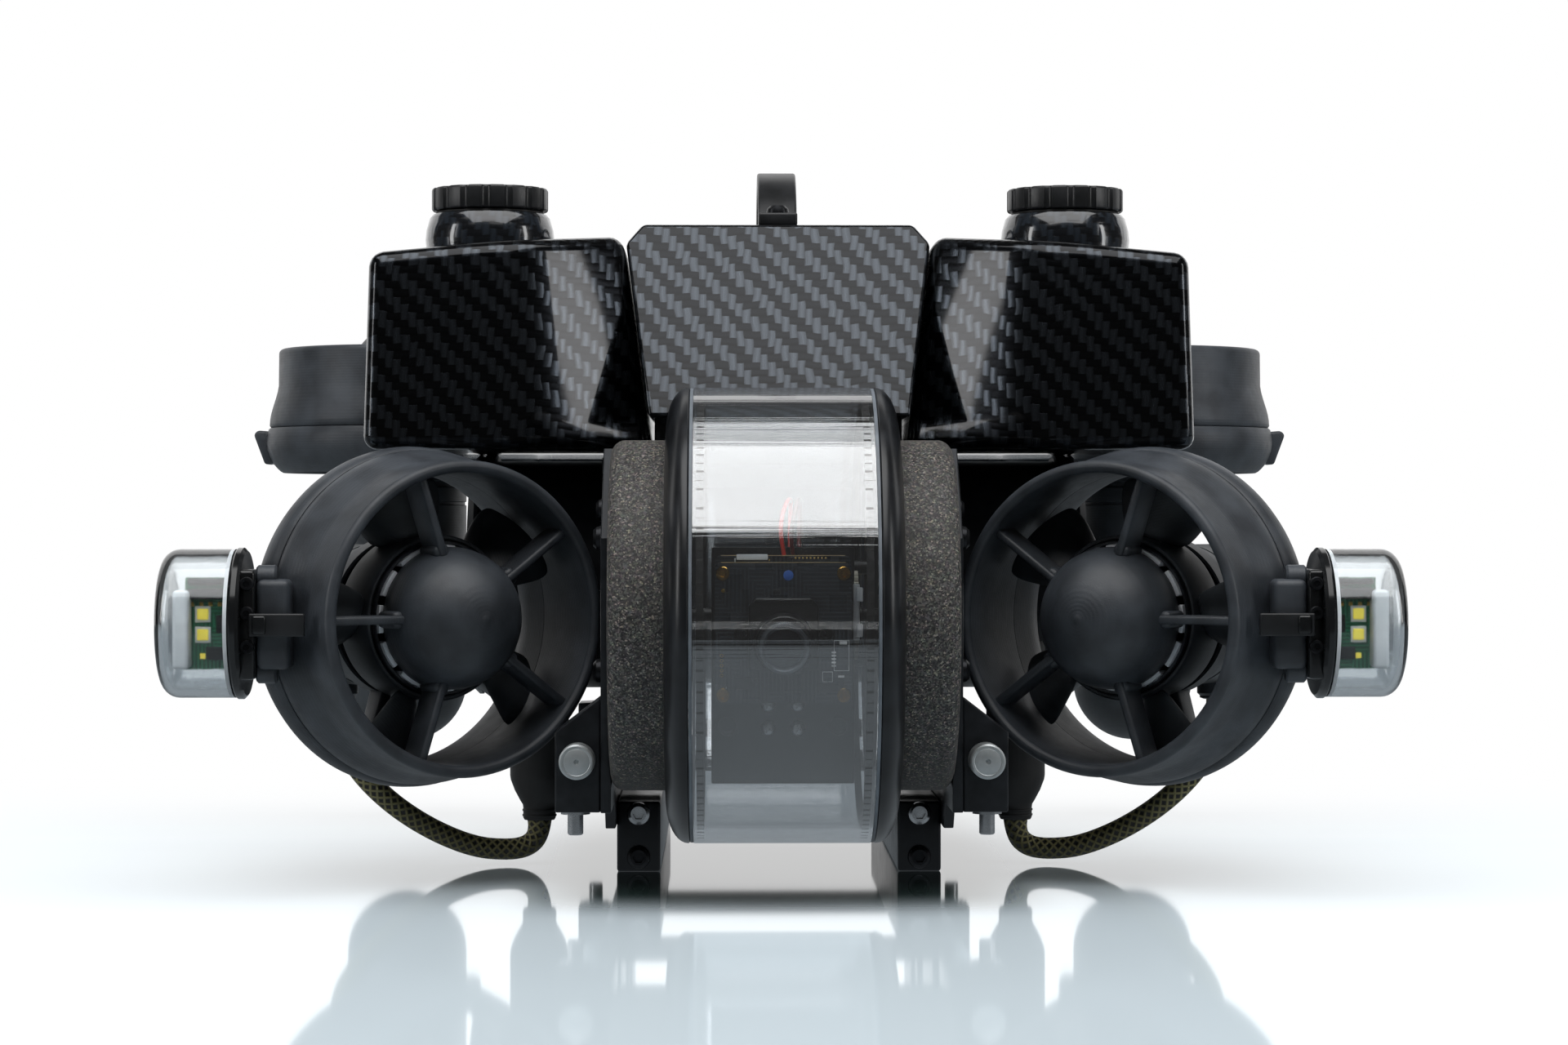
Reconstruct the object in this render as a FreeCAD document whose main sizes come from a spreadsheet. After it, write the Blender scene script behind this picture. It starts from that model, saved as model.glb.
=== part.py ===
import FreeCAD, Part
import math
import os
import re

import Sketcher

# Underwater inspection ROV: a tilting camera in a clear drum, two toed-in front thrusters,
# two vertical thrusters, carbon-fibre hulls, lamps, payload rods and skids.
# Millimetres. X to the right, Y to the back, Z up. The origin is the bottom centre of the
# whole machine, on the surface that the skids stand on.

SIZES = [
    # camera drum, turned about the X axis
    ("drum_height", 78, "tilt axis above the floor"),
    ("window_radius", 65, "outside of the clear tube"),
    ("window_wall", 4, ""),
    ("window_half_width", 25, "middle to the flange joint"),
    ("flange_width", 8, "flange beyond the clear tube"),
    ("flange_round", 15, "radius of the flange shoulder"),
    ("flange_disc", 6, "thickness of the closing disc"),
    ("spigot_length", 4, "ring that enters the clear tube"),
    ("spigot_wall", 3.5, ""),
    ("spigot_gap", 0.3, "between the spigot and the clear tube"),
    ("seal_width", 2, "O-ring section"),
    ("seal_depth", 1.5, ""),
    ("hub_radius", 50, "grained hub beside the flange"),
    ("hub_width", 15.5, ""),
    ("hub_round", 3.5, ""),
    # camera that tilts inside the drum
    ("pin_radius", 2, "tilt trunnion"),
    ("pin_clearance", 0.05, "running fit of trunnion and shafts"),
    ("boss_radius", 6, "trunnion boss on the flange"),
    ("boss_length", 4.5, ""),
    ("cheek_spread", 20, "middle to the outside of a cradle cheek"),
    ("cheek_thickness", 1.8, ""),
    ("cheek_height", 12, ""),
    ("cradle_front", 22, "front of the cradle plate, ahead of the axis"),
    ("cradle_plate", 2, ""),
    ("cradle_top", 19.5, ""),
    ("cradle_bottom", 35, ""),
    ("board_width", 38, "square camera board"),
    ("board_thickness", 1.6, ""),
    ("board_drop", 3.5, "board centre below the axis"),
    ("board_corner", 1.5, ""),
    ("standoff_pitch", 34, ""),
    ("standoff_radius", 2, ""),
    ("standoff_length", 2, "cradle to rear board"),
    ("board_space", 2.6, "between the two boards"),
    ("lens_drop", 3, "lens below the board centre"),
    ("lens_base_width", 15, ""),
    ("lens_base_depth", 6, ""),
    ("lens_ear_span", 25, ""),
    ("lens_ear_width", 5, ""),
    ("lens_ear_depth", 2, ""),
    ("lens_radius", 7, ""),
    ("lens_length", 9, ""),
    ("lens_mouth_radius", 5.2, ""),
    ("camera_screw_radius", 2.2, ""),
    ("camera_screw_pitch", 8.4, "four screws under the board"),
    ("camera_screw_head", 1.2, ""),
    ("camera_screw_drop", 27.5, "screw square below the axis"),
    # tilt drive
    ("gear_module", 0.8, ""),
    ("gear_teeth", 30, ""),
    ("pinion_teeth", 12, ""),
    ("gear_width", 1.4, ""),
    ("gear_gap", 0.3, "cheek to gear"),
    ("gear_backlash", 0.12, "thinning of each tooth"),
    ("servo_length", 22, ""),
    ("servo_depth", 12, ""),
    ("servo_height", 22, ""),
    ("servo_gap", 1, "servo face inside the cheek"),
    ("servo_ear", 5, ""),
    ("servo_ear_thickness", 2, ""),
    ("servo_post_radius", 2, ""),
    ("servo_shaft_radius", 1.5, ""),
    # thruster, measured back from its front rim along its own axis
    ("duct_bore", 41.7, "water passage"),
    ("duct_rim", 45.3, "outside of the front rim"),
    ("rim_bevel", 1.3, ""),
    ("duct_waist", 48.6, "outside at the parting line"),
    ("duct_straight", 15, "straight part of the front section"),
    ("duct_parting", 28, "front rim to the parting line"),
    ("duct_lip", 49.7, "outside of the intake lip"),
    ("duct_length", 44, ""),
    ("vane_count", 5, ""),
    ("vane_thickness", 2.5, ""),
    ("vane_start", 3, ""),
    ("vane_depth", 10.5, ""),
    ("vane_root_widening", 2.4, ""),
    ("dome_radius", 20.5, ""),
    ("dome_reach", 10, "dome ahead of the rim"),
    ("dome_skirt", 3.5, ""),
    ("dome_skirt_wall", 1.6, ""),
    ("dome_recess", 2, ""),
    ("core_radius", 7, "tube that carries the stator"),
    ("core_end", 30, ""),
    ("bearing_radius", 5.5, ""),
    ("bearing_length", 4, ""),
    ("shaft_radius", 2.5, ""),
    ("stator_radius", 18.2, ""),
    ("stator_length", 14, ""),
    ("stator_slots", 12, ""),
    ("stator_slot_depth", 7, ""),
    ("stator_slot_width", 2.2, ""),
    ("magnet_gap", 0.8, "air gap in the motor"),
    ("magnet_depth", 2.2, ""),
    ("magnet_width", 8, ""),
    ("magnet_count", 12, ""),
    ("bell_wall", 1.2, ""),
    ("bell_start", 15.2, ""),
    ("bell_end", 34, ""),
    ("bell_plate", 2.4, ""),
    ("prop_hub_wall", 1.6, ""),
    ("prop_hub_start", 16.4, ""),
    ("prop_hub_end", 33, ""),
    ("blade_count", 5, ""),
    ("blade_centre", 24.6, "blade mid-chord behind the rim"),
    ("blade_root_chord", 19, ""),
    ("blade_tip_chord", 29, ""),
    ("blade_root_pitch", 48, "degrees from the plane of rotation"),
    ("blade_tip_pitch", 26, "degrees"),
    ("blade_camber_radius", 40, "pressure side"),
    ("blade_back_radius", 27, "suction side"),
    ("tip_gap", 0.8, ""),
    ("strut_thickness", 3.3, ""),
    ("strut_start", 34, ""),
    ("strut_end", 43, ""),
    ("collar_wall", 2.4, ""),
    ("seat_clearance", 0.1, "between pieces clamped together"),
    ("pad_reach", 52, "duct axis to the mounting pad"),
    ("pad_start", 30, ""),
    ("pad_end", 42, ""),
    ("pad_width", 16, ""),
    ("lug_reach", 54, "duct axis to the tip of the outer lug"),
    ("lug_foot", 50, ""),
    ("lug_width", 12, ""),
    ("pod_radius", 21, ""),
    ("pod_start", 35, ""),
    ("pod_shoulder", 2, ""),
    ("pod_groove", 0.7, ""),
    ("front_pod_length", 79, ""),
    ("lift_pod_length", 104, ""),
    ("gland_radius", 6, ""),
    ("gland_reach", 5, "gland beyond the pod wall"),
    ("gland_back", 15, "gland ahead of the pod's end"),
    # where the thrusters stand
    ("toe_in_angle", 34.5, "degrees"),
    ("front_thruster_spread", 89, "middle to the ring centre"),
    ("front_thruster_ahead", 5, "ring centre ahead of the drum axis"),
    ("front_thruster_height", 77, ""),
    ("lift_thruster_spread", 129.5, ""),
    ("lift_thruster_back", 249, "behind the drum axis"),
    ("lift_thruster_top", 166, "upper rim above the floor"),
    # lamps
    ("lamp_height", 76, ""),
    ("lamp_ahead", 10, "ahead of the drum axis"),
    ("lamp_neck_start", 147, "middle to the inner end of the neck"),
    ("lamp_neck_half_height", 15.4, ""),
    ("lamp_neck_front", 15, "ahead of the lamp axis"),
    ("lamp_neck_back", 1, "behind the lamp axis"),
    ("lamp_ring_start", 151, ""),
    ("lamp_ring_radius", 21.4, ""),
    ("lamp_cup_start", 154.2, ""),
    ("lamp_cup_radius", 21, ""),
    ("lamp_cup_wall", 2, ""),
    ("lamp_cup_end", 174.8, ""),
    ("lamp_cup_round", 5, ""),
    ("lamp_board_length", 17, ""),
    ("lamp_board_height", 26, ""),
    ("lamp_board_thickness", 1.6, ""),
    ("led_size", 4, ""),
    ("led_pitch", 7.5, ""),
    ("led_depth", 1, ""),
    ("saddle_radius", 14.5, ""),
    ("saddle_root", 118, "middle to the inner end before the duct cuts it"),
    ("strap_width", 6.5, ""),
    ("strap_thickness", 2.6, ""),
    ("strap_reach", 18, "from the neck to the duct"),
    ("strap_ahead", 26, "strap ahead of the drum axis"),
    # hulls
    ("hull_front", 30, "behind the drum axis"),
    ("hull_rear", 190, ""),
    ("side_hull_outer", 123, "middle to the outer wall"),
    ("side_hull_crease", 76, "middle to the front crease"),
    ("side_hull_inner", 38.6, "inner wall at the bottom"),
    ("side_hull_setback", 26, "inner corner behind the front face"),
    ("side_hull_lean", 8.6, "inner wall leans out over its height"),
    ("side_hull_rake", 4, "front face leans back over its height"),
    ("side_hull_tail", 16, "corner cut at the rear"),
    ("side_hull_top", 190, "top at the inner wall"),
    ("side_hull_fall", 6, "top falls towards the outside"),
    ("hull_edge_bevel", 3.4, ""),
    ("hull_gap", 0.8, "between the hulls"),
    ("centre_hull_rise", 10, "centre hull above the underside of the side hulls"),
    ("centre_hull_top", 195.5, ""),
    ("centre_hull_front", 37, "bottom front edge behind the drum axis"),
    ("centre_hull_rake", 30, "front face leans back over its height"),
    ("centre_hull_chamfer", 6, ""),
    ("centre_foot_half_width", 30, ""),
    ("centre_foot_start", 62, ""),
    ("neck_spread", 88, ""),
    ("neck_back", 70, "behind the drum axis"),
    ("neck_radius", 19.4, ""),
    ("neck_top", 198.4, ""),
    ("neck_bore", 12.3, ""),
    ("neck_depth", 14, ""),
    ("cap_radius", 17.7, ""),
    ("cap_height", 7, ""),
    ("cap_flutes", 16, ""),
    ("cap_flute_radius", 1.5, ""),
    ("cap_plug_radius", 12, ""),
    ("cap_plug_length", 8, ""),
    ("gasket_thickness", 0.9, ""),
    ("gasket_radius", 16.4, ""),
    ("gasket_air", 0.1, "cap to gasket"),
    # carrying handle
    ("handle_width", 12, ""),
    ("handle_front", 70, "behind the drum axis"),
    ("handle_foot", 10, ""),
    ("handle_span", 68, "between the feet"),
    ("handle_foot_height", 4, ""),
    ("handle_arch_radius", 44, ""),
    ("handle_inner_radius", 37, ""),
    ("handle_leg", 4, "foot wall at the root of the arch"),
    # frame
    ("plate_thickness", 3, ""),
    ("plate_front", 8, "ahead of the drum axis"),
    ("plate_rear", 262, "behind the drum axis"),
    ("plate_bottom", 14, ""),
    ("plate_tail_top", 138, ""),
    ("plate_tail_start", 198, ""),
    ("plate_chin", 34, "corner cut under the nose"),
    ("slot_length", 34, "lightening slots in the side plates"),
    ("slot_height", 26, ""),
    ("bar_radius", 4, ""),
    ("arm_height", 14, ""),
    ("arm_root", 18, ""),
    ("housing_radius", 36, "electronics housing"),
    ("housing_back", 115, "behind the drum axis"),
    ("housing_height", 88, ""),
    ("housing_half_length", 88, ""),
    ("housing_cap_radius", 38, ""),
    ("housing_cap_length", 8, ""),
    ("tether_port_rise", 12, "port above the housing's axis"),
    ("tether_port_boss", 10, ""),
    ("tether_port_bore", 6, ""),
    ("tether_port_reach", 8, "boss behind the housing wall"),
    ("tether_port_depth", 12, ""),
    ("skid_inner", 35.5, ""),
    ("skid_height", 21, ""),
    ("skid_front", 46, "behind the drum axis"),
    ("skid_rear", 236, ""),
    ("skid_nose", 5, ""),
    ("skid_hole_radius", 2.1, "threaded holes for payload skids"),
    ("skid_hole_depth", 10, ""),
    ("skid_hole_front", 70, ""),
    ("skid_hole_rear", 210, ""),
    # payload rods
    ("rod_radius", 5, ""),
    ("rod_spread", 58, ""),
    ("rod_height", 37, ""),
    ("rod_front", 16, "ahead of the drum axis"),
    ("rod_rear", 178, ""),
    ("rod_groove_start", 7.5, "retaining-ring groove behind the free end"),
    ("rod_groove_width", 1.2, ""),
    ("rod_groove_depth", 0.5, ""),
    ("block_width", 13, ""),
    ("block_bottom", 22, ""),
    ("block_top", 45, ""),
    ("block_front", 6, "ahead of the drum axis"),
    ("block_length", 16, ""),
    ("block_slit", 1.5, ""),
    ("rear_block_back", 152, ""),
    ("gusset_height", 10, ""),
    ("clamp_bolt_radius", 2.25, ""),
    ("clamp_bolt_length", 6, ""),
    ("washer_radius", 4.2, ""),
    ("washer_thickness", 1, ""),
    # thruster connectors and cables
    ("plug_spread", 73, ""),
    ("plug_back", 72, "behind the drum axis"),
    ("plug_crown", 9, "plug above its barrel's axis"),
    ("plug_radius", 9, ""),
    ("plug_shoulder", 26, ""),
    ("plug_tail_radius", 5, ""),
    ("plug_tail_top", 18, ""),
    ("plug_end", 13.5, ""),
    ("plug_barrel_half", 6, "half the square barrel"),
    ("plug_boss_drop", 28, "barrel below the housing axis"),
    ("plug_boss_radius", 9, "boss on the housing"),
    ("plug_boss_reach", 30, "boss face ahead of the housing axis"),
    ("cable_radius", 3.25, ""),
    # small fasteners
    ("bolt_head_radius", 3.5, ""),
    ("bolt_head_height", 2.4, ""),
]
SIZE_NAMES = {name for name, value, note in SIZES}

doc = FreeCAD.newDocument("inspection_rov")
nodes = {}


def make_sheet():
    """The driving dimensions, one named cell each."""
    sheet = doc.addObject("Spreadsheet::Sheet", "sizes")
    for row, (name, number, note) in enumerate(SIZES, start=1):
        sheet.set("A%d" % row, name)
        sheet.set("B%d" % row, str(number))
        sheet.setAlias("B%d" % row, name)
        sheet.set("C%d" % row, note)
    doc.recompute()
    return sheet


def cell(expression):
    """Point each size name in an expression at its cell."""
    def in_sheet(match):
        word = match.group(0)
        return "sizes." + word if word in SIZE_NAMES else word
    return re.sub(r"[a-z]+(?:_[a-z]+)+", in_sheet, expression)


sizes = make_sheet()


def value(expression):
    """The number that an expression of sizes has now."""
    return float(sizes.evalExpression(cell(expression)))


# The drum axis lies ahead of the origin, which is half-way between the front of the drum and
# the back of the vertical thrusters.
DRUM_Y = "(window_radius - lift_thruster_back - duct_lip) / 2"
# The hulls rest on the caps of the electronics housing.
HULL_BOTTOM = "(housing_height + housing_cap_radius)"
CENTRE_BOTTOM = "(housing_height + housing_cap_radius + centre_hull_rise)"
PLUG_BARREL = "(housing_height - plug_boss_drop)"


def back(distance):
    """A place along Y, given from the drum axis."""
    return DRUM_Y + " + " + distance


def node(item, label):
    """Name a finished sub-part, which is then exported."""
    item.Label = label
    nodes[label] = item
    return item


def place(item, x="0", y="0", z="0", turn=("0", "0", "0")):
    """Bind a placement: position, then yaw, pitch and roll in degrees."""
    text = "create(<<placement>>; create(<<vector>>; %s; %s; %s); create(<<rotation>>; %s; %s; %s))"
    item.setExpression("Placement", cell(text % ((x, y, z) + turn)))
    return item


def bind(item, **expressions):
    """Bind properties of a feature to the sheet."""
    for name, expression in expressions.items():
        item.setExpression(name, cell(expression))
    return item


def arc_through(start, end, radius, side):
    """An arc from start to end; side 1 bulges to the left of the way, -1 to the right."""
    chord = end - start
    across = FreeCAD.Vector(-chord.y, chord.x, 0).normalize()
    rise = math.sqrt(max(radius * radius - chord.Length * chord.Length / 4, 0))
    centre = (start + end) / 2 - across * rise * side
    top = centre + across * radius * side
    return Part.Arc(start, top, end)


def new_sketch(body, plane):
    sketch = body.newObject("Sketcher::SketchObject", "outline")
    for feature in body.Origin.OriginFeatures:
        if feature.Role == plane:
            sketch.AttachmentSupport = [(feature, "")]
    sketch.MapMode = "FlatFace"
    return sketch


def outline(body, plane, corners, arcs=None, sketch=None):
    """A closed sketch through corners; arcs maps a side's number to its radius and bulge."""
    arcs = arcs or {}
    sketch = sketch or new_sketch(body, plane)
    points = [FreeCAD.Vector(value(x), value(y), 0) for x, y in corners]
    count = len(points)
    ends = []
    for side in range(count):
        start, end = points[side], points[(side + 1) % count]
        if side in arcs:
            radius, bulge = arcs[side]
            sketch.addGeometry(arc_through(start, end, value(radius), bulge))
            first = sketch.getPoint(side, 1)
            ends.append((1, 2) if first.distanceToPoint(start) < 1e-4 else (2, 1))
        else:
            sketch.addGeometry(Part.LineSegment(start, end))
            ends.append((1, 2))
    for side in range(count):
        following = (side + 1) % count
        joint = Sketcher.Constraint("Coincident", side, ends[side][1], following, ends[following][0])
        sketch.addConstraint(joint)
    for side, (x, y) in enumerate(corners):
        for kind, expression in (("DistanceX", x), ("DistanceY", y)):
            number = sketch.addConstraint(
                Sketcher.Constraint(kind, -1, 1, side, ends[side][0], value(expression)))
            sketch.setExpression("Constraints[%d]" % number, cell(expression))
    for side, (radius, bulge) in arcs.items():
        number = sketch.addConstraint(Sketcher.Constraint("Radius", side, value(radius)))
        sketch.setExpression("Constraints[%d]" % number, cell(radius))
    return sketch


def circles(body, plane, rounds):
    """A sketch of full circles, each given as x, y and radius."""
    sketch = new_sketch(body, plane)
    for x, y, radius in rounds:
        centre = FreeCAD.Vector(value(x), value(y), 0)
        number = sketch.addGeometry(Part.Circle(centre, FreeCAD.Vector(0, 0, 1), value(radius)))
        for kind, expression in (("DistanceX", x), ("DistanceY", y)):
            limit = sketch.addConstraint(
                Sketcher.Constraint(kind, -1, 1, number, 3, value(expression)))
            sketch.setExpression("Constraints[%d]" % limit, cell(expression))
        limit = sketch.addConstraint(Sketcher.Constraint("Radius", number, value(radius)))
        sketch.setExpression("Constraints[%d]" % limit, cell(radius))
    return sketch


def new_body(name):
    return doc.addObject("PartDesign::Body", name)


def feature(body, kind, sketch, **settings):
    """A sketch-based feature with its plain settings."""
    item = body.newObject("PartDesign::" + kind, kind.lower())
    item.Profile = sketch
    for name, setting in settings.items():
        setattr(item, name, setting)
    return item


def revolve(body, corners, arcs=None, axis="V_Axis", plane="XZ_Plane", kind="Revolution"):
    """Turn an outline about the sketch's own axis."""
    sketch = outline(body, plane, corners, arcs)
    return feature(body, kind, sketch, ReferenceAxis=(sketch, [axis]), Angle=360)


def pad(body, plane, corners, length, arcs=None, both_ways=False, reverse=False, kind="Pad"):
    """Push an outline out of its plane."""
    sketch = outline(body, plane, corners, arcs)
    return push(body, sketch, length, both_ways, reverse, kind)


def push(body, sketch, length, both_ways=False, reverse=False, kind="Pad"):
    item = feature(body, kind, sketch, Reversed=reverse)
    if both_ways:
        item.SideType = "Symmetric"
    return bind(item, Length=length)


def round_pad(body, plane, rounds, length, both_ways=False, reverse=False, kind="Pad"):
    return push(body, circles(body, plane, rounds), length, both_ways, reverse, kind)


def around(body, originals, count, axis="Z_Axis"):
    """Repeat features about one of the body's axes."""
    pattern = body.newObject("PartDesign::PolarPattern", "pattern")
    pattern.Originals = originals
    for line in body.Origin.OriginFeatures:
        if line.Role == axis:
            pattern.Axis = (line, [""])
    pattern.Angle = 360
    bind(pattern, Occurrences=count)
    body.Tip = pattern
    return pattern


def raise_sketch(sketch, distance, turn="0"):
    """Shift a sketch along its normal and turn it in its own plane."""
    text = "create(<<placement>>; create(<<vector>>; 0; 0; %s); create(<<rotation>>; %s; 0; 0))"
    sketch.setExpression("AttachmentOffset", cell(text % (distance, turn)))
    return sketch


def dress(body, base, kind, test, size):
    """Round or bevel the edges of a feature whose middle passes a test."""
    doc.recompute()
    names = []
    for number, edge in enumerate(base.Shape.Edges, start=1):
        middle = edge.valueAt((edge.FirstParameter + edge.LastParameter) / 2)
        if test(edge, middle):
            names.append("Edge%d" % number)
    item = body.newObject("PartDesign::" + kind, kind.lower())
    item.Base = (base, names)
    return bind(item, **{"Radius" if kind == "Fillet" else "Size": size})


def along(edge, direction):
    """True where an edge is straight and runs the given way."""
    if not isinstance(edge.Curve, (Part.Line, Part.LineSegment)):
        return False
    way = (edge.Vertexes[-1].Point - edge.Vertexes[0].Point).normalize()
    return abs(way.dot(direction)) > 0.9


Y_WAY = FreeCAD.Vector(0, 1, 0)


def gather(items, label):
    """Several separate solids of one kind in one node."""
    group = doc.addObject("Part::Compound", "group")
    group.Links = items
    return node(group, label)


def cylinder(radius, height):
    return bind(doc.addObject("Part::Cylinder", "round"), Radius=radius, Height=height)


def subtract(base, tool):
    cut = doc.addObject("Part::Cut", "cut")
    cut.Base = base
    cut.Tool = tool
    return cut


# ---------------------------------------------------------------- thrusters
# Each thruster is built about its own Z axis: the front rim lies at 0 and the water leaves
# forward, so everything behind the rim has a negative Z.

MAGNET_INNER = "(stator_radius + magnet_gap)"
BELL_INNER = "(stator_radius + magnet_gap + magnet_depth)"
BELL_OUTER = "(stator_radius + magnet_gap + magnet_depth + bell_wall)"
HUB_OUTER = "(stator_radius + magnet_gap + magnet_depth + bell_wall + prop_hub_wall)"
FRONT_BEARING = "(dome_skirt + dome_radius - dome_reach + 0.6)"
REAR_BEARING = "(pod_start + pod_shoulder)"


def round_end(radius, tip, way):
    """Corners of a rounded end from its tip outwards; way 1 has its tip on top."""
    corners = []
    for step in range(1, 5):
        angle = math.radians(90 * step / 4)
        across = "%s * %.4f" % (radius, math.sin(angle))
        depth = "%s * %.4f" % (radius, 1 - math.cos(angle))
        corners.append((across, "%s %s %s" % (tip, "-" if way > 0 else "+", depth)))
    return corners


LIP = [
    ("duct_waist + 0.4", "-duct_parting"),
    ("duct_lip", "-duct_parting - 5"),
    ("duct_lip - 1.3", "-duct_length + 5.5"),
    ("duct_lip - 3.9", "-duct_length + 1.7"),
    ("duct_lip - 5.5", "-duct_length"),
]


def nozzle():
    """Front section of the duct with its vanes, nose dome and stator core."""
    body = new_body("nozzle")
    revolve(body, [
        ("duct_bore", "-rim_bevel"),
        ("duct_bore + rim_bevel", "0"),
        ("duct_rim - rim_bevel", "0"),
        ("duct_rim", "-rim_bevel"),
        ("duct_rim", "-duct_straight"),
        ("duct_waist", "-duct_parting"),
        ("duct_bore + 0.6", "-duct_parting"),
        ("duct_bore", "-duct_straight")])
    vane = pad(body, "XZ_Plane", [
        ("dome_radius - 2", "-vane_start"),
        ("duct_bore + 1", "-vane_start"),
        ("duct_bore + 1", "-vane_start - vane_depth"),
        ("dome_radius - 2", "-vane_start - vane_depth")], "vane_thickness", both_ways=True)
    root = pad(body, "XZ_Plane", [
        ("dome_radius - 2", "-vane_start - 0.8"),
        ("dome_radius + 1.4", "-vane_start - 0.8"),
        ("dome_radius + 1.4", "-vane_start - vane_depth"),
        ("dome_radius - 2", "-vane_start - vane_depth")],
        "vane_thickness + vane_root_widening", both_ways=True)
    around(body, [vane, root], "vane_count")
    revolve(body, [("0", "dome_reach")] + round_end("dome_radius", "dome_reach", 1) + [
        ("dome_radius", "dome_reach - dome_radius - dome_skirt"),
        ("dome_radius - dome_skirt_wall", "dome_reach - dome_radius - dome_skirt"),
        ("dome_radius - dome_skirt_wall", "dome_reach - dome_radius - dome_recess"),
        ("core_radius", "dome_reach - dome_radius - dome_recess"),
        ("core_radius", "-core_end"),
        ("bearing_radius", "-core_end"),
        ("bearing_radius", "-" + FRONT_BEARING),
        ("0", "-" + FRONT_BEARING)])
    return body


def intake_ring(outer_lug):
    """Rear section of the duct: flared lip, mounting pad, struts and the pod collar."""
    body = new_body("intake_ring")
    revolve(body, LIP + [
        ("duct_bore + 0.6", "-duct_length + 6"),
        ("duct_bore + 0.6", "-duct_parting")])
    strut = pad(body, "XZ_Plane", [
        ("pod_radius + 1", "-strut_start"),
        ("duct_bore + 2", "-strut_start"),
        ("duct_bore + 2", "-strut_end + 2"),
        ("pod_radius + 1", "-strut_end")], "strut_thickness", both_ways=True)
    around(body, [strut], "vane_count")
    revolve(body, [
        ("pod_radius + seat_clearance", "-strut_start - 3"),
        ("pod_radius + seat_clearance", "-duct_length"),
        ("pod_radius + collar_wall", "-duct_length"),
        ("pod_radius + collar_wall", "-strut_start - 3")])
    pad(body, "XZ_Plane", [
        ("-duct_bore - 2", "-pad_start"),
        ("-pad_reach", "-pad_start"),
        ("-pad_reach", "-pad_end"),
        ("-duct_bore - 2", "-pad_end + 1")], "pad_width", both_ways=True)
    if outer_lug:
        pad(body, "XZ_Plane", [
            ("duct_bore + 2", "-duct_parting - 1.5"),
            ("lug_reach", "-duct_parting - 1"),
            ("lug_foot", "-duct_length + 3"),
            ("duct_bore + 2", "-duct_length + 4")], "lug_width", both_ways=True)
    return body


def propeller(hand):
    """Hub ring with wide twisted blades whose tips follow the duct."""
    body = new_body("propeller")
    revolve(body, [
        (BELL_OUTER, "-prop_hub_start"),
        (HUB_OUTER, "-prop_hub_start"),
        (HUB_OUTER, "-prop_hub_end"),
        (BELL_OUTER, "-prop_hub_end")])
    sections = []
    for reach, chord, pitch in (
            (HUB_OUTER + " - 0.8", "blade_root_chord", "blade_root_pitch"),
            ("duct_bore + 4", "blade_tip_chord", "blade_tip_pitch")):
        half = chord + " / 2"
        section = outline(body, "YZ_Plane", [("-" + half, "0"), (half, "0")], {
            0: ("blade_back_radius", 1), 1: ("blade_camber_radius", -1)})
        spin = pitch if hand > 0 else "-" + pitch
        offset = "create(<<placement>>; create(<<vector>>; 0; -blade_centre; %s);"
        offset += " create(<<rotation>>; %s; 0; 0))"
        section.setExpression("AttachmentOffset", cell(offset % (reach, spin)))
        sections.append(section)
    blade = body.newObject("PartDesign::AdditiveLoft", "blade")
    blade.Profile = sections[0]
    blade.Sections = [sections[1]]
    around(body, [blade], "blade_count")
    revolve(body, [
        ("duct_bore - tip_gap", "-duct_bore"),
        ("duct_bore * 2", "-duct_bore"),
        ("duct_bore * 2", "duct_bore"),
        ("duct_bore - tip_gap", "duct_bore")], kind="Groove")
    return body


def rotor():
    """Motor bell on its shaft."""
    body = new_body("bell")
    shaft_end = "-%s - bearing_length - 1" % REAR_BEARING
    revolve(body, [
        ("0", "-%s - 0.4" % FRONT_BEARING),
        ("shaft_radius", "-%s - 0.4" % FRONT_BEARING),
        ("shaft_radius", "-bell_end + bell_plate"),
        (BELL_INNER, "-bell_end + bell_plate"),
        (BELL_INNER, "-bell_start"),
        (BELL_OUTER, "-bell_start"),
        (BELL_OUTER, "-bell_end"),
        ("shaft_radius", "-bell_end"),
        ("shaft_radius", shaft_end),
        ("0", shaft_end)])
    return body


def magnets():
    """Ring of block magnets inside the bell."""
    body = new_body("magnets")
    block = pad(body, "XZ_Plane", [
        (MAGNET_INNER + " + 0.35", "-bell_start"),
        (BELL_INNER, "-bell_start"),
        (BELL_INNER, "-core_end"),
        (MAGNET_INNER + " + 0.35", "-core_end")], "magnet_width", both_ways=True)
    around(body, [block], "magnet_count")
    revolve(body, [
        (BELL_INNER, "-duct_bore"),
        ("duct_bore", "-duct_bore"),
        ("duct_bore", "duct_bore"),
        (BELL_INNER, "duct_bore")], kind="Groove")
    return body


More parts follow.
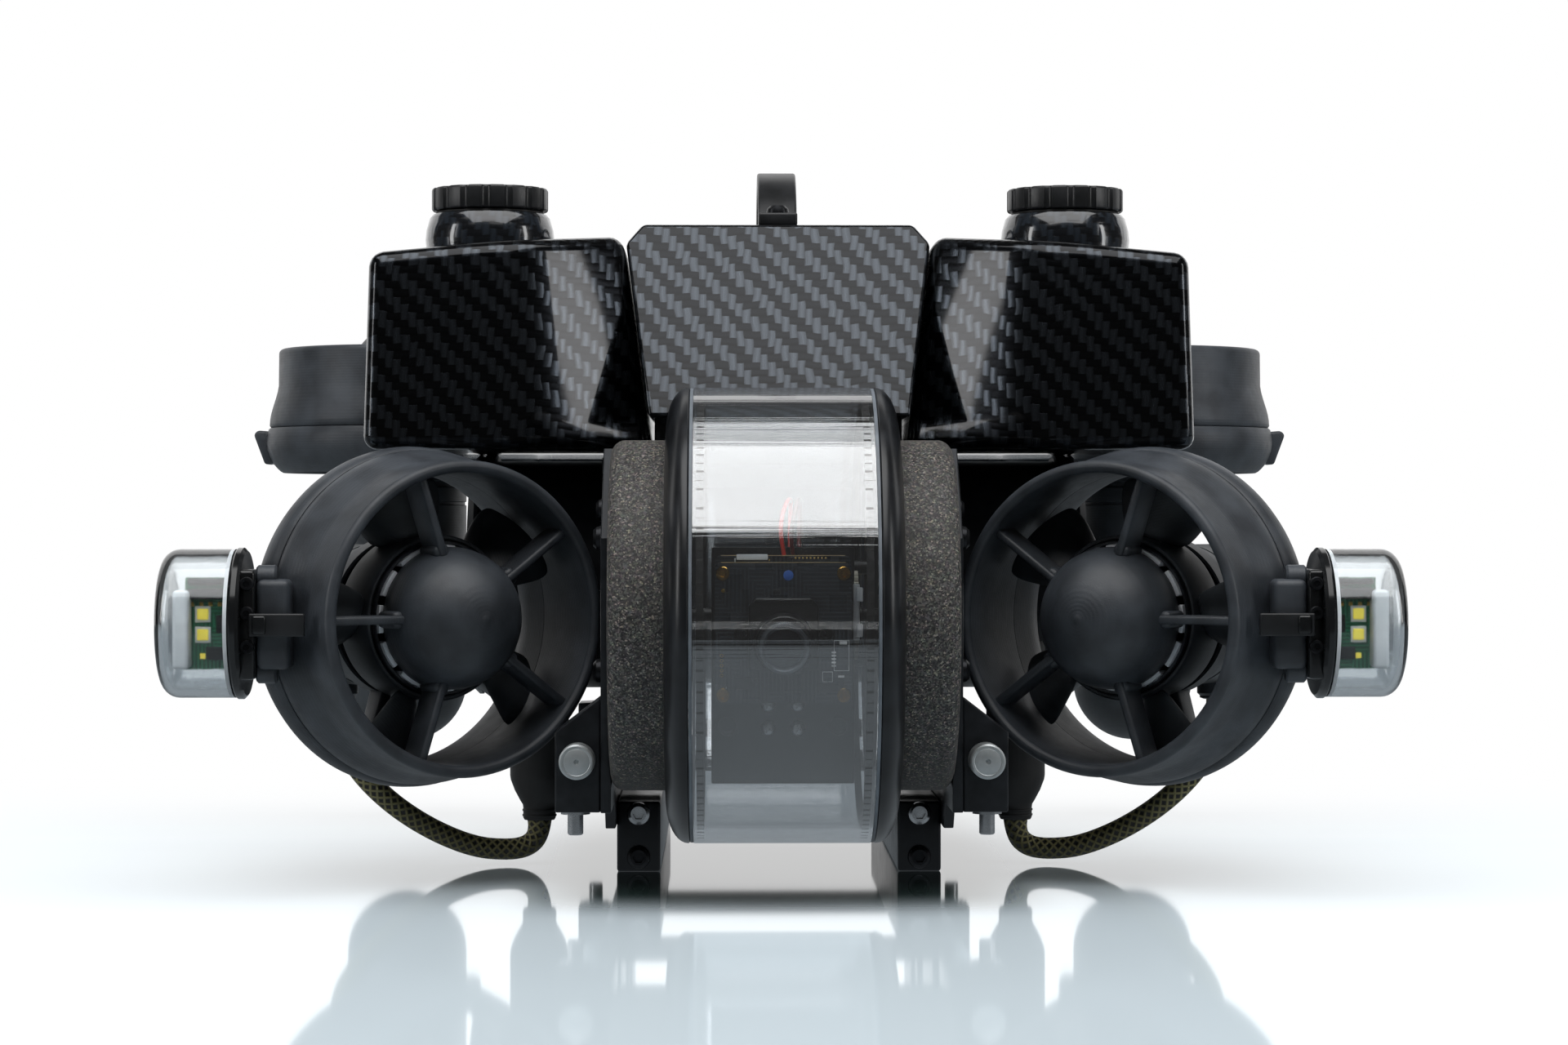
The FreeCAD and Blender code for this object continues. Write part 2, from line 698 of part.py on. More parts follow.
def motor_pod(length, gland_plane, gland_reverse):
    """Sealed pod behind the propeller, with a bearing seat, grooves and a cable gland."""
    body = new_body("pod")
    end = "-pod_start - %s" % length
    bearing_end = "-%s - bearing_length" % REAR_BEARING
    revolve(body, [
        ("shaft_radius + 0.5", "-pod_start"),
        ("pod_radius - pod_shoulder", "-pod_start"),
        ("pod_radius", "-pod_start - pod_shoulder"),
        ("pod_radius", "-duct_length - 3"),
        ("pod_radius - pod_groove", "-duct_length - 3"),
        ("pod_radius - pod_groove", "-duct_length - 5"),
        ("pod_radius", "-duct_length - 5")] + round_end("pod_radius", end, -1)[::-1] + [
        ("0", end),
        ("0", "-%s - bearing_length - 4" % REAR_BEARING),
        ("shaft_radius + 0.5", "-%s - bearing_length - 4" % REAR_BEARING),
        ("shaft_radius + 0.5", bearing_end),
        ("bearing_radius", bearing_end),
        ("bearing_radius", "-" + REAR_BEARING),
        ("shaft_radius + 0.5", "-" + REAR_BEARING)])
    round_pad(body, gland_plane, [("0", end + " + pod_radius + gland_back", "gland_radius")],
              "pod_radius + gland_reach", reverse=gland_reverse)
    return body


def stator():
    """Slotted core that the coils are wound on."""
    body = new_body("stator")
    revolve(body, [
        ("core_radius", "-core_end + stator_length"),
        ("stator_radius", "-core_end + stator_length"),
        ("stator_radius", "-core_end"),
        ("core_radius", "-core_end")])
    slot = pad(body, "XZ_Plane", [
        ("stator_radius - stator_slot_depth", "0"),
        ("stator_radius + 1", "0"),
        ("stator_radius + 1", "-duct_bore"),
        ("stator_radius - stator_slot_depth", "-duct_bore")],
        "stator_slot_width", both_ways=True, kind="Pocket")
    around(body, [slot], "stator_slots")
    return body


def bearing(start):
    """One plain bearing whose front face lies at start behind the rim."""
    body = new_body("bearing")
    revolve(body, [
        ("shaft_radius + pin_clearance", "-" + start),
        ("bearing_radius", "-" + start),
        ("bearing_radius", "-%s - bearing_length" % start),
        ("shaft_radius + pin_clearance", "-%s - bearing_length" % start)])
    return body


def front_place(item, side):
    """Stand a thruster piece on the left (-1) or right (1) front corner, toed in."""
    turn = ("-toe_in_angle", "0", "90") if side > 0 else ("180 + toe_in_angle", "0", "-90")
    return place(item, "%d * front_thruster_spread" % side, back("0 - front_thruster_ahead"),
                 "front_thruster_height", turn)


def lift_place(item, side):
    """Stand a thruster piece upright at the left or right rear."""
    turn = ("0" if side > 0 else "180", "0", "0")
    return place(item, "%d * lift_thruster_spread" % side, back("lift_thruster_back"),
                 "lift_thruster_top", turn)


def thrusters():
    """Four thrusters, each of separate pieces on the same axis."""
    cores = []
    bearings = []
    for side, side_name in ((-1, "left"), (1, "right")):
        for stand, name, pod_length in (
                (front_place, "front_" + side_name, "front_pod_length"),
                (lift_place, "lift_" + side_name, "lift_pod_length")):
            upright = stand is lift_place
            stand(node(nozzle(), name + "_nozzle"), side)
            stand(node(intake_ring(upright), name + "_intake_ring"), side)
            stand(node(propeller(side), name + "_propeller"), side)
            stand(gather([rotor(), magnets()], name + "_rotor"), side)
            plane = "YZ_Plane" if upright else "XZ_Plane"
            pod = motor_pod(pod_length, plane, upright or side < 0)
            stand(node(pod, name + "_motor_pod"), side)
            cores.append(stand(stator(), side))
            bearings.append(stand(bearing(FRONT_BEARING), side))
            bearings.append(stand(bearing(REAR_BEARING), side))
    gather(cores, "motor_stators")
    gather(bearings, "shaft_bearings")


# -------------------------------------------------------------- camera drum
# The drum's pieces are turned about X, with the tilt axis at their own origin.

FLANGE_END = "(window_half_width + flange_width)"
HUB_END = "(window_half_width + flange_width + hub_width)"
SPIGOT = "(window_radius - window_wall - spigot_gap)"
DISC_START = "(window_half_width + flange_width - flange_disc)"


def drum_place(item, turned=False):
    return place(item, "0", DRUM_Y, "drum_height", ("180" if turned else "0", "0", "0"))


def drum():
    """Clear tube, two flanges with O-rings, two grained hubs."""
    window = new_body("window")
    revolve(window, [
        ("-window_half_width", "window_radius - window_wall"),
        ("window_half_width", "window_radius - window_wall"),
        ("window_half_width", "window_radius"),
        ("-window_half_width", "window_radius")], axis="H_Axis")
    drum_place(node(window, "camera_window"))
    seals = []
    seal_start = "window_half_width - spigot_length / 2 - seal_width / 2"
    seal_end = "window_half_width - spigot_length / 2 + seal_width / 2"
    for turned, side_name in ((True, "left"), (False, "right")):
        flange = new_body("flange")
        revolve(flange, [
            (DISC_START + " - boss_length", "pin_radius + pin_clearance"),
            (DISC_START + " - boss_length", "boss_radius"),
            (DISC_START, "boss_radius"),
            (DISC_START, SPIGOT + " - spigot_wall"),
            ("window_half_width - spigot_length", SPIGOT + " - spigot_wall"),
            ("window_half_width - spigot_length", SPIGOT),
            (seal_start, SPIGOT),
            (seal_start, SPIGOT + " - seal_depth"),
            (seal_end, SPIGOT + " - seal_depth"),
            (seal_end, SPIGOT),
            ("window_half_width", SPIGOT),
            ("window_half_width", "window_radius"),
            (FLANGE_END + " - flange_width / 2", "window_radius - flange_round * 0.22"),
            (FLANGE_END + " - flange_width / 6", "window_radius - flange_round * 0.48"),
            (FLANGE_END, "window_radius - flange_round * 0.8"),
            (FLANGE_END, "pin_radius + pin_clearance")], axis="H_Axis")
        drum_place(node(flange, "drum_flange_" + side_name), turned)
        hub = new_body("hub")
        revolve(hub, [
            (FLANGE_END, "0"),
            (FLANGE_END, "hub_radius - 1"),
            (FLANGE_END + " + 1", "hub_radius"),
            (HUB_END + " - hub_round", "hub_radius"),
            (HUB_END + " - hub_round * 0.3", "hub_radius - hub_round * 0.3"),
            (HUB_END, "hub_radius - hub_round"),
            (HUB_END, "0")], axis="H_Axis")
        drum_place(node(hub, "drum_hub_" + side_name), turned)
        seal = new_body("seal")
        revolve(seal, [
            (seal_start, SPIGOT + " - seal_depth"),
            (seal_end, SPIGOT + " - seal_depth"),
            (seal_end, "window_radius - window_wall"),
            (seal_start, "window_radius - window_wall")], axis="H_Axis")
        seals.append(drum_place(seal, turned))
    gather(seals, "window_seals")


# ------------------------------------------------------------ tilting camera

CRADLE_FACE = "(0 - cradle_front)"
REAR_BOARD = "(0 - cradle_front - standoff_length)"
FRONT_BOARD = "(0 - cradle_front - standoff_length - board_thickness - board_space)"
FRONT_FACE = "(0 - cradle_front - standoff_length - board_thickness * 2 - board_space)"
GEAR_START = "(cheek_spread + gear_gap)"
GEAR_PITCH = "(gear_module * gear_teeth / 2)"
PINION_PITCH = "(gear_module * pinion_teeth / 2)"
MESH = "(gear_module * (gear_teeth + pinion_teeth) / 2)"


def cradle():
    """Plate and two cheeks on trunnion pins."""
    body = new_body("cradle")
    pad(body, "XY_Plane", [
        ("0 - cheek_spread", CRADLE_FACE),
        ("cheek_spread", CRADLE_FACE),
        ("cheek_spread", CRADLE_FACE + " + cradle_plate"),
        ("0 - cheek_spread", CRADLE_FACE + " + cradle_plate")], "cradle_top")
    pad(body, "XY_Plane", [
        ("0 - cheek_spread", CRADLE_FACE),
        ("cheek_spread", CRADLE_FACE),
        ("cheek_spread", CRADLE_FACE + " + cradle_plate"),
        ("0 - cheek_spread", CRADLE_FACE + " + cradle_plate")], "cradle_bottom", reverse=True)
    for side in ("", "0 - "):
        pad(body, "XY_Plane", [
            (side + "cheek_spread", CRADLE_FACE + " + 0.5"),
            (side + "cheek_spread", "cheek_height / 3"),
            (side + "(cheek_spread - cheek_thickness)", "cheek_height / 3"),
            (side + "(cheek_spread - cheek_thickness)", CRADLE_FACE + " + 0.5")],
            "cheek_height", both_ways=True)
        pin_end = DISC_START + " + flange_disc / 2"
        revolve(body, [
            (side + "(cheek_spread - 0.5)", "0"),
            (side + "(cheek_spread - 0.5)", "pin_radius"),
            (side + "(%s)" % pin_end, "pin_radius"),
            (side + "(%s)" % pin_end, "0")], axis="H_Axis")
    return node(body, "camera_cradle")


def camera_boards():
    """Front and rear circuit boards, 38 mm square."""
    boards = []
    for face in (REAR_BOARD, FRONT_BOARD):
        body = new_body("board")
        sketch = outline(body, "XZ_Plane", [
            ("0 - board_width / 2 + board_corner", "0 - board_width / 2 - board_drop"),
            ("board_width / 2 - board_corner", "0 - board_width / 2 - board_drop"),
            ("board_width / 2", "0 - board_width / 2 - board_drop + board_corner"),
            ("board_width / 2", "board_width / 2 - board_drop - board_corner"),
            ("board_width / 2 - board_corner", "board_width / 2 - board_drop"),
            ("0 - board_width / 2 + board_corner", "board_width / 2 - board_drop"),
            ("0 - board_width / 2", "board_width / 2 - board_drop - board_corner"),
            ("0 - board_width / 2", "0 - board_width / 2 - board_drop + board_corner")])
        raise_sketch(sketch, "0 - " + face)
        push(body, sketch, "board_thickness")
        boards.append(drum_place(body))
    return gather(boards, "camera_boards")


def camera_fixings():
    """Brass standoffs through both boards and the four screws of the lower lug."""
    pieces = []
    for across in ("0 - ", ""):
        for up in ("0 - ", ""):
            x = across + "standoff_pitch / 2"
            z = up + "standoff_pitch / 2 - board_drop"
            for start, reach in ((CRADLE_FACE, "standoff_length"),
                                 (REAR_BOARD + " - board_thickness", "board_space"),
                                 (FRONT_FACE, "1")):
                post = cylinder("standoff_radius", reach)
                place(post, x, "%s + %s" % (DRUM_Y, start), "drum_height + " + z,
                      ("0", "0", "90"))
                pieces.append(post)
            screw = cylinder("camera_screw_radius", "camera_screw_head")
            place(screw, across + "camera_screw_pitch / 2", "%s + %s" % (DRUM_Y, CRADLE_FACE),
                  "drum_height - camera_screw_drop %s camera_screw_pitch * 0.4"
                  % ("-" if up else "+"), ("0", "0", "90"))
            pieces.append(screw)
    return gather(pieces, "camera_fixings")


def camera_lens():
    """Lens barrel in its square holder with two screw ears."""
    body = new_body("lens")
    drop = "(board_drop + lens_drop)"
    sketch = outline(body, "XZ_Plane", [
        ("0 - lens_base_width / 2", "0 - lens_base_width / 2 - " + drop),
        ("lens_base_width / 2", "0 - lens_base_width / 2 - " + drop),
        ("lens_base_width / 2", "lens_base_width / 2 - " + drop),
        ("0 - lens_base_width / 2", "lens_base_width / 2 - " + drop)])
    push(body, raise_sketch(sketch, "0 - " + FRONT_FACE), "lens_base_depth")
    ears = outline(body, "XZ_Plane", [
        ("0 - lens_ear_span / 2", "0 - lens_ear_width / 2 - " + drop),
        ("lens_ear_span / 2", "0 - lens_ear_width / 2 - " + drop),
        ("lens_ear_span / 2", "lens_ear_width / 2 - " + drop),
        ("0 - lens_ear_span / 2", "lens_ear_width / 2 - " + drop)])
    push(body, raise_sketch(ears, "0 - " + FRONT_FACE), "lens_ear_depth")
    barrel = circles(body, "XZ_Plane", [("0", "0 - " + drop, "lens_radius")])
    push(body, raise_sketch(barrel, "0 - " + FRONT_FACE), "lens_base_depth + lens_length")
    mouth = circles(body, "XZ_Plane", [("0", "0 - " + drop, "lens_mouth_radius")])
    raise_sketch(mouth, "0 - %s + lens_base_depth + lens_length" % FRONT_FACE)
    push(body, mouth, "1.2", kind="Pocket")
    return node(body, "camera_lens")


def toothed_wheel(pitch, teeth, bore, phase):
    """A spur wheel about X: a root disc with one tooth repeated round it."""
    body = new_body("wheel")
    root = pitch + " - gear_module * 1.2"
    disc = circles(body, "YZ_Plane", [("0", "0", root)])
    push(body, raise_sketch(disc, GEAR_START), "gear_width")
    half = "(gear_module * %s / 4 - gear_backlash)"
    wide = half % "3.9"
    middle = half % "3.1416"
    narrow = half % "1.5"
    tooth = outline(body, "YZ_Plane", [
        ("0 - " + wide, root + " - 0.3"),
        (wide, root + " - 0.3"),
        (middle, pitch),
        (narrow, pitch + " + gear_module * 0.9"),
        ("0 - " + narrow, pitch + " + gear_module * 0.9"),
        ("0 - " + middle, pitch)])
    raise_sketch(tooth, GEAR_START, phase)
    teeth_pad = push(body, tooth, "gear_width")
    around(body, [teeth_pad], teeth, "X_Axis")
    hole = circles(body, "YZ_Plane", [("0", "0", bore)])
    push(body, raise_sketch(hole, GEAR_START), "gear_width * 3", kind="Pocket", both_ways=True)
    return body


def tilt_drive():
    """Gear on the cradle's trunnion, servo pinion behind it, and the servo on its posts."""
    gear = toothed_wheel(GEAR_PITCH, "gear_teeth", "pin_radius", "90")
    drum_place(node(gear, "tilt_gear"))
    pinion = toothed_wheel(PINION_PITCH, "pinion_teeth", "servo_shaft_radius / 2",
                           "90 + 180 / pinion_teeth")
    shaft = circles(pinion, "YZ_Plane", [("0", "0", "servo_shaft_radius")])
    start = "(cheek_spread - servo_gap + seat_clearance)"
    push(pinion, raise_sketch(shaft, start), "%s + gear_width + 1.3 - %s" % (GEAR_START, start))
    place(node(pinion, "servo_pinion"), "0", "%s + %s" % (DRUM_Y, MESH), "drum_height")
    body = new_body("servo")
    face = "(cheek_spread - servo_gap)"
    case = outline(body, "YZ_Plane", [
        ("0 - servo_depth / 2", "0 - servo_height / 2"),
        ("servo_depth / 2", "0 - servo_height / 2"),
        ("servo_depth / 2", "servo_height / 2"),
        ("0 - servo_depth / 2", "servo_height / 2")])
    push(body, raise_sketch(case, face + " - servo_length"), "servo_length")
    ear_top = "servo_height / 2 + servo_ear"
    ears = outline(body, "YZ_Plane", [
        ("0 - servo_depth / 2", "0 - (%s)" % ear_top),
        ("servo_depth / 2", "0 - (%s)" % ear_top),
        ("servo_depth / 2", ear_top),
        ("0 - servo_depth / 2", ear_top)])
    ear_face = face + " - 4"
    push(body, raise_sketch(ears, ear_face), "servo_ear_thickness")
    posts = circles(body, "YZ_Plane", [
        ("0", "servo_height / 2 + servo_ear / 2", "servo_post_radius"),
        ("0", "0 - servo_height / 2 - servo_ear / 2", "servo_post_radius")])
    push(body, raise_sketch(posts, ear_face), "%s - (%s)" % (DISC_START, ear_face))
    place(node(body, "tilt_servo"), "0", "%s + %s" % (DRUM_Y, MESH), "drum_height")


def camera():
    for piece in (cradle(), camera_lens()):
        drum_place(piece)
    camera_boards()
    camera_fixings()
    tilt_drive()


# -------------------------------------------------------------------- lamps

def mirror_corners(corners, side):
    """Corners on the chosen side; the outer way is +X as written."""
    return [("%d * (%s)" % (side, x), y) for x, y in corners]


def duct_form(side):
    """The outside of a front duct, which its lamp bracket is cut to."""
    body = new_body("duct_form")
    revolve(body, [
        ("0", "0"),
        ("duct_rim", "0"),
        ("duct_rim", "-duct_straight"),
        ("duct_waist", "-duct_parting")] + LIP + [("0", "-duct_length")])
    return front_place(body, side)


def lamp_place(item, side):
    return place(item, "0", back("0 - lamp_ahead"), "lamp_height",
                 ("0" if side > 0 else "180", "0", "0"))


def lamps():
    """Two lamps: neck and ring, clear cup, board with two LEDs, bracket on the duct."""
    bases = []
    boards = []
    brackets = []
    for side, side_name in ((-1, "left"), (1, "right")):
        base = new_body("lamp_base")
        revolve(base, [
            ("lamp_ring_start", "0"),
            ("lamp_ring_start", "lamp_ring_radius"),
            ("lamp_cup_start", "lamp_ring_radius"),
            ("lamp_cup_start", "0")], axis="H_Axis")
        neck = outline(base, "YZ_Plane", mirror_corners([
            ("0 - lamp_neck_front", "0 - lamp_neck_half_height"),
            ("lamp_neck_back", "0 - lamp_neck_half_height"),
            ("lamp_neck_back", "lamp_neck_half_height"),
            ("0 - lamp_neck_front", "lamp_neck_half_height")], side))
        raise_sketch(neck, "lamp_neck_start")
        push(base, neck, "lamp_ring_start - lamp_neck_start + 1")
        bases.append(lamp_place(base, side))
        cup = new_body("lamp_cup")
        revolve(cup, [
            ("lamp_cup_start", "lamp_cup_radius - lamp_cup_wall"),
            ("lamp_cup_start", "lamp_cup_radius"),
            ("lamp_cup_end - lamp_cup_round", "lamp_cup_radius"),
            ("lamp_cup_end - lamp_cup_round * 0.3", "lamp_cup_radius - lamp_cup_round * 0.3"),
            ("lamp_cup_end", "lamp_cup_radius - lamp_cup_round"),
            ("lamp_cup_end", "0"),
            ("lamp_cup_end - lamp_cup_wall", "0"),
            ("lamp_cup_end - lamp_cup_wall", "lamp_cup_radius - lamp_cup_round"),
            ("lamp_cup_end - lamp_cup_round", "lamp_cup_radius - lamp_cup_wall")],
            axis="H_Axis")
        lamp_place(node(cup, "lamp_cup_" + side_name), side)
        board = new_body("lamp_board")
        pad(board, "XZ_Plane", [
            ("lamp_cup_start", "0 - lamp_board_height / 2"),
            ("lamp_cup_start + lamp_board_length", "0 - lamp_board_height / 2"),
            ("lamp_cup_start + lamp_board_length", "lamp_board_height / 2"),
            ("lamp_cup_start", "lamp_board_height / 2")], "lamp_board_thickness", both_ways=True)
        boards.append(lamp_place(board, side))
        for up in ("", "0 - "):
            led = bind(doc.addObject("Part::Box", "led"), Length="led_size",
                       Width="led_depth", Height="led_size")
            middle = "(lamp_cup_start + lamp_board_length / 2)"
            place(led, "%d * %s - led_size / 2" % (side, middle),
                  back("0 - lamp_ahead - lamp_board_thickness / 2 - led_depth"),
                  "lamp_height - led_size / 2 + (%sled_pitch / 2)" % up)
            boards.append(led)
        saddle = new_body("saddle")
        revolve(saddle, [
            ("saddle_root", "0"),
            ("saddle_root", "saddle_radius"),
            ("lamp_neck_start", "saddle_radius"),
            ("lamp_neck_start", "0")], axis="H_Axis")
        lamp_place(saddle, side)
        bracket = subtract(saddle, duct_form(side))
        strap = bind(doc.addObject("Part::Box", "strap"), Width="strap_thickness",
                     Length="strap_reach", Height="strap_width")
        place(strap, "lamp_neck_start - strap_reach" if side > 0 else "0 - lamp_neck_start",
              back("0 - strap_ahead"), "lamp_height - strap_width / 2")
        brackets.append(bracket)
        brackets.append(subtract(strap, duct_form(side)))
    gather(bases, "lamp_bases")
    gather(boards, "lamp_boards")
    gather(brackets, "lamp_brackets")


# -------------------------------------------------------------------- hulls

def side_hull(side):
    """Buoyancy hull: a loft with a folded front, a falling top and a filler neck."""
    body = new_body("side_hull")
    height = "(side_hull_top - %s)" % HULL_BOTTOM
    lean = "side_hull_lean"
    sections = []
    for level, shift, rake in ((HULL_BOTTOM, "0", "0"),
                               ("side_hull_top", lean, "side_hull_rake")):
        front = "hull_front + " + rake
        rear = "hull_rear - " + rake
        sketch = outline(body, "XY_Plane", mirror_corners([
            ("side_hull_inner + " + shift, front + " + side_hull_setback"),
            ("side_hull_crease + %s / 2" % shift, front),
            ("side_hull_outer - %s / 6" % shift, front),
            ("side_hull_outer - %s / 6" % shift, rear + " - side_hull_tail"),
            ("side_hull_outer - side_hull_tail - %s / 6" % shift, rear),
            ("side_hull_inner + " + shift, rear)], side))
        raise_sketch(sketch, level)
        sections.append(sketch)
    shell = body.newObject("PartDesign::AdditiveLoft", "shell")
    shell.Profile = sections[0]
    shell.Sections = [sections[1]]
    top = outline(body, "XZ_Plane", mirror_corners([
        ("side_hull_inner - side_hull_setback", "side_hull_top + 1"),
        ("side_hull_inner + side_hull_lean", "side_hull_top"),
        ("side_hull_outer", "side_hull_top - side_hull_fall"),
        ("side_hull_outer + side_hull_tail", "side_hull_top - side_hull_fall - 1"),
        ("side_hull_outer + side_hull_tail", "side_hull_top + hull_front"),
        ("side_hull_inner - side_hull_setback", "side_hull_top + hull_front")], side))
    fall = push(body, top, "hull_rear * 3", both_ways=True, kind="Pocket")
    doc.recompute()
    floor = value(HULL_BOTTOM) + 1
    rounded = dress(body, fall, "Chamfer", lambda edge, middle: middle.z > floor, "hull_edge_bevel")
    body.Tip = rounded
    neck = circles(body, "XY_Plane", [("%d * neck_spread" % side, "neck_back", "neck_radius")])
    raise_sketch(neck, "side_hull_top - side_hull_fall - neck_depth + 1")
    push(body, neck, "neck_top - (side_hull_top - side_hull_fall - neck_depth + 1)")
    mouth = circles(body, "XY_Plane", [("%d * neck_spread" % side, "neck_back", "neck_bore")])
    raise_sketch(mouth, "neck_top - neck_depth")
    push(body, mouth, "neck_depth * 2", kind="Pocket", reverse=True)
    return body


def centre_hull():
    """Middle hull between the tanks: raked front, bevelled shoulders, a foot below."""
    body = new_body("centre_hull")
    foot = outline(body, "XY_Plane", [
        ("0 - centre_foot_half_width", "centre_foot_start"),
        ("centre_foot_half_width", "centre_foot_start"),
        ("centre_foot_half_width", "hull_rear - hull_edge_bevel"),
        ("0 - centre_foot_half_width", "hull_rear - hull_edge_bevel")])
    raise_sketch(foot, HULL_BOTTOM)
    push(body, foot, "centre_hull_rise")
    sections = []
    inner = "side_hull_inner - hull_gap"
    slope = "side_hull_lean / (side_hull_top - %s)" % HULL_BOTTOM
    for level, rake in ((CENTRE_BOTTOM, "0"), ("centre_hull_top", "centre_hull_rake")):
        half = "(%s + (%s - %s) * %s)" % (inner, level, HULL_BOTTOM, slope)
        rear = "hull_rear - " + rake + " / 4"
        sketch = outline(body, "XY_Plane", [
            ("0 - " + half, "centre_hull_front + " + rake),
            (half, "centre_hull_front + " + rake),
            (half, rear),
            ("0 - " + half, rear)])
        raise_sketch(sketch, level)
        sections.append(sketch)
    shell = body.newObject("PartDesign::AdditiveLoft", "shell")
    shell.Profile = sections[0]
    shell.Sections = [sections[1]]
    doc.recompute()
    crest = value("centre_hull_top") - 0.01
    bevel = dress(body, shell, "Chamfer",
                  lambda edge, middle: middle.z > crest and along(edge, Y_WAY),
                  "centre_hull_chamfer")
    body.Tip = bevel
    return body


def hull_place(item):
    return place(item, "0", DRUM_Y, "0")


def tank_cap():
    """Fluted screw cap with the plug that enters the neck."""
    body = new_body("cap")
    seat = "neck_top + gasket_thickness + gasket_air"
    top = "(%s + cap_height)" % seat
    revolve(body, [
        ("0", seat + " - cap_plug_length"),
        ("cap_plug_radius - 1", seat + " - cap_plug_length"),
        ("cap_plug_radius", seat + " - cap_plug_length + 1"),
        ("cap_plug_radius", seat),
        ("cap_radius", seat),
        ("cap_radius", top + " - 1.2"),
        ("cap_radius - 1.2", top),
        ("0", top)])
    flute = circles(body, "XY_Plane", [("cap_radius + cap_flute_radius * 0.45", "0",
                                        "cap_flute_radius")])
    raise_sketch(flute, seat)
    cut = push(body, flute, "cap_height * 2", kind="Pocket", both_ways=True)
    around(body, [cut], "cap_flutes")
    return body


def gasket():
    body = new_body("gasket")
    revolve(body, [
        ("neck_bore", "neck_top"),
        ("gasket_radius", "neck_top"),
        ("gasket_radius", "neck_top + gasket_thickness"),
        ("neck_bore", "neck_top + gasket_thickness")])
    return body


def carry_handle():
    """Arched strap with two bolted feet, bent from one flat bar."""
    body = new_body("handle")
    tail = "handle_span + handle_foot"
    pad(body, "YZ_Plane", [
        ("0", "0"),
        ("handle_foot + handle_leg", "0"),
        ("handle_foot + handle_span - handle_leg", "0"),
        (tail + " + handle_foot", "0"),
        (tail + " + handle_foot", "handle_foot_height"),
        (tail, "handle_foot_height"),
        ("handle_foot", "handle_foot_height"),
        ("0", "handle_foot_height")], "handle_width", both_ways=True,
        arcs={1: ("handle_inner_radius", 1), 5: ("handle_arch_radius", -1)})
    return body


def hulls():
    for side, side_name in ((-1, "left"), (1, "right")):
        hull_place(node(side_hull(side), "side_hull_" + side_name))
        at = ("%d * neck_spread" % side, back("neck_back"))
        place(node(tank_cap(), "tank_cap_" + side_name), *at)
        place(node(gasket(), "cap_gasket_" + side_name), *at)
    hull_place(node(centre_hull(), "centre_hull"))
    place(node(carry_handle(), "carry_handle"), "0", back("handle_front"), "centre_hull_top")


# -------------------------------------------------------------------- frame

PLATE_INNER = HUB_END
PLATE_OUTER = "(window_half_width + flange_width + hub_width + plate_thickness)"


def side_plate(side):
    """Machined plate that carries the drum, the hulls and the thruster arms."""
    body = new_body("side_plate")
    sketch = outline(body, "YZ_Plane", [
        ("0 - plate_front", "block_bottom"),
        ("plate_chin - plate_front", "block_bottom"),
        ("plate_chin - plate_front + 8", "plate_bottom"),
        ("plate_rear - plate_chin", "plate_bottom"),
        ("plate_rear", "plate_bottom + plate_chin"),
        ("plate_rear", "plate_tail_top"),
        ("plate_tail_start", "plate_tail_top"),
        ("plate_tail_start", HULL_BOTTOM),
        ("hull_front - 12", HULL_BOTTOM),
        ("0 - plate_front", HULL_BOTTOM + " - 26")])
    start = PLATE_INNER if side > 0 else "0 - " + PLATE_OUTER
    push(body, raise_sketch(sketch, start), "plate_thickness")
    bore = circles(body, "YZ_Plane", [
        ("housing_back", "housing_height", "housing_radius + seat_clearance")])
    push(body, raise_sketch(bore, start + " - 1"), "plate_thickness + 2", kind="Pocket",
         reverse=True)
    for start_y, start_z in (("housing_back - slot_length - 28", "plate_bottom + 12"),
                             ("housing_back + 28", "plate_bottom + 12"),
                             ("housing_back + 68", "housing_height - 42"),
                             ("housing_back + 68", "housing_height - 4")):
        slot = outline(body, "YZ_Plane", [
            (start_y + " + 6", start_z),
            (start_y + " + slot_length - 6", start_z),
            (start_y + " + slot_length", start_z + " + 6"),
            (start_y + " + slot_length", start_z + " + slot_height - 6"),
            (start_y + " + slot_length - 6", start_z + " + slot_height"),
            (start_y + " + 6", start_z + " + slot_height"),
            (start_y, start_z + " + slot_height - 6"),
            (start_y, start_z + " + 6")])
        push(body, raise_sketch(slot, start + " - 1"), "plate_thickness + 2", kind="Pocket",
             reverse=True)
    return body


BARS = (
    ("skid_hole_front + 8", "plate_bottom + bar_radius + 9"),
    ("skid_hole_rear", "plate_bottom + bar_radius + 9"),
    ("centre_foot_start + 14", HULL_BOTTOM + " - bar_radius"),
    ("hull_rear - 26", HULL_BOTTOM + " - bar_radius"),
    ("plate_rear - 12", "plate_tail_top - 20"),
)


def spacer_bars():
    """Round bars that hold the two side plates apart."""
    bars = []
    for along_y, height in BARS:
        bar = cylinder("bar_radius", "2 * " + PLATE_INNER)
        bars.append(place(bar, "0 - " + PLATE_INNER, back(along_y), height, ("0", "90", "0")))
    gather(bars, "spacer_bars")


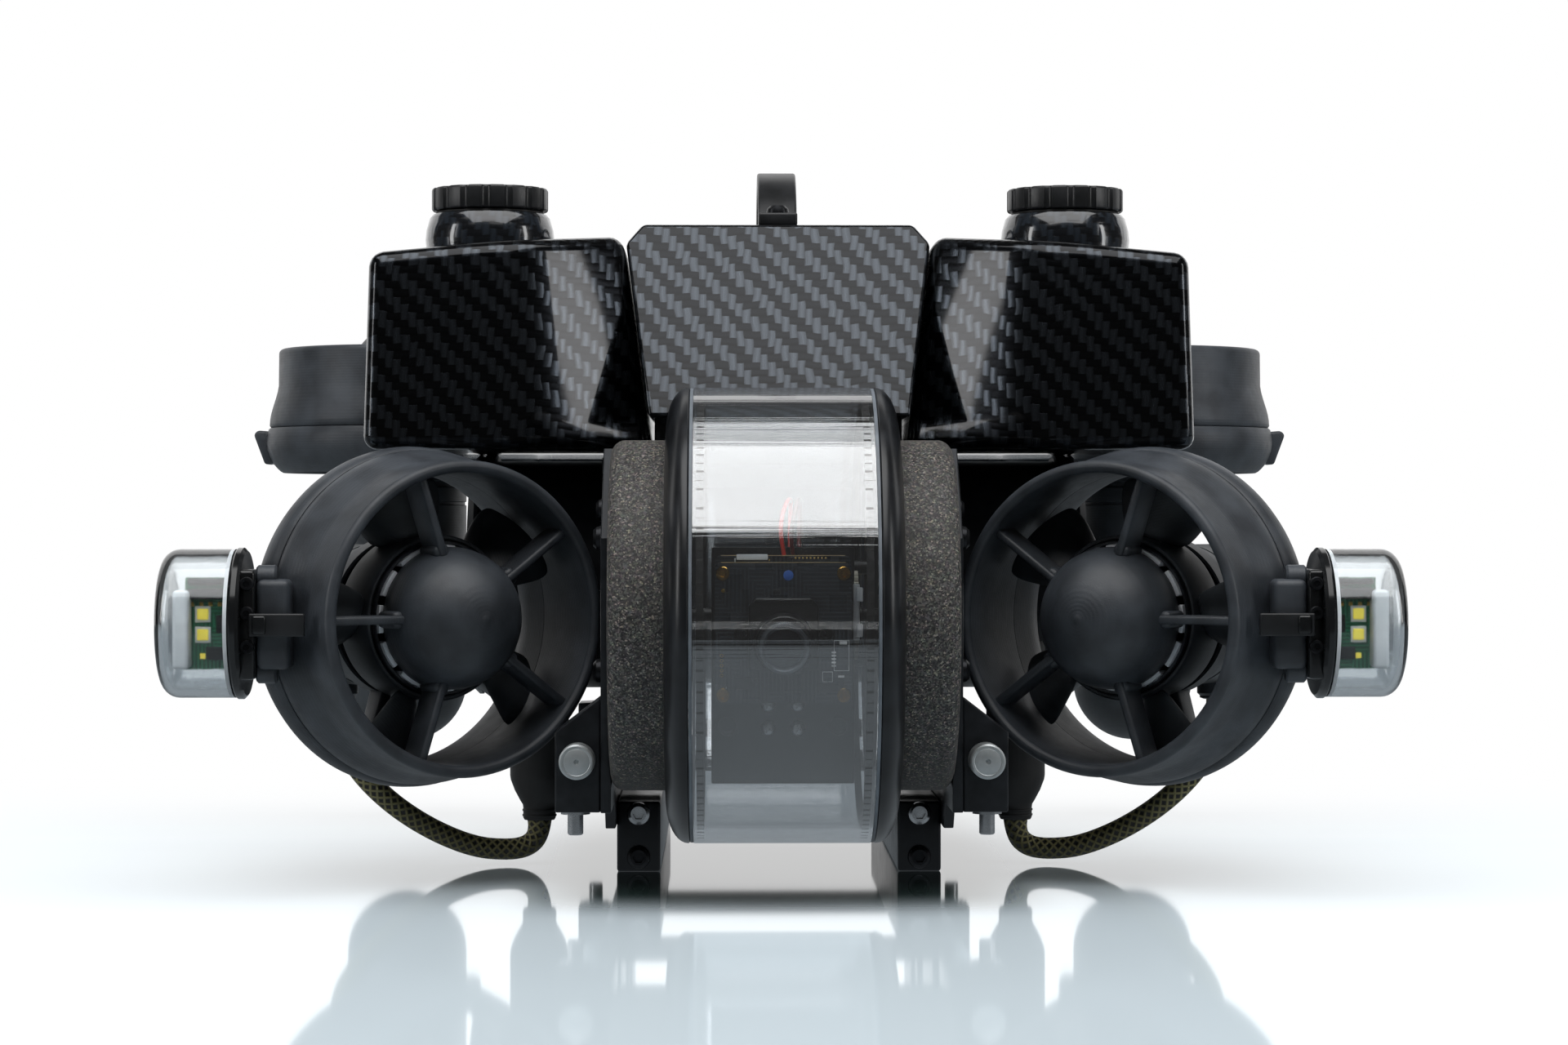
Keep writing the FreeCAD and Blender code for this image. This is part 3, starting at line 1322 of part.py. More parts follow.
def thruster_arms():
    """Four arms from the side plates to the mounting pads of the thrusters."""
    arms = []
    middle = "(pad_start + pad_end) / 2"
    half = "(pad_end - pad_start) / 2"
    turn_cos = "cos(toe_in_angle)"
    turn_sin = "sin(toe_in_angle)"
    pad_x = "(front_thruster_spread + %s * %s - pad_reach * %s)" % (middle, turn_sin, turn_cos)
    pad_y = "(%s * %s + pad_reach * %s - front_thruster_ahead)" % (middle, turn_cos, turn_sin)
    for side in (-1, 1):
        front = new_body("front_arm")
        sketch = outline(front, "XY_Plane", mirror_corners([
            (PLATE_OUTER, pad_y + " - arm_root / 2"),
            ("%s - %s * %s" % (pad_x, half, turn_sin), "%s - %s * %s" % (pad_y, half, turn_cos)),
            ("%s + %s * %s" % (pad_x, half, turn_sin), "%s + %s * %s" % (pad_y, half, turn_cos)),
            (PLATE_OUTER, pad_y + " + arm_root / 2")], side))
        raise_sketch(sketch, "front_thruster_height")
        push(front, sketch, "arm_height", both_ways=True)
        arms.append(hull_place(front))
        rear = new_body("rear_arm")
        sketch = outline(rear, "XY_Plane", mirror_corners([
            (PLATE_OUTER, "lift_thruster_back - pad_width / 2 - 3"),
            ("lift_thruster_spread - pad_reach", "lift_thruster_back - pad_width / 2"),
            ("lift_thruster_spread - pad_reach", "lift_thruster_back + pad_width / 2"),
            (PLATE_OUTER, "lift_thruster_back + pad_width / 2 + 3")], side))
        raise_sketch(sketch, "lift_thruster_top - pad_end")
        push(rear, sketch, "pad_end - pad_start")
        arms.append(hull_place(rear))
    gather(arms, "thruster_arms")


def electronics_housing():
    """Sealed tube across the frame with a screwed cap at each end."""
    body = new_body("housing")
    end = "(housing_half_length + housing_cap_length)"
    corners = [
        ("0 - " + end, "0"),
        ("0 - " + end, "housing_cap_radius - 2"),
        ("0 - %s + 2" % end, "housing_cap_radius"),
        ("0 - housing_half_length", "housing_cap_radius"),
        ("0 - housing_half_length", "housing_radius"),
        ("housing_half_length", "housing_radius"),
        ("housing_half_length", "housing_cap_radius"),
        (end + " - 2", "housing_cap_radius"),
        (end, "housing_cap_radius - 2"),
        (end, "0")]
    revolve(body, corners, axis="H_Axis")
    port = ("0", "tether_port_rise")
    round_pad(body, "XZ_Plane", [port + ("tether_port_boss",)],
              "housing_radius + tether_port_reach", reverse=True)
    drop = "0 - plug_boss_drop"
    round_pad(body, "XZ_Plane", [("0 - plug_spread", drop, "plug_boss_radius"),
                                 ("plug_spread", drop, "plug_boss_radius")],
              "plug_boss_reach")
    bore = circles(body, "XZ_Plane", [port + ("tether_port_bore",)])
    raise_sketch(bore, "0 - housing_radius - tether_port_reach")
    push(body, bore, "tether_port_depth", kind="Pocket", reverse=True)
    place(node(body, "electronics_housing"), "0", back("housing_back"), "housing_height")


def skids():
    """Two runners under the plates, with threaded holes for a payload skid."""
    runners = []
    for side in (-1, 1):
        body = new_body("runner")
        sketch = outline(body, "YZ_Plane", [
            ("skid_front", "0"),
            ("skid_rear - skid_nose", "0"),
            ("skid_rear", "skid_nose"),
            ("skid_rear", "skid_height"),
            ("skid_front", "skid_height")])
        start = "skid_inner" if side > 0 else "0 - " + PLATE_INNER
        push(body, raise_sketch(sketch, start), PLATE_INNER + " - skid_inner")
        middle = "%d * (skid_inner + %s) / 2" % (side, PLATE_INNER)
        round_pad(body, "XY_Plane", [(middle, "skid_hole_front", "skid_hole_radius"),
                                     (middle, "skid_hole_rear", "skid_hole_radius")],
                  "skid_hole_depth", kind="Pocket", reverse=True)
        runners.append(hull_place(body))
    gather(runners, "skid_runners")


def payload_rails():
    """Rods in split clamp blocks; the front blocks carry a small gusset."""
    blocks = []
    rods = []
    for side in (-1, 1):
        for start, gusset in (("0 - block_front", True), ("rear_block_back", False)):
            body = new_body("clamp_block")
            start = "(%s)" % start
            corners = [
                (PLATE_OUTER, "block_bottom"),
                (PLATE_OUTER + " + block_width", "block_bottom"),
                (PLATE_OUTER + " + block_width", "block_top"),
                (PLATE_OUTER, "block_top + gusset_height" if gusset else "block_top + 0.5")]
            sketch = outline(body, "XZ_Plane", mirror_corners(corners, side))
            push(body, raise_sketch(sketch, "0 - " + start), "block_length", reverse=True)
            bore = circles(body, "XZ_Plane", [("%d * rod_spread" % side, "rod_height",
                                               "rod_radius + pin_clearance")])
            push(body, raise_sketch(bore, "0 - " + start), "block_length * 3", kind="Pocket",
                 both_ways=True)
            slit = outline(body, "XZ_Plane", mirror_corners([
                ("rod_spread - block_slit / 2", "block_bottom - 1"),
                ("rod_spread + block_slit / 2", "block_bottom - 1"),
                ("rod_spread + block_slit / 2", "rod_height"),
                ("rod_spread - block_slit / 2", "rod_height")], side))
            push(body, raise_sketch(slit, "0 - " + start), "block_length * 3", kind="Pocket",
                 both_ways=True)
            blocks.append(hull_place(body))
        rod = new_body("rod")
        revolve(rod, [
            ("0", "0 - rod_front"),
            ("rod_radius", "0 - rod_front"),
            ("rod_radius", "rod_groove_start - rod_front"),
            ("rod_radius - rod_groove_depth", "rod_groove_start - rod_front"),
            ("rod_radius - rod_groove_depth", "rod_groove_start + rod_groove_width - rod_front"),
            ("rod_radius", "rod_groove_start + rod_groove_width - rod_front"),
            ("rod_radius", "rod_rear"),
            ("0", "rod_rear")], plane="XY_Plane")
        rods.append(place(rod, "%d * rod_spread" % side, DRUM_Y, "rod_height"))
    gather(blocks, "clamp_blocks")
    gather(rods, "payload_rods")


# ------------------------------------------------------- connectors and cables

def connectors():
    """Moulded right-angle plugs that hang from the electronics housing."""
    plugs = []
    for side in (-1, 1):
        body = new_body("plug")
        revolve(body, [
            ("0", PLUG_BARREL + " + plug_crown"),
            ("plug_radius - 2", PLUG_BARREL + " + plug_crown"),
            ("plug_radius", PLUG_BARREL + " + plug_crown - 2"),
            ("plug_radius", "plug_shoulder"),
            ("plug_tail_radius", "plug_tail_top"),
            ("plug_tail_radius", "plug_end"),
            ("0", "plug_end")])
        pad(body, "XZ_Plane", [
            ("0 - plug_barrel_half", PLUG_BARREL + " - plug_barrel_half"),
            ("plug_barrel_half", PLUG_BARREL + " - plug_barrel_half"),
            ("plug_barrel_half", PLUG_BARREL + " + plug_barrel_half"),
            ("0 - plug_barrel_half", PLUG_BARREL + " + plug_barrel_half")],
            "housing_back - plug_back - plug_boss_reach", reverse=True)
        plugs.append(place(body, "%d * plug_spread" % side, back("plug_back"), "0"))
    gather(plugs, "thruster_connectors")


# The route of the thruster cable on the right, from its plug to the gland under the pod:
# X from the middle, Y from the drum axis, Z from the floor. The left one mirrors it.
CABLE_ROUTE = (
    (73, 72, 13.5), (73, 72, 9.0), (76.6, 71.8, 5.2), (83, 71, 4.3), (93, 69, 5.4),
    (106, 65.5, 11.2), (118, 61, 19.8), (127.5, 58.5, 30), (132.9, 58.8, 40.4),
    (133.2, 59.3, 51),
)


def cord_path(points):
    """Straight runs joined by arcs as large as the runs allow."""
    arc_share = 0.45
    edges = []
    last = points[0]
    radii = []
    for before, corner, after in zip(points, points[1:], points[2:]):
        into = (corner - before).normalize()
        out = (after - corner).normalize()
        turn = into.getAngle(out)
        reach = arc_share * min((corner - before).Length, (after - corner).Length)
        radius = reach / math.tan(turn / 2)
        radii.append(round(radius, 1))
        start = corner - into * reach
        end = corner + out * reach
        inward = (out - into).normalize()
        crown = corner + inward * (radius / math.cos(turn / 2) - radius)
        edges.append(Part.LineSegment(last, start).toShape())
        edges.append(Part.Arc(start, crown, end).toShape())
        last = end
    edges.append(Part.LineSegment(last, points[-1]).toShape())
    return Part.Wire(edges), radii


def thruster_cables():
    """Braided cables from the plugs up to the front thruster pods."""
    for side, side_name in ((-1, "left"), (1, "right")):
        points = [FreeCAD.Vector(side * x, y, z) for x, y, z in CABLE_ROUTE]
        path, radii = cord_path(points)
        ring = Part.Circle(points[0], points[1] - points[0], value("cable_radius"))
        tube = path.makePipeShell([Part.Wire([ring.toShape()])], True, False)
        cable = doc.addObject("Part::Feature", "cable")
        cable.Shape = tube
        hull_place(node(cable, "thruster_cable_" + side_name))
        section = math.pi * value("cable_radius") ** 2
        print("cable", side_name, "length", round(path.Length, 1), "arc radii", radii,
              "volume ratio", round(tube.Volume / (section * path.Length), 4))


# ---------------------------------------------------------------- fasteners

def screw(x, y, z, turn=("0", "0", "0")):
    """A screw head that stands along the turned Z."""
    return place(cylinder("bolt_head_radius", "bolt_head_height"), x, y, z, turn)


def fasteners():
    """Screws and washers of the frame, the clamps, the handle and the hubs."""
    pieces = []
    runner_middle = "(skid_inner + %s) / 2" % PLATE_INNER
    for side in (-1, 1):
        for height in ("skid_height - 3.6", "4.4"):
            pieces.append(screw("%d * %s" % (side, runner_middle), back("skid_front"),
                                height, ("0", "0", "90")))
        for start in ("0 - block_front", "rear_block_back"):
            at = ("%d * (rod_spread + 1)" % side, back(start + " + block_length / 2"))
            washer = cylinder("washer_radius", "washer_thickness")
            pieces.append(place(washer, *at, "block_bottom - washer_thickness"))
            stud = cylinder("clamp_bolt_radius", "clamp_bolt_length")
            pieces.append(place(stud, *at,
                                "block_bottom - washer_thickness - clamp_bolt_length"))
        outward = ("0", "90", "0") if side > 0 else ("0", "-90", "0")
        face = "%d * %s" % (side, PLATE_OUTER)
        for along_y, height in BARS:
            pieces.append(screw(face, back(along_y), height, outward))
        for along_y, height in (("2", "drum_height + 22"), ("2", "drum_height - 16"),
                                ("24", "drum_height + 30")):
            pieces.append(screw(face, back(along_y), height, outward))
    for foot in ("handle_foot / 2", "handle_foot * 1.5 + handle_span"):
        pieces.append(screw("0", back("handle_front + " + foot),
                            "centre_hull_top + handle_foot_height"))
    gather(pieces, "frame_fasteners")


def frame():
    for side, side_name in ((-1, "left"), (1, "right")):
        hull_place(node(side_plate(side), "side_plate_" + side_name))
    spacer_bars()
    thruster_arms()
    electronics_housing()
    skids()
    payload_rails()
    connectors()
    thruster_cables()
    fasteners()


def check():
    """Stop if a feature failed or a sub-part is not a sound solid."""
    for item in doc.Objects:
        if "Invalid" in item.State or "Error" in item.State:
            raise RuntimeError("%s (%s) failed" % (item.Label, item.Name))
    for label, item in nodes.items():
        if item.Shape.isNull() or not item.Shape.isValid() or not item.Shape.Solids:
            raise RuntimeError(label + " is not a sound solid")


def export():
    os.makedirs("parts", exist_ok=True)
    for label, item in nodes.items():
        item.Shape.exportStep(os.path.join("parts", label + ".step"))
    print(len(nodes), "nodes written")


thrusters()
drum()
camera()
lamps()
hulls()
frame()
doc.recompute()
check()
export()
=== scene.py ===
"""Underwater inspection ROV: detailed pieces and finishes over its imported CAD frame."""

import logging
import math
from collections.abc import Iterable, Sequence
from dataclasses import dataclass, field
from enum import Enum
from typing import Any

import bpy
from bpy.types import Material, NodeTree, Object, ShaderNode
from mathutils import Matrix, Vector

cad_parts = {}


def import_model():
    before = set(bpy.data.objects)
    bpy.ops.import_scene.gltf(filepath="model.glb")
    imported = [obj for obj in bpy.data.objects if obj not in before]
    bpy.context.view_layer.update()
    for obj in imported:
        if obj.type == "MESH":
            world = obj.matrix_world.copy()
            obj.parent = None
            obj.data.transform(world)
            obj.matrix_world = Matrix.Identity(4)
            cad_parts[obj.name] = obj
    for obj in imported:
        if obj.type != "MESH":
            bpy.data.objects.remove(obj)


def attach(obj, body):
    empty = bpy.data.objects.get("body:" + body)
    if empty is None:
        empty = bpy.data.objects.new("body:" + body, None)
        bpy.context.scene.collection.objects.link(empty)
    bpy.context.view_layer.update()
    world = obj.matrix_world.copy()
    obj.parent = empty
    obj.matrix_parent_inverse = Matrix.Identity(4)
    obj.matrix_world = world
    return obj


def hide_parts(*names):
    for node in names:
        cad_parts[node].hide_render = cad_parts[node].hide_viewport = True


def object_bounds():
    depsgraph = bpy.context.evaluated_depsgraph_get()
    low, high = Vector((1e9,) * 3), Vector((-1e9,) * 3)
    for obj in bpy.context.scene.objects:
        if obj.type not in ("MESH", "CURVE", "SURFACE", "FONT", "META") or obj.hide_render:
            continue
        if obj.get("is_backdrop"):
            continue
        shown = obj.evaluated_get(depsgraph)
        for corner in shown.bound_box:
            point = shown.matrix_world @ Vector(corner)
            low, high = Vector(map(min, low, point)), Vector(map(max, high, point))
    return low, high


log = logging.getLogger("rov")

Flat = tuple[float, float]
Point = tuple[float, float, float]

MM = 0.001
COAT_ROUGHNESS = 0.06
MAP_RADIUS = 0.04  # where the x of a turned map is true to size, in metres
DRUM_Y = -116.85  # tilt axis of the camera, in millimetres from the origin
DRUM_Z = 78.0
TANK_X = 88.0  # filler neck of a side hull, from the middle
TANK_Y = DRUM_Y + 70.0
PLUG_X = 73.0  # hanging plugs, from the middle
PLUG_Y = 72.0  # and behind the drum's axis
SIDES = (("left", -1), ("right", 1))


class Axis(Enum):
    """A main direction that a piece is turned about or pushed along."""

    X = (1, 0, 0)
    Y = (0, 1, 0)
    Z = (0, 0, 1)


# ------------------------------------------------------------------ shading


def linear(colour: str) -> tuple[float, float, float, float]:
    """Turn an sRGB colour into the linear one that a shader takes.

    Args:
        colour: The colour as "#rrggbb".

    Returns:
        Red, green, blue and an alpha of one.
    """
    parts = [int(colour[start:start + 2], 16) / 255 for start in (1, 3, 5)]
    red, green, blue = (part / 12.92 if part <= 0.04045 else ((part + 0.055) / 1.055) ** 2.4
                        for part in parts)
    return red, green, blue, 1.0


def feed(tree: NodeTree, node: ShaderNode, inputs: dict[Any, Any]) -> None:
    """Set or link inputs of a node.

    Args:
        tree: The node's tree.
        node: The node to feed.
        inputs: A value or an output socket for each named or numbered input.
    """
    for name, given in inputs.items():
        if isinstance(given, bpy.types.NodeSocket):
            tree.links.new(given, node.inputs[name])
        else:
            node.inputs[name].default_value = given


def add(tree: NodeTree, kind: str, inputs: dict[Any, Any] | None = None,
        **settings: Any) -> ShaderNode:
    """Add a node with its settings, values and incoming links.

    Args:
        tree: The node tree that it joins.
        kind: The node's type, without the ShaderNode prefix.
        inputs: A value or an output socket for each named or numbered input.
        **settings: The node's own properties.

    Returns:
        The new node.
    """
    node = tree.nodes.new("ShaderNode" + kind)
    for name, setting in settings.items():
        setattr(node, name, setting)
    feed(tree, node, inputs or {})
    return node


def compute(tree: NodeTree, operation: str, *values: Any, kind: str = "Math") -> Any:
    """Add a step of arithmetic on values or outputs.

    Args:
        tree: The node tree that it joins.
        operation: What is done to the values.
        *values: The values or outputs, in the order of the node's inputs.
        kind: Math, or VectorMath for vectors.

    Returns:
        The result's output.
    """
    return add(tree, kind, dict(enumerate(values)), operation=operation).outputs[0]


def wave(tree: NodeTree, along: Any, turns: float) -> Any:
    """A sine wave that makes so many turns per unit of a coordinate."""
    return compute(tree, "SINE", compute(tree, "MULTIPLY", along, turns * 2 * math.pi))


def per_metre(size_mm: float) -> float:
    """Scale of a pattern whose features are this many millimetres wide."""
    return 1000.0 / size_mm


@dataclass(frozen=True)
class Finish:
    """A plain surface: the base that the other finishes build on.

    Attributes:
        name: The material's name.
        colour: Main colour, sRGB.
        second: Colour of the cloudy variation, sRGB.
        roughness: Mean roughness.
        metallic: One for a bare metal.
        grain: Width of the surface's grain in millimetres.
        relief: Depth of the grain in millimetres.
        spread: How much the roughness varies about its mean.
        coat: Weight of a clear coat.
    """

    name: str
    colour: str
    second: str
    roughness: float
    metallic: float = 0.0
    grain: float = 0.8
    relief: float = 0.02
    spread: float = 0.1
    coat: float = 0.0

    def material(self) -> Material:
        """Make the material, or find it if it is made.

        Returns:
            The material with its nodes.
        """
        found = bpy.data.materials.get(self.name)
        if found:
            return found
        made = bpy.data.materials.new(self.name)
        made.use_nodes = True
        made.diffuse_color = linear(self.colour)
        tree = made.node_tree
        shader = tree.nodes["Principled BSDF"]
        feed(tree, shader, {"Metallic": self.metallic, "Coat Weight": self.coat,
                            "Coat Roughness": COAT_ROUGHNESS})
        self.weave(tree, shader, self.place(tree))
        return made

    def place(self, tree: NodeTree) -> Any:
        """The coordinates that the pattern reads.

        Args:
            tree: The material's nodes.

        Returns:
            A vector output in metres.
        """
        return add(tree, "TexCoord").outputs["Object"]

    def weave(self, tree: NodeTree, shader: ShaderNode, place: Any) -> None:
        """Lay clouds of colour, varied roughness and a fine grain.

        Args:
            tree: The material's nodes.
            shader: The principled shader to feed.
            place: The coordinates to read.
        """
        cloud = self.noise(tree, place, self.grain * 14, 4)
        fine = self.noise(tree, place, self.grain, 3)
        self.tint(tree, shader, cloud.outputs["Fac"])
        self.vary(tree, shader, cloud.outputs["Fac"])
        self.emboss(tree, shader, fine.outputs["Fac"])

    def noise(self, tree: NodeTree, place: Any, size: float, detail: float) -> ShaderNode:
        """A cloudy pattern.

        Args:
            tree: The material's nodes.
            place: The coordinates to read.
            size: Width of its features in millimetres.
            detail: Octaves of finer noise.

        Returns:
            The noise node.
        """
        return add(tree, "TexNoise", {"Vector": place, "Scale": per_metre(size), "Detail": detail})

    def tint(self, tree: NodeTree, shader: ShaderNode, share: Any) -> None:
        """Mix the two colours by a share and feed the base colour.

        Args:
            tree: The material's nodes.
            shader: The principled shader to feed.
            share: Output that runs from the main colour to the second.
        """
        ramp = add(tree, "ValToRGB", {"Fac": share})
        stops = ((0.35, self.colour), (0.68, self.second))
        for element, (position, shade) in zip(ramp.color_ramp.elements, stops):
            element.position = position
            element.color = linear(shade)
        feed(tree, shader, {"Base Color": ramp.outputs["Color"]})

    def vary(self, tree: NodeTree, shader: ShaderNode, share: Any) -> None:
        """Vary the roughness about its mean by a share.

        Args:
            tree: The material's nodes.
            shader: The principled shader to feed.
            share: Output between zero and one.
        """
        span = add(tree, "MapRange", {
            "Value": share, "To Min": max(self.roughness - self.spread, 0.02),
            "To Max": min(self.roughness + self.spread, 1.0)})
        feed(tree, shader, {"Roughness": span.outputs["Result"]})

    def emboss(self, tree: NodeTree, shader: ShaderNode, height: Any,
               face: str = "Normal") -> None:
        """Raise the surface, or its coat, by a height pattern as deep as the relief.

        Args:
            tree: The material's nodes.
            shader: The principled shader to feed.
            height: Output between zero and one.
            face: The shader's normal that is bent.
        """
        bump = add(tree, "Bump", {"Height": height, "Strength": 1.0,
                                  "Distance": self.relief * MM})
        feed(tree, shader, {face: bump.outputs["Normal"]})


@dataclass(frozen=True)
class TwillCarbon(Finish):
    """Carbon-fibre twill under a clear coat: crossing tows, with a painted sheen on those that run
    over.

    Reads a map named weave, whose unit is one metre of cloth.

    Attributes:
        tow: Width of a tow in millimetres.
        stray: How far the tows wander off their lines, in millimetres.
        wander: Length over which they wander, in millimetres.
    """

    tow: float = 2.0
    stray: float = 2.5
    wander: float = 9.0

    def place(self, tree: NodeTree) -> Any:
        """The cloth's own map."""
        return add(tree, "UVMap", uv_map="weave").outputs["UV"]

    def weave(self, tree: NodeTree, shader: ShaderNode, place: Any) -> None:
        """Lay a two-over-two twill with rounded tows and fine fibres, a painted sheen on the tows
        that run over and painted shade at each tow's edges.

        Args:
            tree: The material's nodes.
            shader: The principled shader to feed.
            place: The cloth's coordinates in metres.
        """
        drift = self.noise(tree, place, self.wander, 1.0)
        strayed = compute(tree, "MULTIPLY_ADD", drift.outputs["Color"], (self.stray * MM,) * 3,
                          place, kind="VectorMath")
        scaled = compute(tree, "MULTIPLY", strayed, (per_metre(self.tow),) * 3,
                         kind="VectorMath")
        across = add(tree, "SeparateXYZ", {0: scaled})
        cells = []
        humps = []
        for way in ("X", "Y"):
            cells.append(compute(tree, "FLOOR", across.outputs[way]))
            part = compute(tree, "FRACT", across.outputs[way])
            humps.append(compute(tree, "SINE", compute(tree, "MULTIPLY", part, math.pi)))
        # A tow goes over two others and under two, one step later in each row.
        step = compute(tree, "FLOORED_MODULO", compute(tree, "ADD", *cells), 4.0)
        over = compute(tree, "LESS_THAN", step, 1.5)
        hump = add(tree, "Mix", {"Factor": over, 2: humps[1], 3: humps[0]}).outputs[0]
        fibres = []
        for stretch in ((40.0, 1.0, 1.0), (1.0, 40.0, 1.0)):
            long_way = compute(tree, "MULTIPLY", scaled, stretch, kind="VectorMath")
            fibres.append(add(tree, "TexNoise", {
                "Vector": long_way, "Scale": 0.35, "Detail": 2.0}).outputs["Fac"])
        fibre = add(tree, "Mix", {"Factor": over, 2: fibres[1], 3: fibres[0]}).outputs[0]
        # Painted sheen: the tows that run over take the lighter second colour, which stands in for
        # the light their fibres catch.
        painted_tow_sheen = add(tree, "Mix", {"Factor": over, 6: linear(self.colour), 7: linear(self.second)},
                   data_type="RGBA")
        streaks = add(tree, "MapRange", {"Value": fibre, "To Min": 0.55, "To Max": 1.3})
        lit = add(tree, "Mix", {"Factor": 1.0, 6: painted_tow_sheen.outputs[2], 7: streaks.outputs[0]},
                  data_type="RGBA", blend_type="MULTIPLY")
        # Painted shade: each tow darkens towards its edges, as if only its rounded crown caught the
        # light.
        shaded = add(tree, "Mix", {"Factor": 0.5, 6: lit.outputs[2], 7: hump},
                     data_type="RGBA", blend_type="MULTIPLY")
        feed(tree, shader, {"Base Color": shaded.outputs[2]})
        self.vary(tree, shader, fibre)
        self.emboss(tree, shader, hump)


@dataclass(frozen=True)
class SpeckledCoating(Finish):
    """Rough sprayed coating: a dark ground with pale and black grains."""

    def weave(self, tree: NodeTree, shader: ShaderNode, place: Any) -> None:
        """Scatter grains of three tones that stand out of the ground.

        Args:
            tree: The material's nodes.
            shader: The principled shader to feed.
            place: The coordinates to read.
        """
        grains = add(tree, "TexVoronoi", {
            "Vector": place, "Scale": per_metre(self.grain), "Randomness": 1.0})
        tone = add(tree, "SeparateColor", {0: grains.outputs["Color"]}).outputs[0]
        ramp = add(tree, "ValToRGB", {"Fac": tone})
        ramp.color_ramp.interpolation = "CONSTANT"
        tones = ((0.0, "#161616"), (0.24, self.colour), (0.6, self.second), (0.93, "#6b665e"))
        for position, _ in tones[len(ramp.color_ramp.elements):]:
            ramp.color_ramp.elements.new(position)
        for element, (position, shade) in zip(ramp.color_ramp.elements, tones):
            element.position = position
            element.color = linear(shade)
        cloud = self.noise(tree, place, self.grain * 3, 3)
        mixed = add(tree, "Mix", {"Factor": 0.35, 6: ramp.outputs["Color"],
                                  7: cloud.outputs["Color"]},
                    data_type="RGBA", blend_type="SOFT_LIGHT")
        feed(tree, shader, {"Base Color": mixed.outputs[2]})
        self.vary(tree, shader, tone)
        self.emboss(tree, shader, tone)


@dataclass(frozen=True)
class LayeredNylon(Finish):
    """Sintered black nylon: satin, slightly chalky, with faint layers around the duct.

    Reads a map named turned: x runs round the duct and y along it, in metres.

    Attributes:
        layer: Height of a build layer in millimetres, drawn coarse enough to show.
        ridge: Height of the layers as a share of the grain's.
    """

    layer: float = 0.9
    ridge: float = 0.22

    def weave(self, tree: NodeTree, shader: ShaderNode, place: Any) -> None:
        """Lay clouds of colour, fine grain and faint layers.

        Args:
            tree: The material's nodes.
            shader: The principled shader to feed.
            place: The coordinates to read.
        """
        cloud = self.noise(tree, place, self.grain * 22, 5)
        fine = self.noise(tree, place, self.grain, 4)
        rubbed = self.noise(tree, place, self.grain * 6, 6)
        self.tint(tree, shader, cloud.outputs["Fac"])
        self.vary(tree, shader, rubbed.outputs["Fac"])
        turned = add(tree, "UVMap", uv_map="turned").outputs["UV"]
        along = add(tree, "SeparateXYZ", {0: turned}).outputs["Y"]
        ridges = wave(tree, along, per_metre(self.layer))
        height = compute(tree, "MULTIPLY_ADD", ridges, self.ridge, fine.outputs["Fac"])
        self.emboss(tree, shader, height)


class Brush(Enum):
    """Which way a metal was brushed or turned."""

    ALONG_Y = (1.0, 0.02, 1.0)
    ALONG_X = (0.02, 1.0, 1.0)
    ROUND = (1.0, 1.0, 1.0)


@dataclass(frozen=True)
class BrushedMetal(Finish):
    """Bare metal with the fine lines of its brushing or turning.

    Attributes:
        brush: Direction of the lines.
    """

    brush: Brush = Brush.ALONG_Y

    def weave(self, tree: NodeTree, shader: ShaderNode, place: Any) -> None:
        """Draw long fine scratches and vary the roughness with them.

        Args:
            tree: The material's nodes.
            shader: The principled shader to feed.
            place: The coordinates to read.
        """
        stretched = compute(tree, "MULTIPLY", place, self.brush.value, kind="VectorMath")
        lines = self.noise(tree, stretched, self.grain, 3)
        cloud = self.noise(tree, place, self.grain * 20, 3)
        self.tint(tree, shader, cloud.outputs["Fac"])
        self.vary(tree, shader, lines.outputs["Fac"])
        self.emboss(tree, shader, lines.outputs["Fac"])


@dataclass(frozen=True)
class ClearPlastic(Finish):
    """Clear acrylic: bright reflections with the fine lines of its extrusion.

    Attributes:
        lines: Spacing of the drawn lines in millimetres; zero leaves them out.
        gloss: Refractive index that the bright outer reflection is drawn with.
        index: Refractive index that bends the light.
    """

    lines: float = 0.0
    gloss: float = 1.5
    index: float = 1.49

    def weave(self, tree: NodeTree, shader: ShaderNode, place: Any) -> None:
        """Make the shader clear and lay lines along the tube.

        Args:
            tree: The material's nodes.
            shader: The principled shader to feed.
            place: The coordinates to read.
        """
        feed(tree, shader, {"Base Color": linear(self.colour), "Transmission Weight": 1.0,
                            "IOR": self.index, "Roughness": self.roughness})
        if not self.lines:
            cloud = self.noise(tree, place, self.grain, 2)
            self.emboss(tree, shader, cloud.outputs["Fac"])
            return
        turned = add(tree, "UVMap", uv_map="turned").outputs["UV"]
        round_way = compute(tree, "MULTIPLY", turned, (1.0, 0.006, 1.0), kind="VectorMath")
        drawn = self.noise(tree, round_way, self.lines, 2.0)
        self.emboss(tree, shader, drawn.outputs["Fac"], "Coat Normal")
        feed(tree, shader, {"Coat Roughness": 0.02, "Coat IOR": self.gloss})


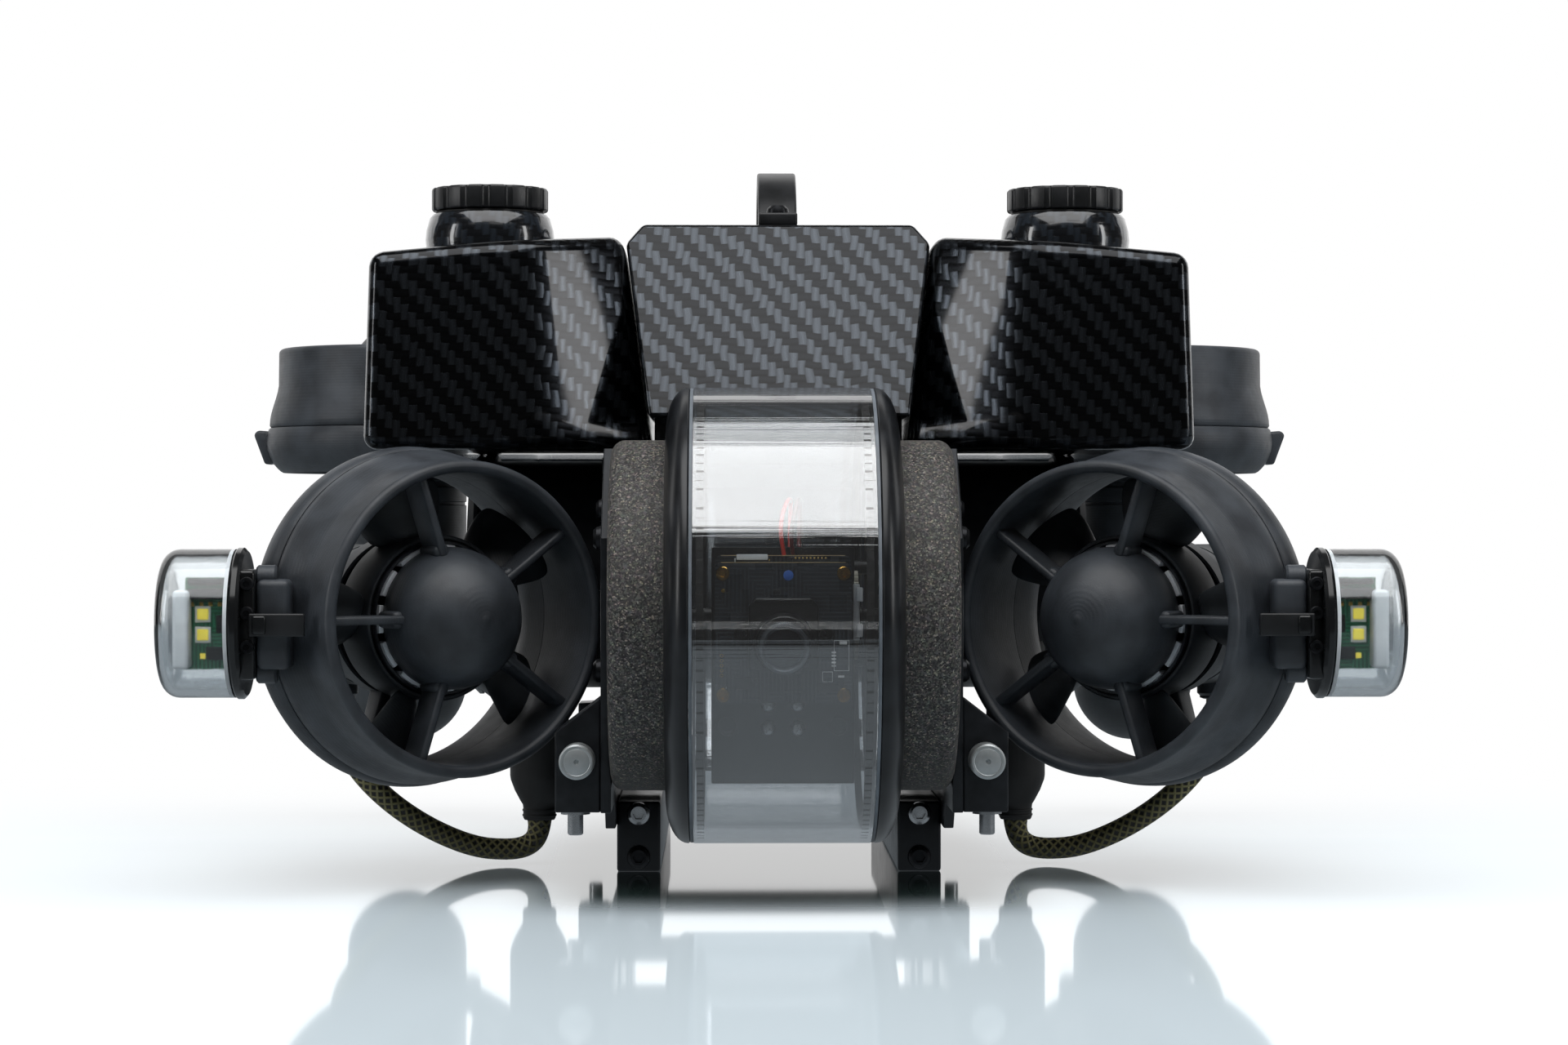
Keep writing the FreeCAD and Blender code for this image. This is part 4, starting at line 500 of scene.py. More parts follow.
@dataclass(frozen=True)
class SolderMask(Finish):
    """Circuit board: a semi-gloss mask over faint copper traces.

    Attributes:
        pitch: Spacing of the traces in millimetres.
        block: Width of a block of traces in millimetres.
    """

    pitch: float = 1.1
    block: float = 7.0

    def weave(self, tree: NodeTree, shader: ShaderNode, place: Any) -> None:
        """Draw blocks of parallel traces under the mask.

        Args:
            tree: The material's nodes.
            shader: The principled shader to feed.
            place: The coordinates to read.
        """
        patches = add(tree, "TexVoronoi", {"Vector": place, "Scale": per_metre(self.block)},
                      distance="CHEBYCHEV")
        pick = add(tree, "SeparateColor", {0: patches.outputs["Color"]}).outputs[1]
        flip = compute(tree, "GREATER_THAN", pick, 0.5)
        split = add(tree, "SeparateXYZ", {0: place})
        way = add(tree, "Mix", {"Factor": flip, 2: split.outputs["X"], 3: split.outputs["Z"]})
        trace = wave(tree, way.outputs[0], per_metre(self.pitch))
        raised = add(tree, "MapRange", {"Value": trace, "From Min": 0.1, "From Max": 0.5})
        self.tint(tree, shader, raised.outputs["Result"])
        self.vary(tree, shader, patches.outputs["Distance"])
        self.emboss(tree, shader, raised.outputs["Result"])


@dataclass(frozen=True)
class BraidedSleeve(Finish):
    """Open braid of flat polyester yarns over a black core.

    Reads the cord's own map: x runs along it and y round it, both in turns of its girth.

    Attributes:
        yarns: Yarns that run each way round the cord.
        core: Colour of the core in the holes between the yarns, sRGB.
    """

    yarns: float = 7.0
    core: str = "#0d0e0d"

    def place(self, tree: NodeTree) -> Any:
        """The cord's own map."""
        return add(tree, "UVMap", uv_map="cord").outputs["UV"]

    def weave(self, tree: NodeTree, shader: ShaderNode, place: Any) -> None:
        """Cross two sets of slanting yarns and darken the holes between them.

        Args:
            tree: The material's nodes.
            shader: The principled shader to feed.
            place: The cord's coordinates.
        """
        split = add(tree, "SeparateXYZ", {0: place})
        yarns = []
        for slant in (1.0, -1.0):
            lean = compute(tree, "MULTIPLY_ADD", split.outputs["X"], slant, split.outputs["Y"])
            yarns.append(wave(tree, lean, self.yarns))
        upper = compute(tree, "MAXIMUM", *yarns)
        height = add(tree, "MapRange", {"Value": upper, "From Min": -0.35, "From Max": 0.9})
        ramp = add(tree, "ValToRGB", {"Fac": height.outputs["Result"]})
        stops = ((0.1, self.core), (0.55, self.colour), (0.95, self.second))
        ramp.color_ramp.elements.new(stops[-1][0])
        for element, (position, shade) in zip(ramp.color_ramp.elements, stops):
            element.position = position
            element.color = linear(shade)
        feed(tree, shader, {"Base Color": ramp.outputs["Color"]})
        self.vary(tree, shader, height.outputs["Result"])
        self.emboss(tree, shader, height.outputs["Result"])


@dataclass(frozen=True)
class PaintedGlowPhosphor(Finish):
    """Yellow phosphor of an unlit LED, with a painted glow that brightens it.

    Attributes:
        glow: Strength of the painted glow.
    """

    glow: float = 0.35

    def weave(self, tree: NodeTree, shader: ShaderNode, place: Any) -> None:
        """Lay the plain surface and add a slight painted glow.

        Args:
            tree: The material's nodes.
            shader: The principled shader to feed.
            place: The coordinates to read.
        """
        super().weave(tree, shader, place)
        # Painted glow: the unlit phosphor emits a little light of its own.
        feed(tree, shader, {"Emission Color": linear(self.second), "Emission Strength": self.glow})


# Woven cloth: dark tows, those that run over with a painted sheen, lacquered so that lamps draw
# streaks on it.
CARBON = TwillCarbon("carbon twill under clear coat", "#131518", "#3f444a", 0.25, metallic=0.95,
                     grain=2.0, relief=0.05, spread=0.06, coat=0.5, tow=2.3)
CARBON_GLOSS = TwillCarbon("carbon twill of the necks", "#0d1014", "#20262d", 0.2, metallic=0.3,
                           grain=2.0, relief=0.04, spread=0.05, coat=1.0)

# Sintered and printed nylon: matt enough to lose its highlights, with layers round the duct.
NYLON = LayeredNylon("sintered nylon", "#1f2226", "#2f3338", 0.46, grain=0.5, relief=0.035,
                     spread=0.09)
NYLON_DARK = LayeredNylon("sintered nylon of the blades", "#1a1d20", "#282c30", 0.46, grain=0.5,
                          relief=0.03, spread=0.08)
ABS_LAYERED = LayeredNylon("printed pod shell", "#1d2023", "#2c3034", 0.46, grain=0.5,
                           relief=0.03, spread=0.08)

# Moulded plastic: smooth and black, from satin to glossy, with soft wide highlights.
ABS = Finish("moulded ABS", "#101112", "#191a1c", 0.34, grain=0.6, relief=0.012, spread=0.08)
ABS_GLOSS = Finish("polished moulded ABS", "#0b0c0d", "#131415", 0.16, grain=1.2, relief=0.004,
                   spread=0.05)
SATIN = Finish("satin moulded flange", "#0d0e10", "#16181b", 0.3, grain=0.5, relief=0.006,
               spread=0.05)
EPOXY = Finish("chip epoxy", "#16171a", "#232529", 0.45, grain=0.3, relief=0.008, spread=0.08)

# Sprayed coating: rough grains of four tones that catch the light one by one.
SPECKLE = SpeckledCoating("speckled coating", "#2b2a29", "#454340", 0.7, grain=0.42,
                          relief=0.09)

# Rubber: the dullest black, which hardly answers a lamp.
RUBBER = Finish("black rubber", "#141414", "#202020", 0.62, grain=0.5)

# Dark metal: anodised, oxidised or turned, with a faint sheen along its lines.
ANODISED = Finish("black anodised aluminium", "#15171a", "#1f2226", 0.36, metallic=0.35,
                  grain=0.3, relief=0.008)
ALUMINIUM_BLACK = BrushedMetal("black anodised bar", "#0f1012", "#17181a", 0.6, grain=0.25,
                               relief=0.01, spread=0.08)
BLACK_OXIDE = Finish("black-oxide steel", "#1b1c1e", "#2c2d30", 0.33, metallic=0.8, grain=0.25,
                     relief=0.01, spread=0.12)
BELL_STEEL = BrushedMetal("turned motor bell", "#5b5f64", "#74787d", 0.3, metallic=1.0,
                          grain=0.2, relief=0.01, brush=Brush.ROUND)
LENS_BARREL = Finish("lens barrel", "#50545a", "#666b71", 0.24, metallic=0.5, grain=0.5,
                     relief=0.006, spread=0.06)

# Bright metal: brushed or plated, pale where it faces a soft box and dark beside it.
ALUMINIUM = BrushedMetal("brushed aluminium", "#aeb3b4", "#bfc3c4", 0.42, metallic=0.8,
                         grain=0.25, relief=0.003, spread=0.06)
STEEL = BrushedMetal("machined steel", "#a9abad", "#c3c5c7", 0.3, metallic=1.0, grain=0.3,
                     relief=0.01)
NICKEL = Finish("nickel-plated magnet", "#c6cacf", "#dadde1", 0.38, metallic=0.3, grain=0.5,
                relief=0.006, spread=0.08)
BRASS = BrushedMetal("turned brass", "#b58a3f", "#d8b268", 0.24, metallic=1.0, grain=0.2,
                     relief=0.008, spread=0.08)
GOLD = Finish("gold-plated pad", "#c9a24a", "#e6c878", 0.28, metallic=1.0, grain=0.4,
              relief=0.004, spread=0.06)
COPPER = BrushedMetal("enamelled copper wire", "#7a3b1c", "#a4592c", 0.3, metallic=0.8,
                      grain=0.5, relief=0.05)

# Clear and milky plastic: reflections on the tube keep to the lines of its drawing.
ACRYLIC = ClearPlastic("extruded acrylic tube", "#eef1f3", "#ffffff", 0.0, grain=8.0,
                       relief=0.14, spread=0.0, coat=0.7, lines=1.3, gloss=2.4)
LAMP_ACRYLIC = ClearPlastic("moulded lamp acrylic", "#f1f5f7", "#ffffff", 0.08, grain=6.0,
                            relief=0.05)
MILKY = Finish("white lamp block", "#d5dade", "#eceff1", 0.4, grain=1.0, relief=0.01,
               spread=0.05)
SEAM = Finish("glued seam", "#4a5056", "#5b6168", 0.5, grain=0.5, relief=0.006, spread=0.05)

# Boards: traces stand out of a half-gloss mask, with a pale rim and white print.
BOARD_BLACK = SolderMask("black solder mask", "#262a2f", "#343a41", 0.3, grain=0.5,
                         relief=0.012, spread=0.08)
BOARD_GREEN = SolderMask("green solder mask", "#1c5a3f", "#2f7d5a", 0.32, grain=0.5,
                         spread=0.08)
FIBREGLASS = Finish("board edge", "#b79c6b", "#d0ba8d", 0.6, grain=0.3, relief=0.01,
                    spread=0.05)
SILK = Finish("white board print", "#dfe2e2", "#f0f1f1", 0.55, grain=0.4, relief=0.004,
              spread=0.05)
# Phosphor of the unlit LEDs, with a painted glow.
PHOSPHOR = PaintedGlowPhosphor("LED phosphor", "#e8cf34", "#f6e45c", 0.4, grain=0.6, relief=0.01,
                       spread=0.05)

# Small bright accents inside the drum, and the dark coated glass of the lens.
POLYMER = Finish("ivory bearing polymer", "#cfc9b8", "#ddd8c9", 0.5)
LENS_GLASS = Finish("coated lens glass", "#05060a", "#0b0d16", 0.03, grain=3.0, relief=0.0,
                    spread=0.01, coat=1.0)
RED_WIRE = Finish("red wire insulation", "#b3201c", "#cf3a30", 0.35, grain=0.5, relief=0.01,
                  spread=0.06)
DARK_WIRE = Finish("dark wire insulation", "#4a1416", "#6b2022", 0.4, grain=0.5, relief=0.01,
                   spread=0.06)
BLUE_WIRE = Finish("blue wire insulation", "#1f4f9e", "#3a6fc4", 0.35, grain=0.5, relief=0.01,
                   spread=0.06)

# Cable: slanting olive yarns with dark holes between them.
BRAID = BraidedSleeve("braided sleeve", "#3d3a24", "#6f6b48", 0.55, grain=0.5, relief=0.25)


# ---------------------------------------------------------------- bench work


def clear_selection() -> None:
    """Leave edit mode and deselect everything."""
    if bpy.context.mode != "OBJECT":
        bpy.ops.object.mode_set(mode="OBJECT")
    bpy.ops.object.select_all(action="DESELECT")


def pick(piece: Object) -> None:
    """Make one piece the only selected and the active one.

    Args:
        piece: The object to work on.
    """
    clear_selection()
    piece.select_set(True)
    bpy.context.view_layer.objects.active = piece


def edit(piece: Object, mode: str = "VERT") -> None:
    """Open one piece in edit mode with all of it selected.

    Args:
        piece: The object to work on.
        mode: Which elements are selected: VERT, EDGE or FACE.
    """
    pick(piece)
    bpy.ops.object.mode_set(mode="EDIT")
    bpy.ops.mesh.select_mode(type=mode)
    bpy.ops.mesh.select_all(action="SELECT")


def draw(name: str, points: Sequence[Point], closed: bool = True) -> Object:
    """Draw a line of vertices by extruding the first one from point to point.

    Args:
        name: The new piece's name.
        points: The line's points in millimetres.
        closed: Whether the last point joins the first.

    Returns:
        The piece, in edit mode with all its vertices selected.
    """
    clear_selection()
    bpy.ops.mesh.primitive_plane_add(size=MM, location=(0, 0, 0))
    piece = bpy.context.active_object
    piece.name = name
    bpy.ops.object.mode_set(mode="EDIT")
    bpy.ops.mesh.select_mode(type="VERT")
    bpy.ops.mesh.select_all(action="SELECT")
    bpy.ops.mesh.merge(type="CENTER")
    extend(points)
    if closed:
        bpy.ops.mesh.select_all(action="SELECT")
        close_loops(piece)
    bpy.ops.mesh.select_all(action="SELECT")
    return piece


def extend(points: Sequence[Point]) -> None:
    """Move the selected vertex to the first point, then extrude it along the rest.

    Args:
        points: Points in millimetres; the vertex stands at the origin.
    """
    last = Vector((0, 0, 0))
    for number, point in enumerate(points):
        step = (Vector(point) - last) * MM
        if number:
            bpy.ops.mesh.extrude_vertices_move(TRANSFORM_OT_translate={"value": step})
        else:
            bpy.ops.transform.translate(value=step)
        last = Vector(point)


def close_loops(piece: Object) -> None:
    """Join the two loose ends of the drawn line with an edge.

    Args:
        piece: The piece in edit mode.
    """
    bpy.ops.mesh.select_all(action="DESELECT")
    bpy.ops.object.mode_set(mode="OBJECT")
    met = [0] * len(piece.data.vertices)
    for edge in piece.data.edges:
        for end in edge.vertices:
            met[end] += 1
    for vertex, count in zip(piece.data.vertices, met):
        vertex.select = count == 1
    bpy.ops.object.mode_set(mode="EDIT")
    bpy.ops.mesh.edge_face_add()


def sound(piece: Object, threshold: float = 0.002) -> Object:
    """Merge doubled points and turn all faces outwards.

    Args:
        piece: The piece to mend.
        threshold: Merging distance in millimetres.

    Returns:
        The same piece, in object mode.
    """
    edit(piece)
    bpy.ops.mesh.remove_doubles(threshold=threshold * MM)
    bpy.ops.mesh.dissolve_degenerate(threshold=threshold * MM * 0.5)
    bpy.ops.mesh.select_all(action="SELECT")
    bpy.ops.mesh.normals_make_consistent(inside=False)
    bpy.ops.object.mode_set(mode="OBJECT")
    return piece


def lathe(name: str, profile: Sequence[Flat], steps: int = 96, axis: Axis = Axis.Z,
          closed: bool = True) -> Object:
    """Turn a closed profile about an axis through the origin.

    Args:
        name: The new piece's name.
        profile: Radius and height pairs in millimetres; the height runs along the axis.
        steps: Facets round the piece.
        axis: The axis of turning.
        closed: Whether the profile's last point joins its first.

    Returns:
        The turned piece with a map named turned.
    """
    laid = {
        Axis.X: lambda radius, height: (height, 0.0, radius),
        Axis.Y: lambda radius, height: (radius, height, 0.0),
        Axis.Z: lambda radius, height: (radius, 0.0, height)}[axis]
    piece = draw(name, [laid(radius, height) for radius, height in profile], closed)
    bpy.ops.mesh.spin(steps=steps, angle=2 * math.pi, center=(0, 0, 0), axis=axis.value)
    sound(piece)
    map_turned(piece, axis)
    return piece


def map_turned(piece: Object, axis: Axis) -> None:
    """Lay a map whose x runs round an axis and whose y runs along it, in metres.

    Args:
        piece: The piece about that axis.
        axis: The axis it was turned about.
    """
    layer = piece.data.uv_layers.new(name="turned")
    first, second, third = {Axis.X: (1, 2, 0), Axis.Y: (2, 0, 1), Axis.Z: (0, 1, 2)}[axis]
    for loop in piece.data.loops:
        at = piece.data.vertices[loop.vertex_index].co
        away = math.hypot(at[first], at[second])
        angle = math.atan2(at[second], at[first])
        layer.data[loop.index].uv = (angle * MAP_RADIUS, at[third] + away)


def prism(name: str, outline: Sequence[Flat], low: float, high: float,
          axis: Axis = Axis.Z) -> Object:
    """Push a closed outline along an axis.

    Args:
        name: The new piece's name.
        outline: Corners in millimetres in the plane across the axis.
        low: Where it starts along the axis.
        high: Where it ends.
        axis: The direction of the push.

    Returns:
        The solid piece in object mode.
    """
    turned = {
        Axis.X: lambda a, b: (low, a, b),
        Axis.Y: lambda a, b: (a, low, b),
        Axis.Z: lambda a, b: (a, b, low)}[axis]
    piece = draw(name, [turned(a, b) for a, b in outline])
    bpy.ops.mesh.edge_face_add()
    reach = Vector(axis.value) * (high - low) * MM
    bpy.ops.mesh.extrude_region_move(TRANSFORM_OT_translate={"value": reach})
    return sound(piece)


def rod(name: str, radius: float, low: float, high: float, axis: Axis = Axis.Z, sides: int = 32,
        bevel: float = 0.2) -> Object:
    """A round bar about an axis through the origin, with bevelled ends.

    Args:
        name: The new piece's name.
        radius: Radius in millimetres.
        low: Where it starts along the axis.
        high: Where it ends.
        axis: Its axis.
        sides: Facets round it.
        bevel: Width of the end bevels in millimetres.

    Returns:
        The bar in object mode.
    """
    return lathe(name, [(0, low), (radius - bevel, low), (radius, low + bevel),
                        (radius, high - bevel), (radius - bevel, high), (0, high)], sides, axis,
                 closed=False)


def box(name: str, low: Point, high: Point, bevel: float = 0.3, segments: int = 2) -> Object:
    """A block between two corners with rounded edges.

    Args:
        name: The new piece's name.
        low: Lowest corner in millimetres.
        high: Highest corner.
        bevel: Width of the rounding in millimetres.
        segments: Facets across the rounding.

    Returns:
        The block in object mode.
    """
    clear_selection()
    middle = (Vector(low) + Vector(high)) / 2 * MM
    size = (Vector(high) - Vector(low)) * MM
    bpy.ops.mesh.primitive_cube_add(size=1, location=(0, 0, 0))
    piece = bpy.context.active_object
    piece.name = name
    edit(piece, "EDGE")
    bpy.ops.transform.resize(value=size)
    bpy.ops.transform.translate(value=middle)
    if bevel:
        bpy.ops.mesh.bevel(offset=bevel * MM, segments=segments, affect="EDGES")
    bpy.ops.object.mode_set(mode="OBJECT")
    return piece


def round_edges(piece: Object, width: float, segments: int = 3, angle: float = 30) -> Object:
    """Round the sharp edges of a piece.

    Args:
        piece: The piece to round.
        width: Width of the rounding in millimetres.
        segments: Facets across it.
        angle: Edges sharper than this many degrees are rounded.

    Returns:
        The same piece.
    """
    pick(piece)
    rounding = piece.modifiers.new("rounding", "BEVEL")
    rounding.width = width * MM
    rounding.segments = segments
    rounding.limit_method = "ANGLE"
    rounding.angle_limit = math.radians(angle)
    bpy.ops.object.modifier_apply(modifier=rounding.name)
    return piece


def smooth(piece: Object, angle: float = 35) -> Object:
    """Shade a piece smooth except over edges sharper than an angle in degrees."""
    pick(piece)
    bpy.ops.object.shade_smooth_by_angle(angle=math.radians(angle))
    return piece


def carve(piece: Object, tools: Iterable[Object], union: bool = False) -> Object:
    """Cut tools out of a piece, or weld them to it, and discard them.

    Args:
        piece: The piece that stays.
        tools: The pieces to subtract or to weld.
        union: Weld instead of cut.

    Returns:
        The same piece.
    """
    for tool in tools:
        pick(piece)
        change = piece.modifiers.new("cut", "BOOLEAN")
        change.object = tool
        change.solver = "EXACT"
        change.operation = "UNION" if union else "DIFFERENCE"
        bpy.ops.object.modifier_apply(modifier=change.name)
        bpy.data.objects.remove(tool)
    return piece


def join(name: str, pieces: Sequence[Object]) -> Object:
    """Join several pieces of one finish into one object.

    Args:
        name: The joined object's name.
        pieces: The pieces; the first one stays.

    Returns:
        The joined object.
    """
    clear_selection()
    for piece in pieces:
        piece.select_set(True)
    bpy.context.view_layer.objects.active = pieces[0]
    if len(pieces) > 1:
        bpy.ops.object.join()
    pieces[0].name = name
    return pieces[0]


def copy_of(piece: Object, name: str) -> Object:
    """Copy a piece with its own mesh.

    Args:
        piece: The piece to copy.
        name: The copy's name.

    Returns:
        The copy.
    """
    pick(piece)
    bpy.ops.object.duplicate(linked=False)
    made = bpy.context.active_object
    made.name = name
    return made


def stand(piece: Object, place: Matrix) -> Object:
    """Put a piece in its place and leave the place in its mesh.

    Args:
        piece: The piece, built about the origin.
        place: Where it goes, in metres.

    Returns:
        The same piece.
    """
    pick(piece)
    piece.matrix_world = place
    bpy.ops.object.transform_apply(location=True, rotation=True, scale=True)
    if place.determinant() < 0:
        edit(piece)
        bpy.ops.mesh.normals_make_consistent(inside=False)
        bpy.ops.object.mode_set(mode="OBJECT")
    return piece


def shift(x: float = 0, y: float = 0, z: float = 0) -> Matrix:
    """A move in millimetres."""
    return Matrix.Translation(Vector((x, y, z)) * MM)


def turn(angle: float, axis: str = "Z") -> Matrix:
    """A turn about an axis through the origin, in degrees."""
    return Matrix.Rotation(math.radians(angle), 4, axis)


def mirrored(side: int) -> Matrix:
    """Leave a piece built for the right side there, or mirror it to the left."""
    return Matrix.Diagonal((side, 1, 1, 1))


def drum_axis() -> Matrix:
    """The drum's axis, which runs left to right and which the camera tilts about."""
    return shift(y=DRUM_Y, z=DRUM_Z)


def nurbs(name: str, points: Sequence[Sequence[float]], order: int, steps: int) -> Object:
    """Lay a smooth curve along control points.

    Args:
        name: The curve's name.
        points: The control points in metres.
        order: How many of them shape each stretch.
        steps: Points along each stretch.

    Returns:
        The curve object.
    """
    curve = bpy.data.curves.new(name, "CURVE")
    curve.dimensions = "3D"
    curve.resolution_u = steps
    line = curve.splines.new("NURBS")
    line.points.add(len(points) - 1)
    for point, at in zip(line.points, points):
        point.co = (*at, 1.0)
    line.order_u = order
    line.use_endpoint_u = True
    made = bpy.data.objects.new(name, curve)
    bpy.context.scene.collection.objects.link(made)
    return made


def ring_of(piece: Object, count: int, name: str, axis: str = "Z") -> Object:
    """Repeat a piece round an axis and join the copies.

    Args:
        piece: The first one.
        count: How many there are in all.
        name: The joined object's name.
        axis: The axis they stand round.

    Returns:
        The joined object.
    """
    made = [piece]
    for number in range(1, count):
        made.append(copy_to(piece, f"{name}_{number}", turn(360 * number / count, axis)))
    return join(name, made)


def arc(centre: Flat, radius: float, start: float, end: float, steps: int = 8) -> list[Flat]:
    """Points on an arc in a flat outline.

    Args:
        centre: The arc's centre in millimetres.
        radius: Its radius.
        start: First angle in degrees, from the first coordinate's direction.
        end: Last angle.
        steps: Facets along it.

    Returns:
        The points, both ends included.
    """
    angles = [math.radians(start + (end - start) * n / steps) for n in range(steps + 1)]
    return [(centre[0] + radius * math.cos(a), centre[1] + radius * math.sin(a)) for a in angles]


def loft(name: str, rings: Sequence[Sequence[Point]]) -> Object:
    """Skin a row of closed outlines with the same number of corners.

    Args:
        name: The new piece's name.
        rings: The outlines in order, in millimetres.

    Returns:
        The closed solid in object mode.
    """
    drawn = []
    for ring in rings:
        drawn.append(draw("station", ring))
        bpy.ops.object.mode_set(mode="OBJECT")
    piece = join(name, drawn)
    edit(piece, "EDGE")
    bpy.ops.mesh.bridge_edge_loops()
    bpy.ops.mesh.select_all(action="SELECT")
    bpy.ops.mesh.fill_holes(sides=0)
    return sound(piece)


def map_cloth(piece: Object) -> Object:
    """Lay a map named weave on a piece, in metres, flat on each face's main direction.

    Args:
        piece: The piece to map.

    Returns:
        The same piece.
    """
    mesh = piece.data
    layer = mesh.uv_layers.new(name="weave")
    for face in mesh.polygons:
        ways = [abs(number) for number in face.normal]
        main = ways.index(max(ways))
        first, second = ((1, 2), (0, 2), (0, 1))[main]
        for loop in face.loop_indices:
            at = mesh.vertices[mesh.loops[loop].vertex_index].co
            layer.data[loop].uv = (at[first], at[second])
    return piece


def copy_to(piece: Object, name: str, matrix: Matrix) -> Object:
    """Copy a piece and put the copy in another place."""
    return stand(copy_of(piece, name), matrix)


def fit(piece: Object, finish: Finish, body: str = "root",
        stands_for: Sequence[str] = ()) -> Object:
    """Dress a finished piece and hand it to the frame.

    Args:
        piece: The piece.
        finish: Its finish.
        body: The CAD body that it moves with.
        stands_for: CAD nodes that it replaces.

    Returns:
        The same piece.
    """
    piece.data.materials.clear()
    piece.data.materials.append(finish.material())
    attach(piece, body)
    if stands_for:
        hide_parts(*stands_for)
    log.info("%s on %s, %d faces", piece.name, body, len(piece.data.polygons))
    return piece


def paint_node(node: str, finish: Finish) -> None:
    """Give a CAD node that stays its finish."""
    mesh = bpy.data.objects[node].data
    mesh.materials.clear()
    mesh.materials.append(finish.material())
    log.info("%s keeps its CAD shape", node)


# ------------------------------------------------------------------- studio


@dataclass
class Studio:
    """White sweep, soft boxes and the camera in front.

    Attributes:
        camera_x: Camera to the left of the middle, in millimetres.
        camera_back: Camera ahead of the drum's axis.
        camera_height: Camera above the floor.
        aim_x: The point that it looks at, from the middle.
        lens: Focal length in millimetres.
        sensor: Width of the sensor in millimetres.
        room: Radiance of the dark room.
        wall: Radiance of the wall behind.
        card: Radiance of the overhead card.
        table_edge: Front edge of the table, in metres.
        table_sheen: Radiance that gloss reflects from the table.
        table_roughness: Roughness of the table.
        through: Share of the white surroundings that lights what stands behind clear plastic.
    """

    camera_x: float = -16.0
    camera_back: float = 1000.0
    camera_height: float = 104.5
    aim_x: float = 0.7
    lens: float = 80.25
    sensor: float = 36.0
    room: float = 0.05
    wall: float = 1.0
    card: float = 2.6
    table_edge: float = -0.457
    table_sheen: float = 0.36
    table_roughness: float = 0.05
    through: float = 0.6

    def camera(self) -> None:
        """Set the level camera that looks at the drum."""
        data = bpy.data.cameras.new("view")
        data.lens = self.lens
        data.sensor_width = self.sensor
        data.clip_start = 0.02
        eye = bpy.data.objects.new("view", data)
        bpy.context.scene.collection.objects.link(eye)
        eye.location = Vector((self.camera_x, DRUM_Y - self.camera_back, self.camera_height)) * MM
        yaw = math.atan2(self.aim_x - self.camera_x, self.camera_back)
        eye.rotation_euler = (math.pi / 2, 0.0, -yaw)
        bpy.context.scene.camera = eye
        log.info("camera set")

    def world(self) -> None:
        """White surroundings to look at, a dark room to be lit by."""
        world = bpy.data.worlds.new("studio")
        world.use_nodes = True
        bpy.context.scene.world = world
        tree = world.node_tree
        tree.nodes.clear()
        level = add(tree, "MapRange", {"Value": self.direct(tree), "To Min": self.room,
                                       "To Max": 1.0})
        sky = add(tree, "Background", {"Color": (1, 1, 1, 1), "Strength": level.outputs["Result"]})
        add(tree, "OutputWorld", {"Surface": sky.outputs[0]})

    def direct(self, tree: NodeTree) -> Any:
        """Tell what is looked at directly or through clear plastic.

        Args:
            tree: The nodes to add to.

        Returns:
            A value that is one for such rays, less after a diffuse bounce and zero after a
            glossy one.
        """
        path = add(tree, "LightPath")
        seen = compute(tree, "MAXIMUM", path.outputs["Is Camera Ray"],
                       path.outputs["Is Transmission Ray"])
        unlit = add(tree, "MapRange", {"Value": path.outputs["Diffuse Depth"], "To Min": 1.0,
                                       "To Max": self.through})
        clean = compute(tree, "LESS_THAN", path.outputs["Glossy Depth"], 0.5)
        kept = compute(tree, "MULTIPLY", seen, clean)
        return compute(tree, "MULTIPLY", kept, unlit.outputs["Result"])

    def sheet(self, name: str, low: Point, high: Point) -> Object:
        """Hang a flat rectangle between two corners that share one coordinate.

        Args:
            name: The sheet's name.
            low: One corner in metres.
            high: The opposite corner.

        Returns:
            The staged sheet.
        """
        x0, y0, z0 = (number / MM for number in low)
        x1, y1, z1 = (number / MM for number in high)
        piece = draw(name, [(x0, y0, z0), (x1, y0, z0), (x1, y1, z1), (x0, y1, z1)])
        bpy.ops.mesh.edge_face_add()
        bpy.ops.object.mode_set(mode="OBJECT")
        piece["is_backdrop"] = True
        return piece

    def glow(self, name: str, strength: float) -> Material:
        """A material that only shines.

        Args:
            name: The material's name.
            strength: Its radiance.

        Returns:
            The material.
        """
        made = bpy.data.materials.new(name)
        made.use_nodes = True
        tree = made.node_tree
        lit = add(tree, "Emission", {"Color": (1, 1, 1, 1), "Strength": strength})
        feed(tree, tree.nodes["Material Output"], {"Surface": lit.outputs[0]})
        return made

    def backdrop(self) -> None:
        """White wall behind and a bright card overhead, seen only in reflections."""
        wall = self.sheet("backdrop", (-3.0, 1.5, -0.2), (3.0, 1.5, 1.6))
        wall.data.materials.append(self.glow("white wall", self.wall))
        card = self.sheet("card", (-0.8, -1.31, 1.18), (0.8, -0.04, 1.18))
        card.data.materials.append(self.glow("bright card", self.card))
        card.visible_diffuse = False
        for piece in (wall, card):
            piece.visible_camera = False
            piece.visible_transmission = False
            piece.visible_shadow = False

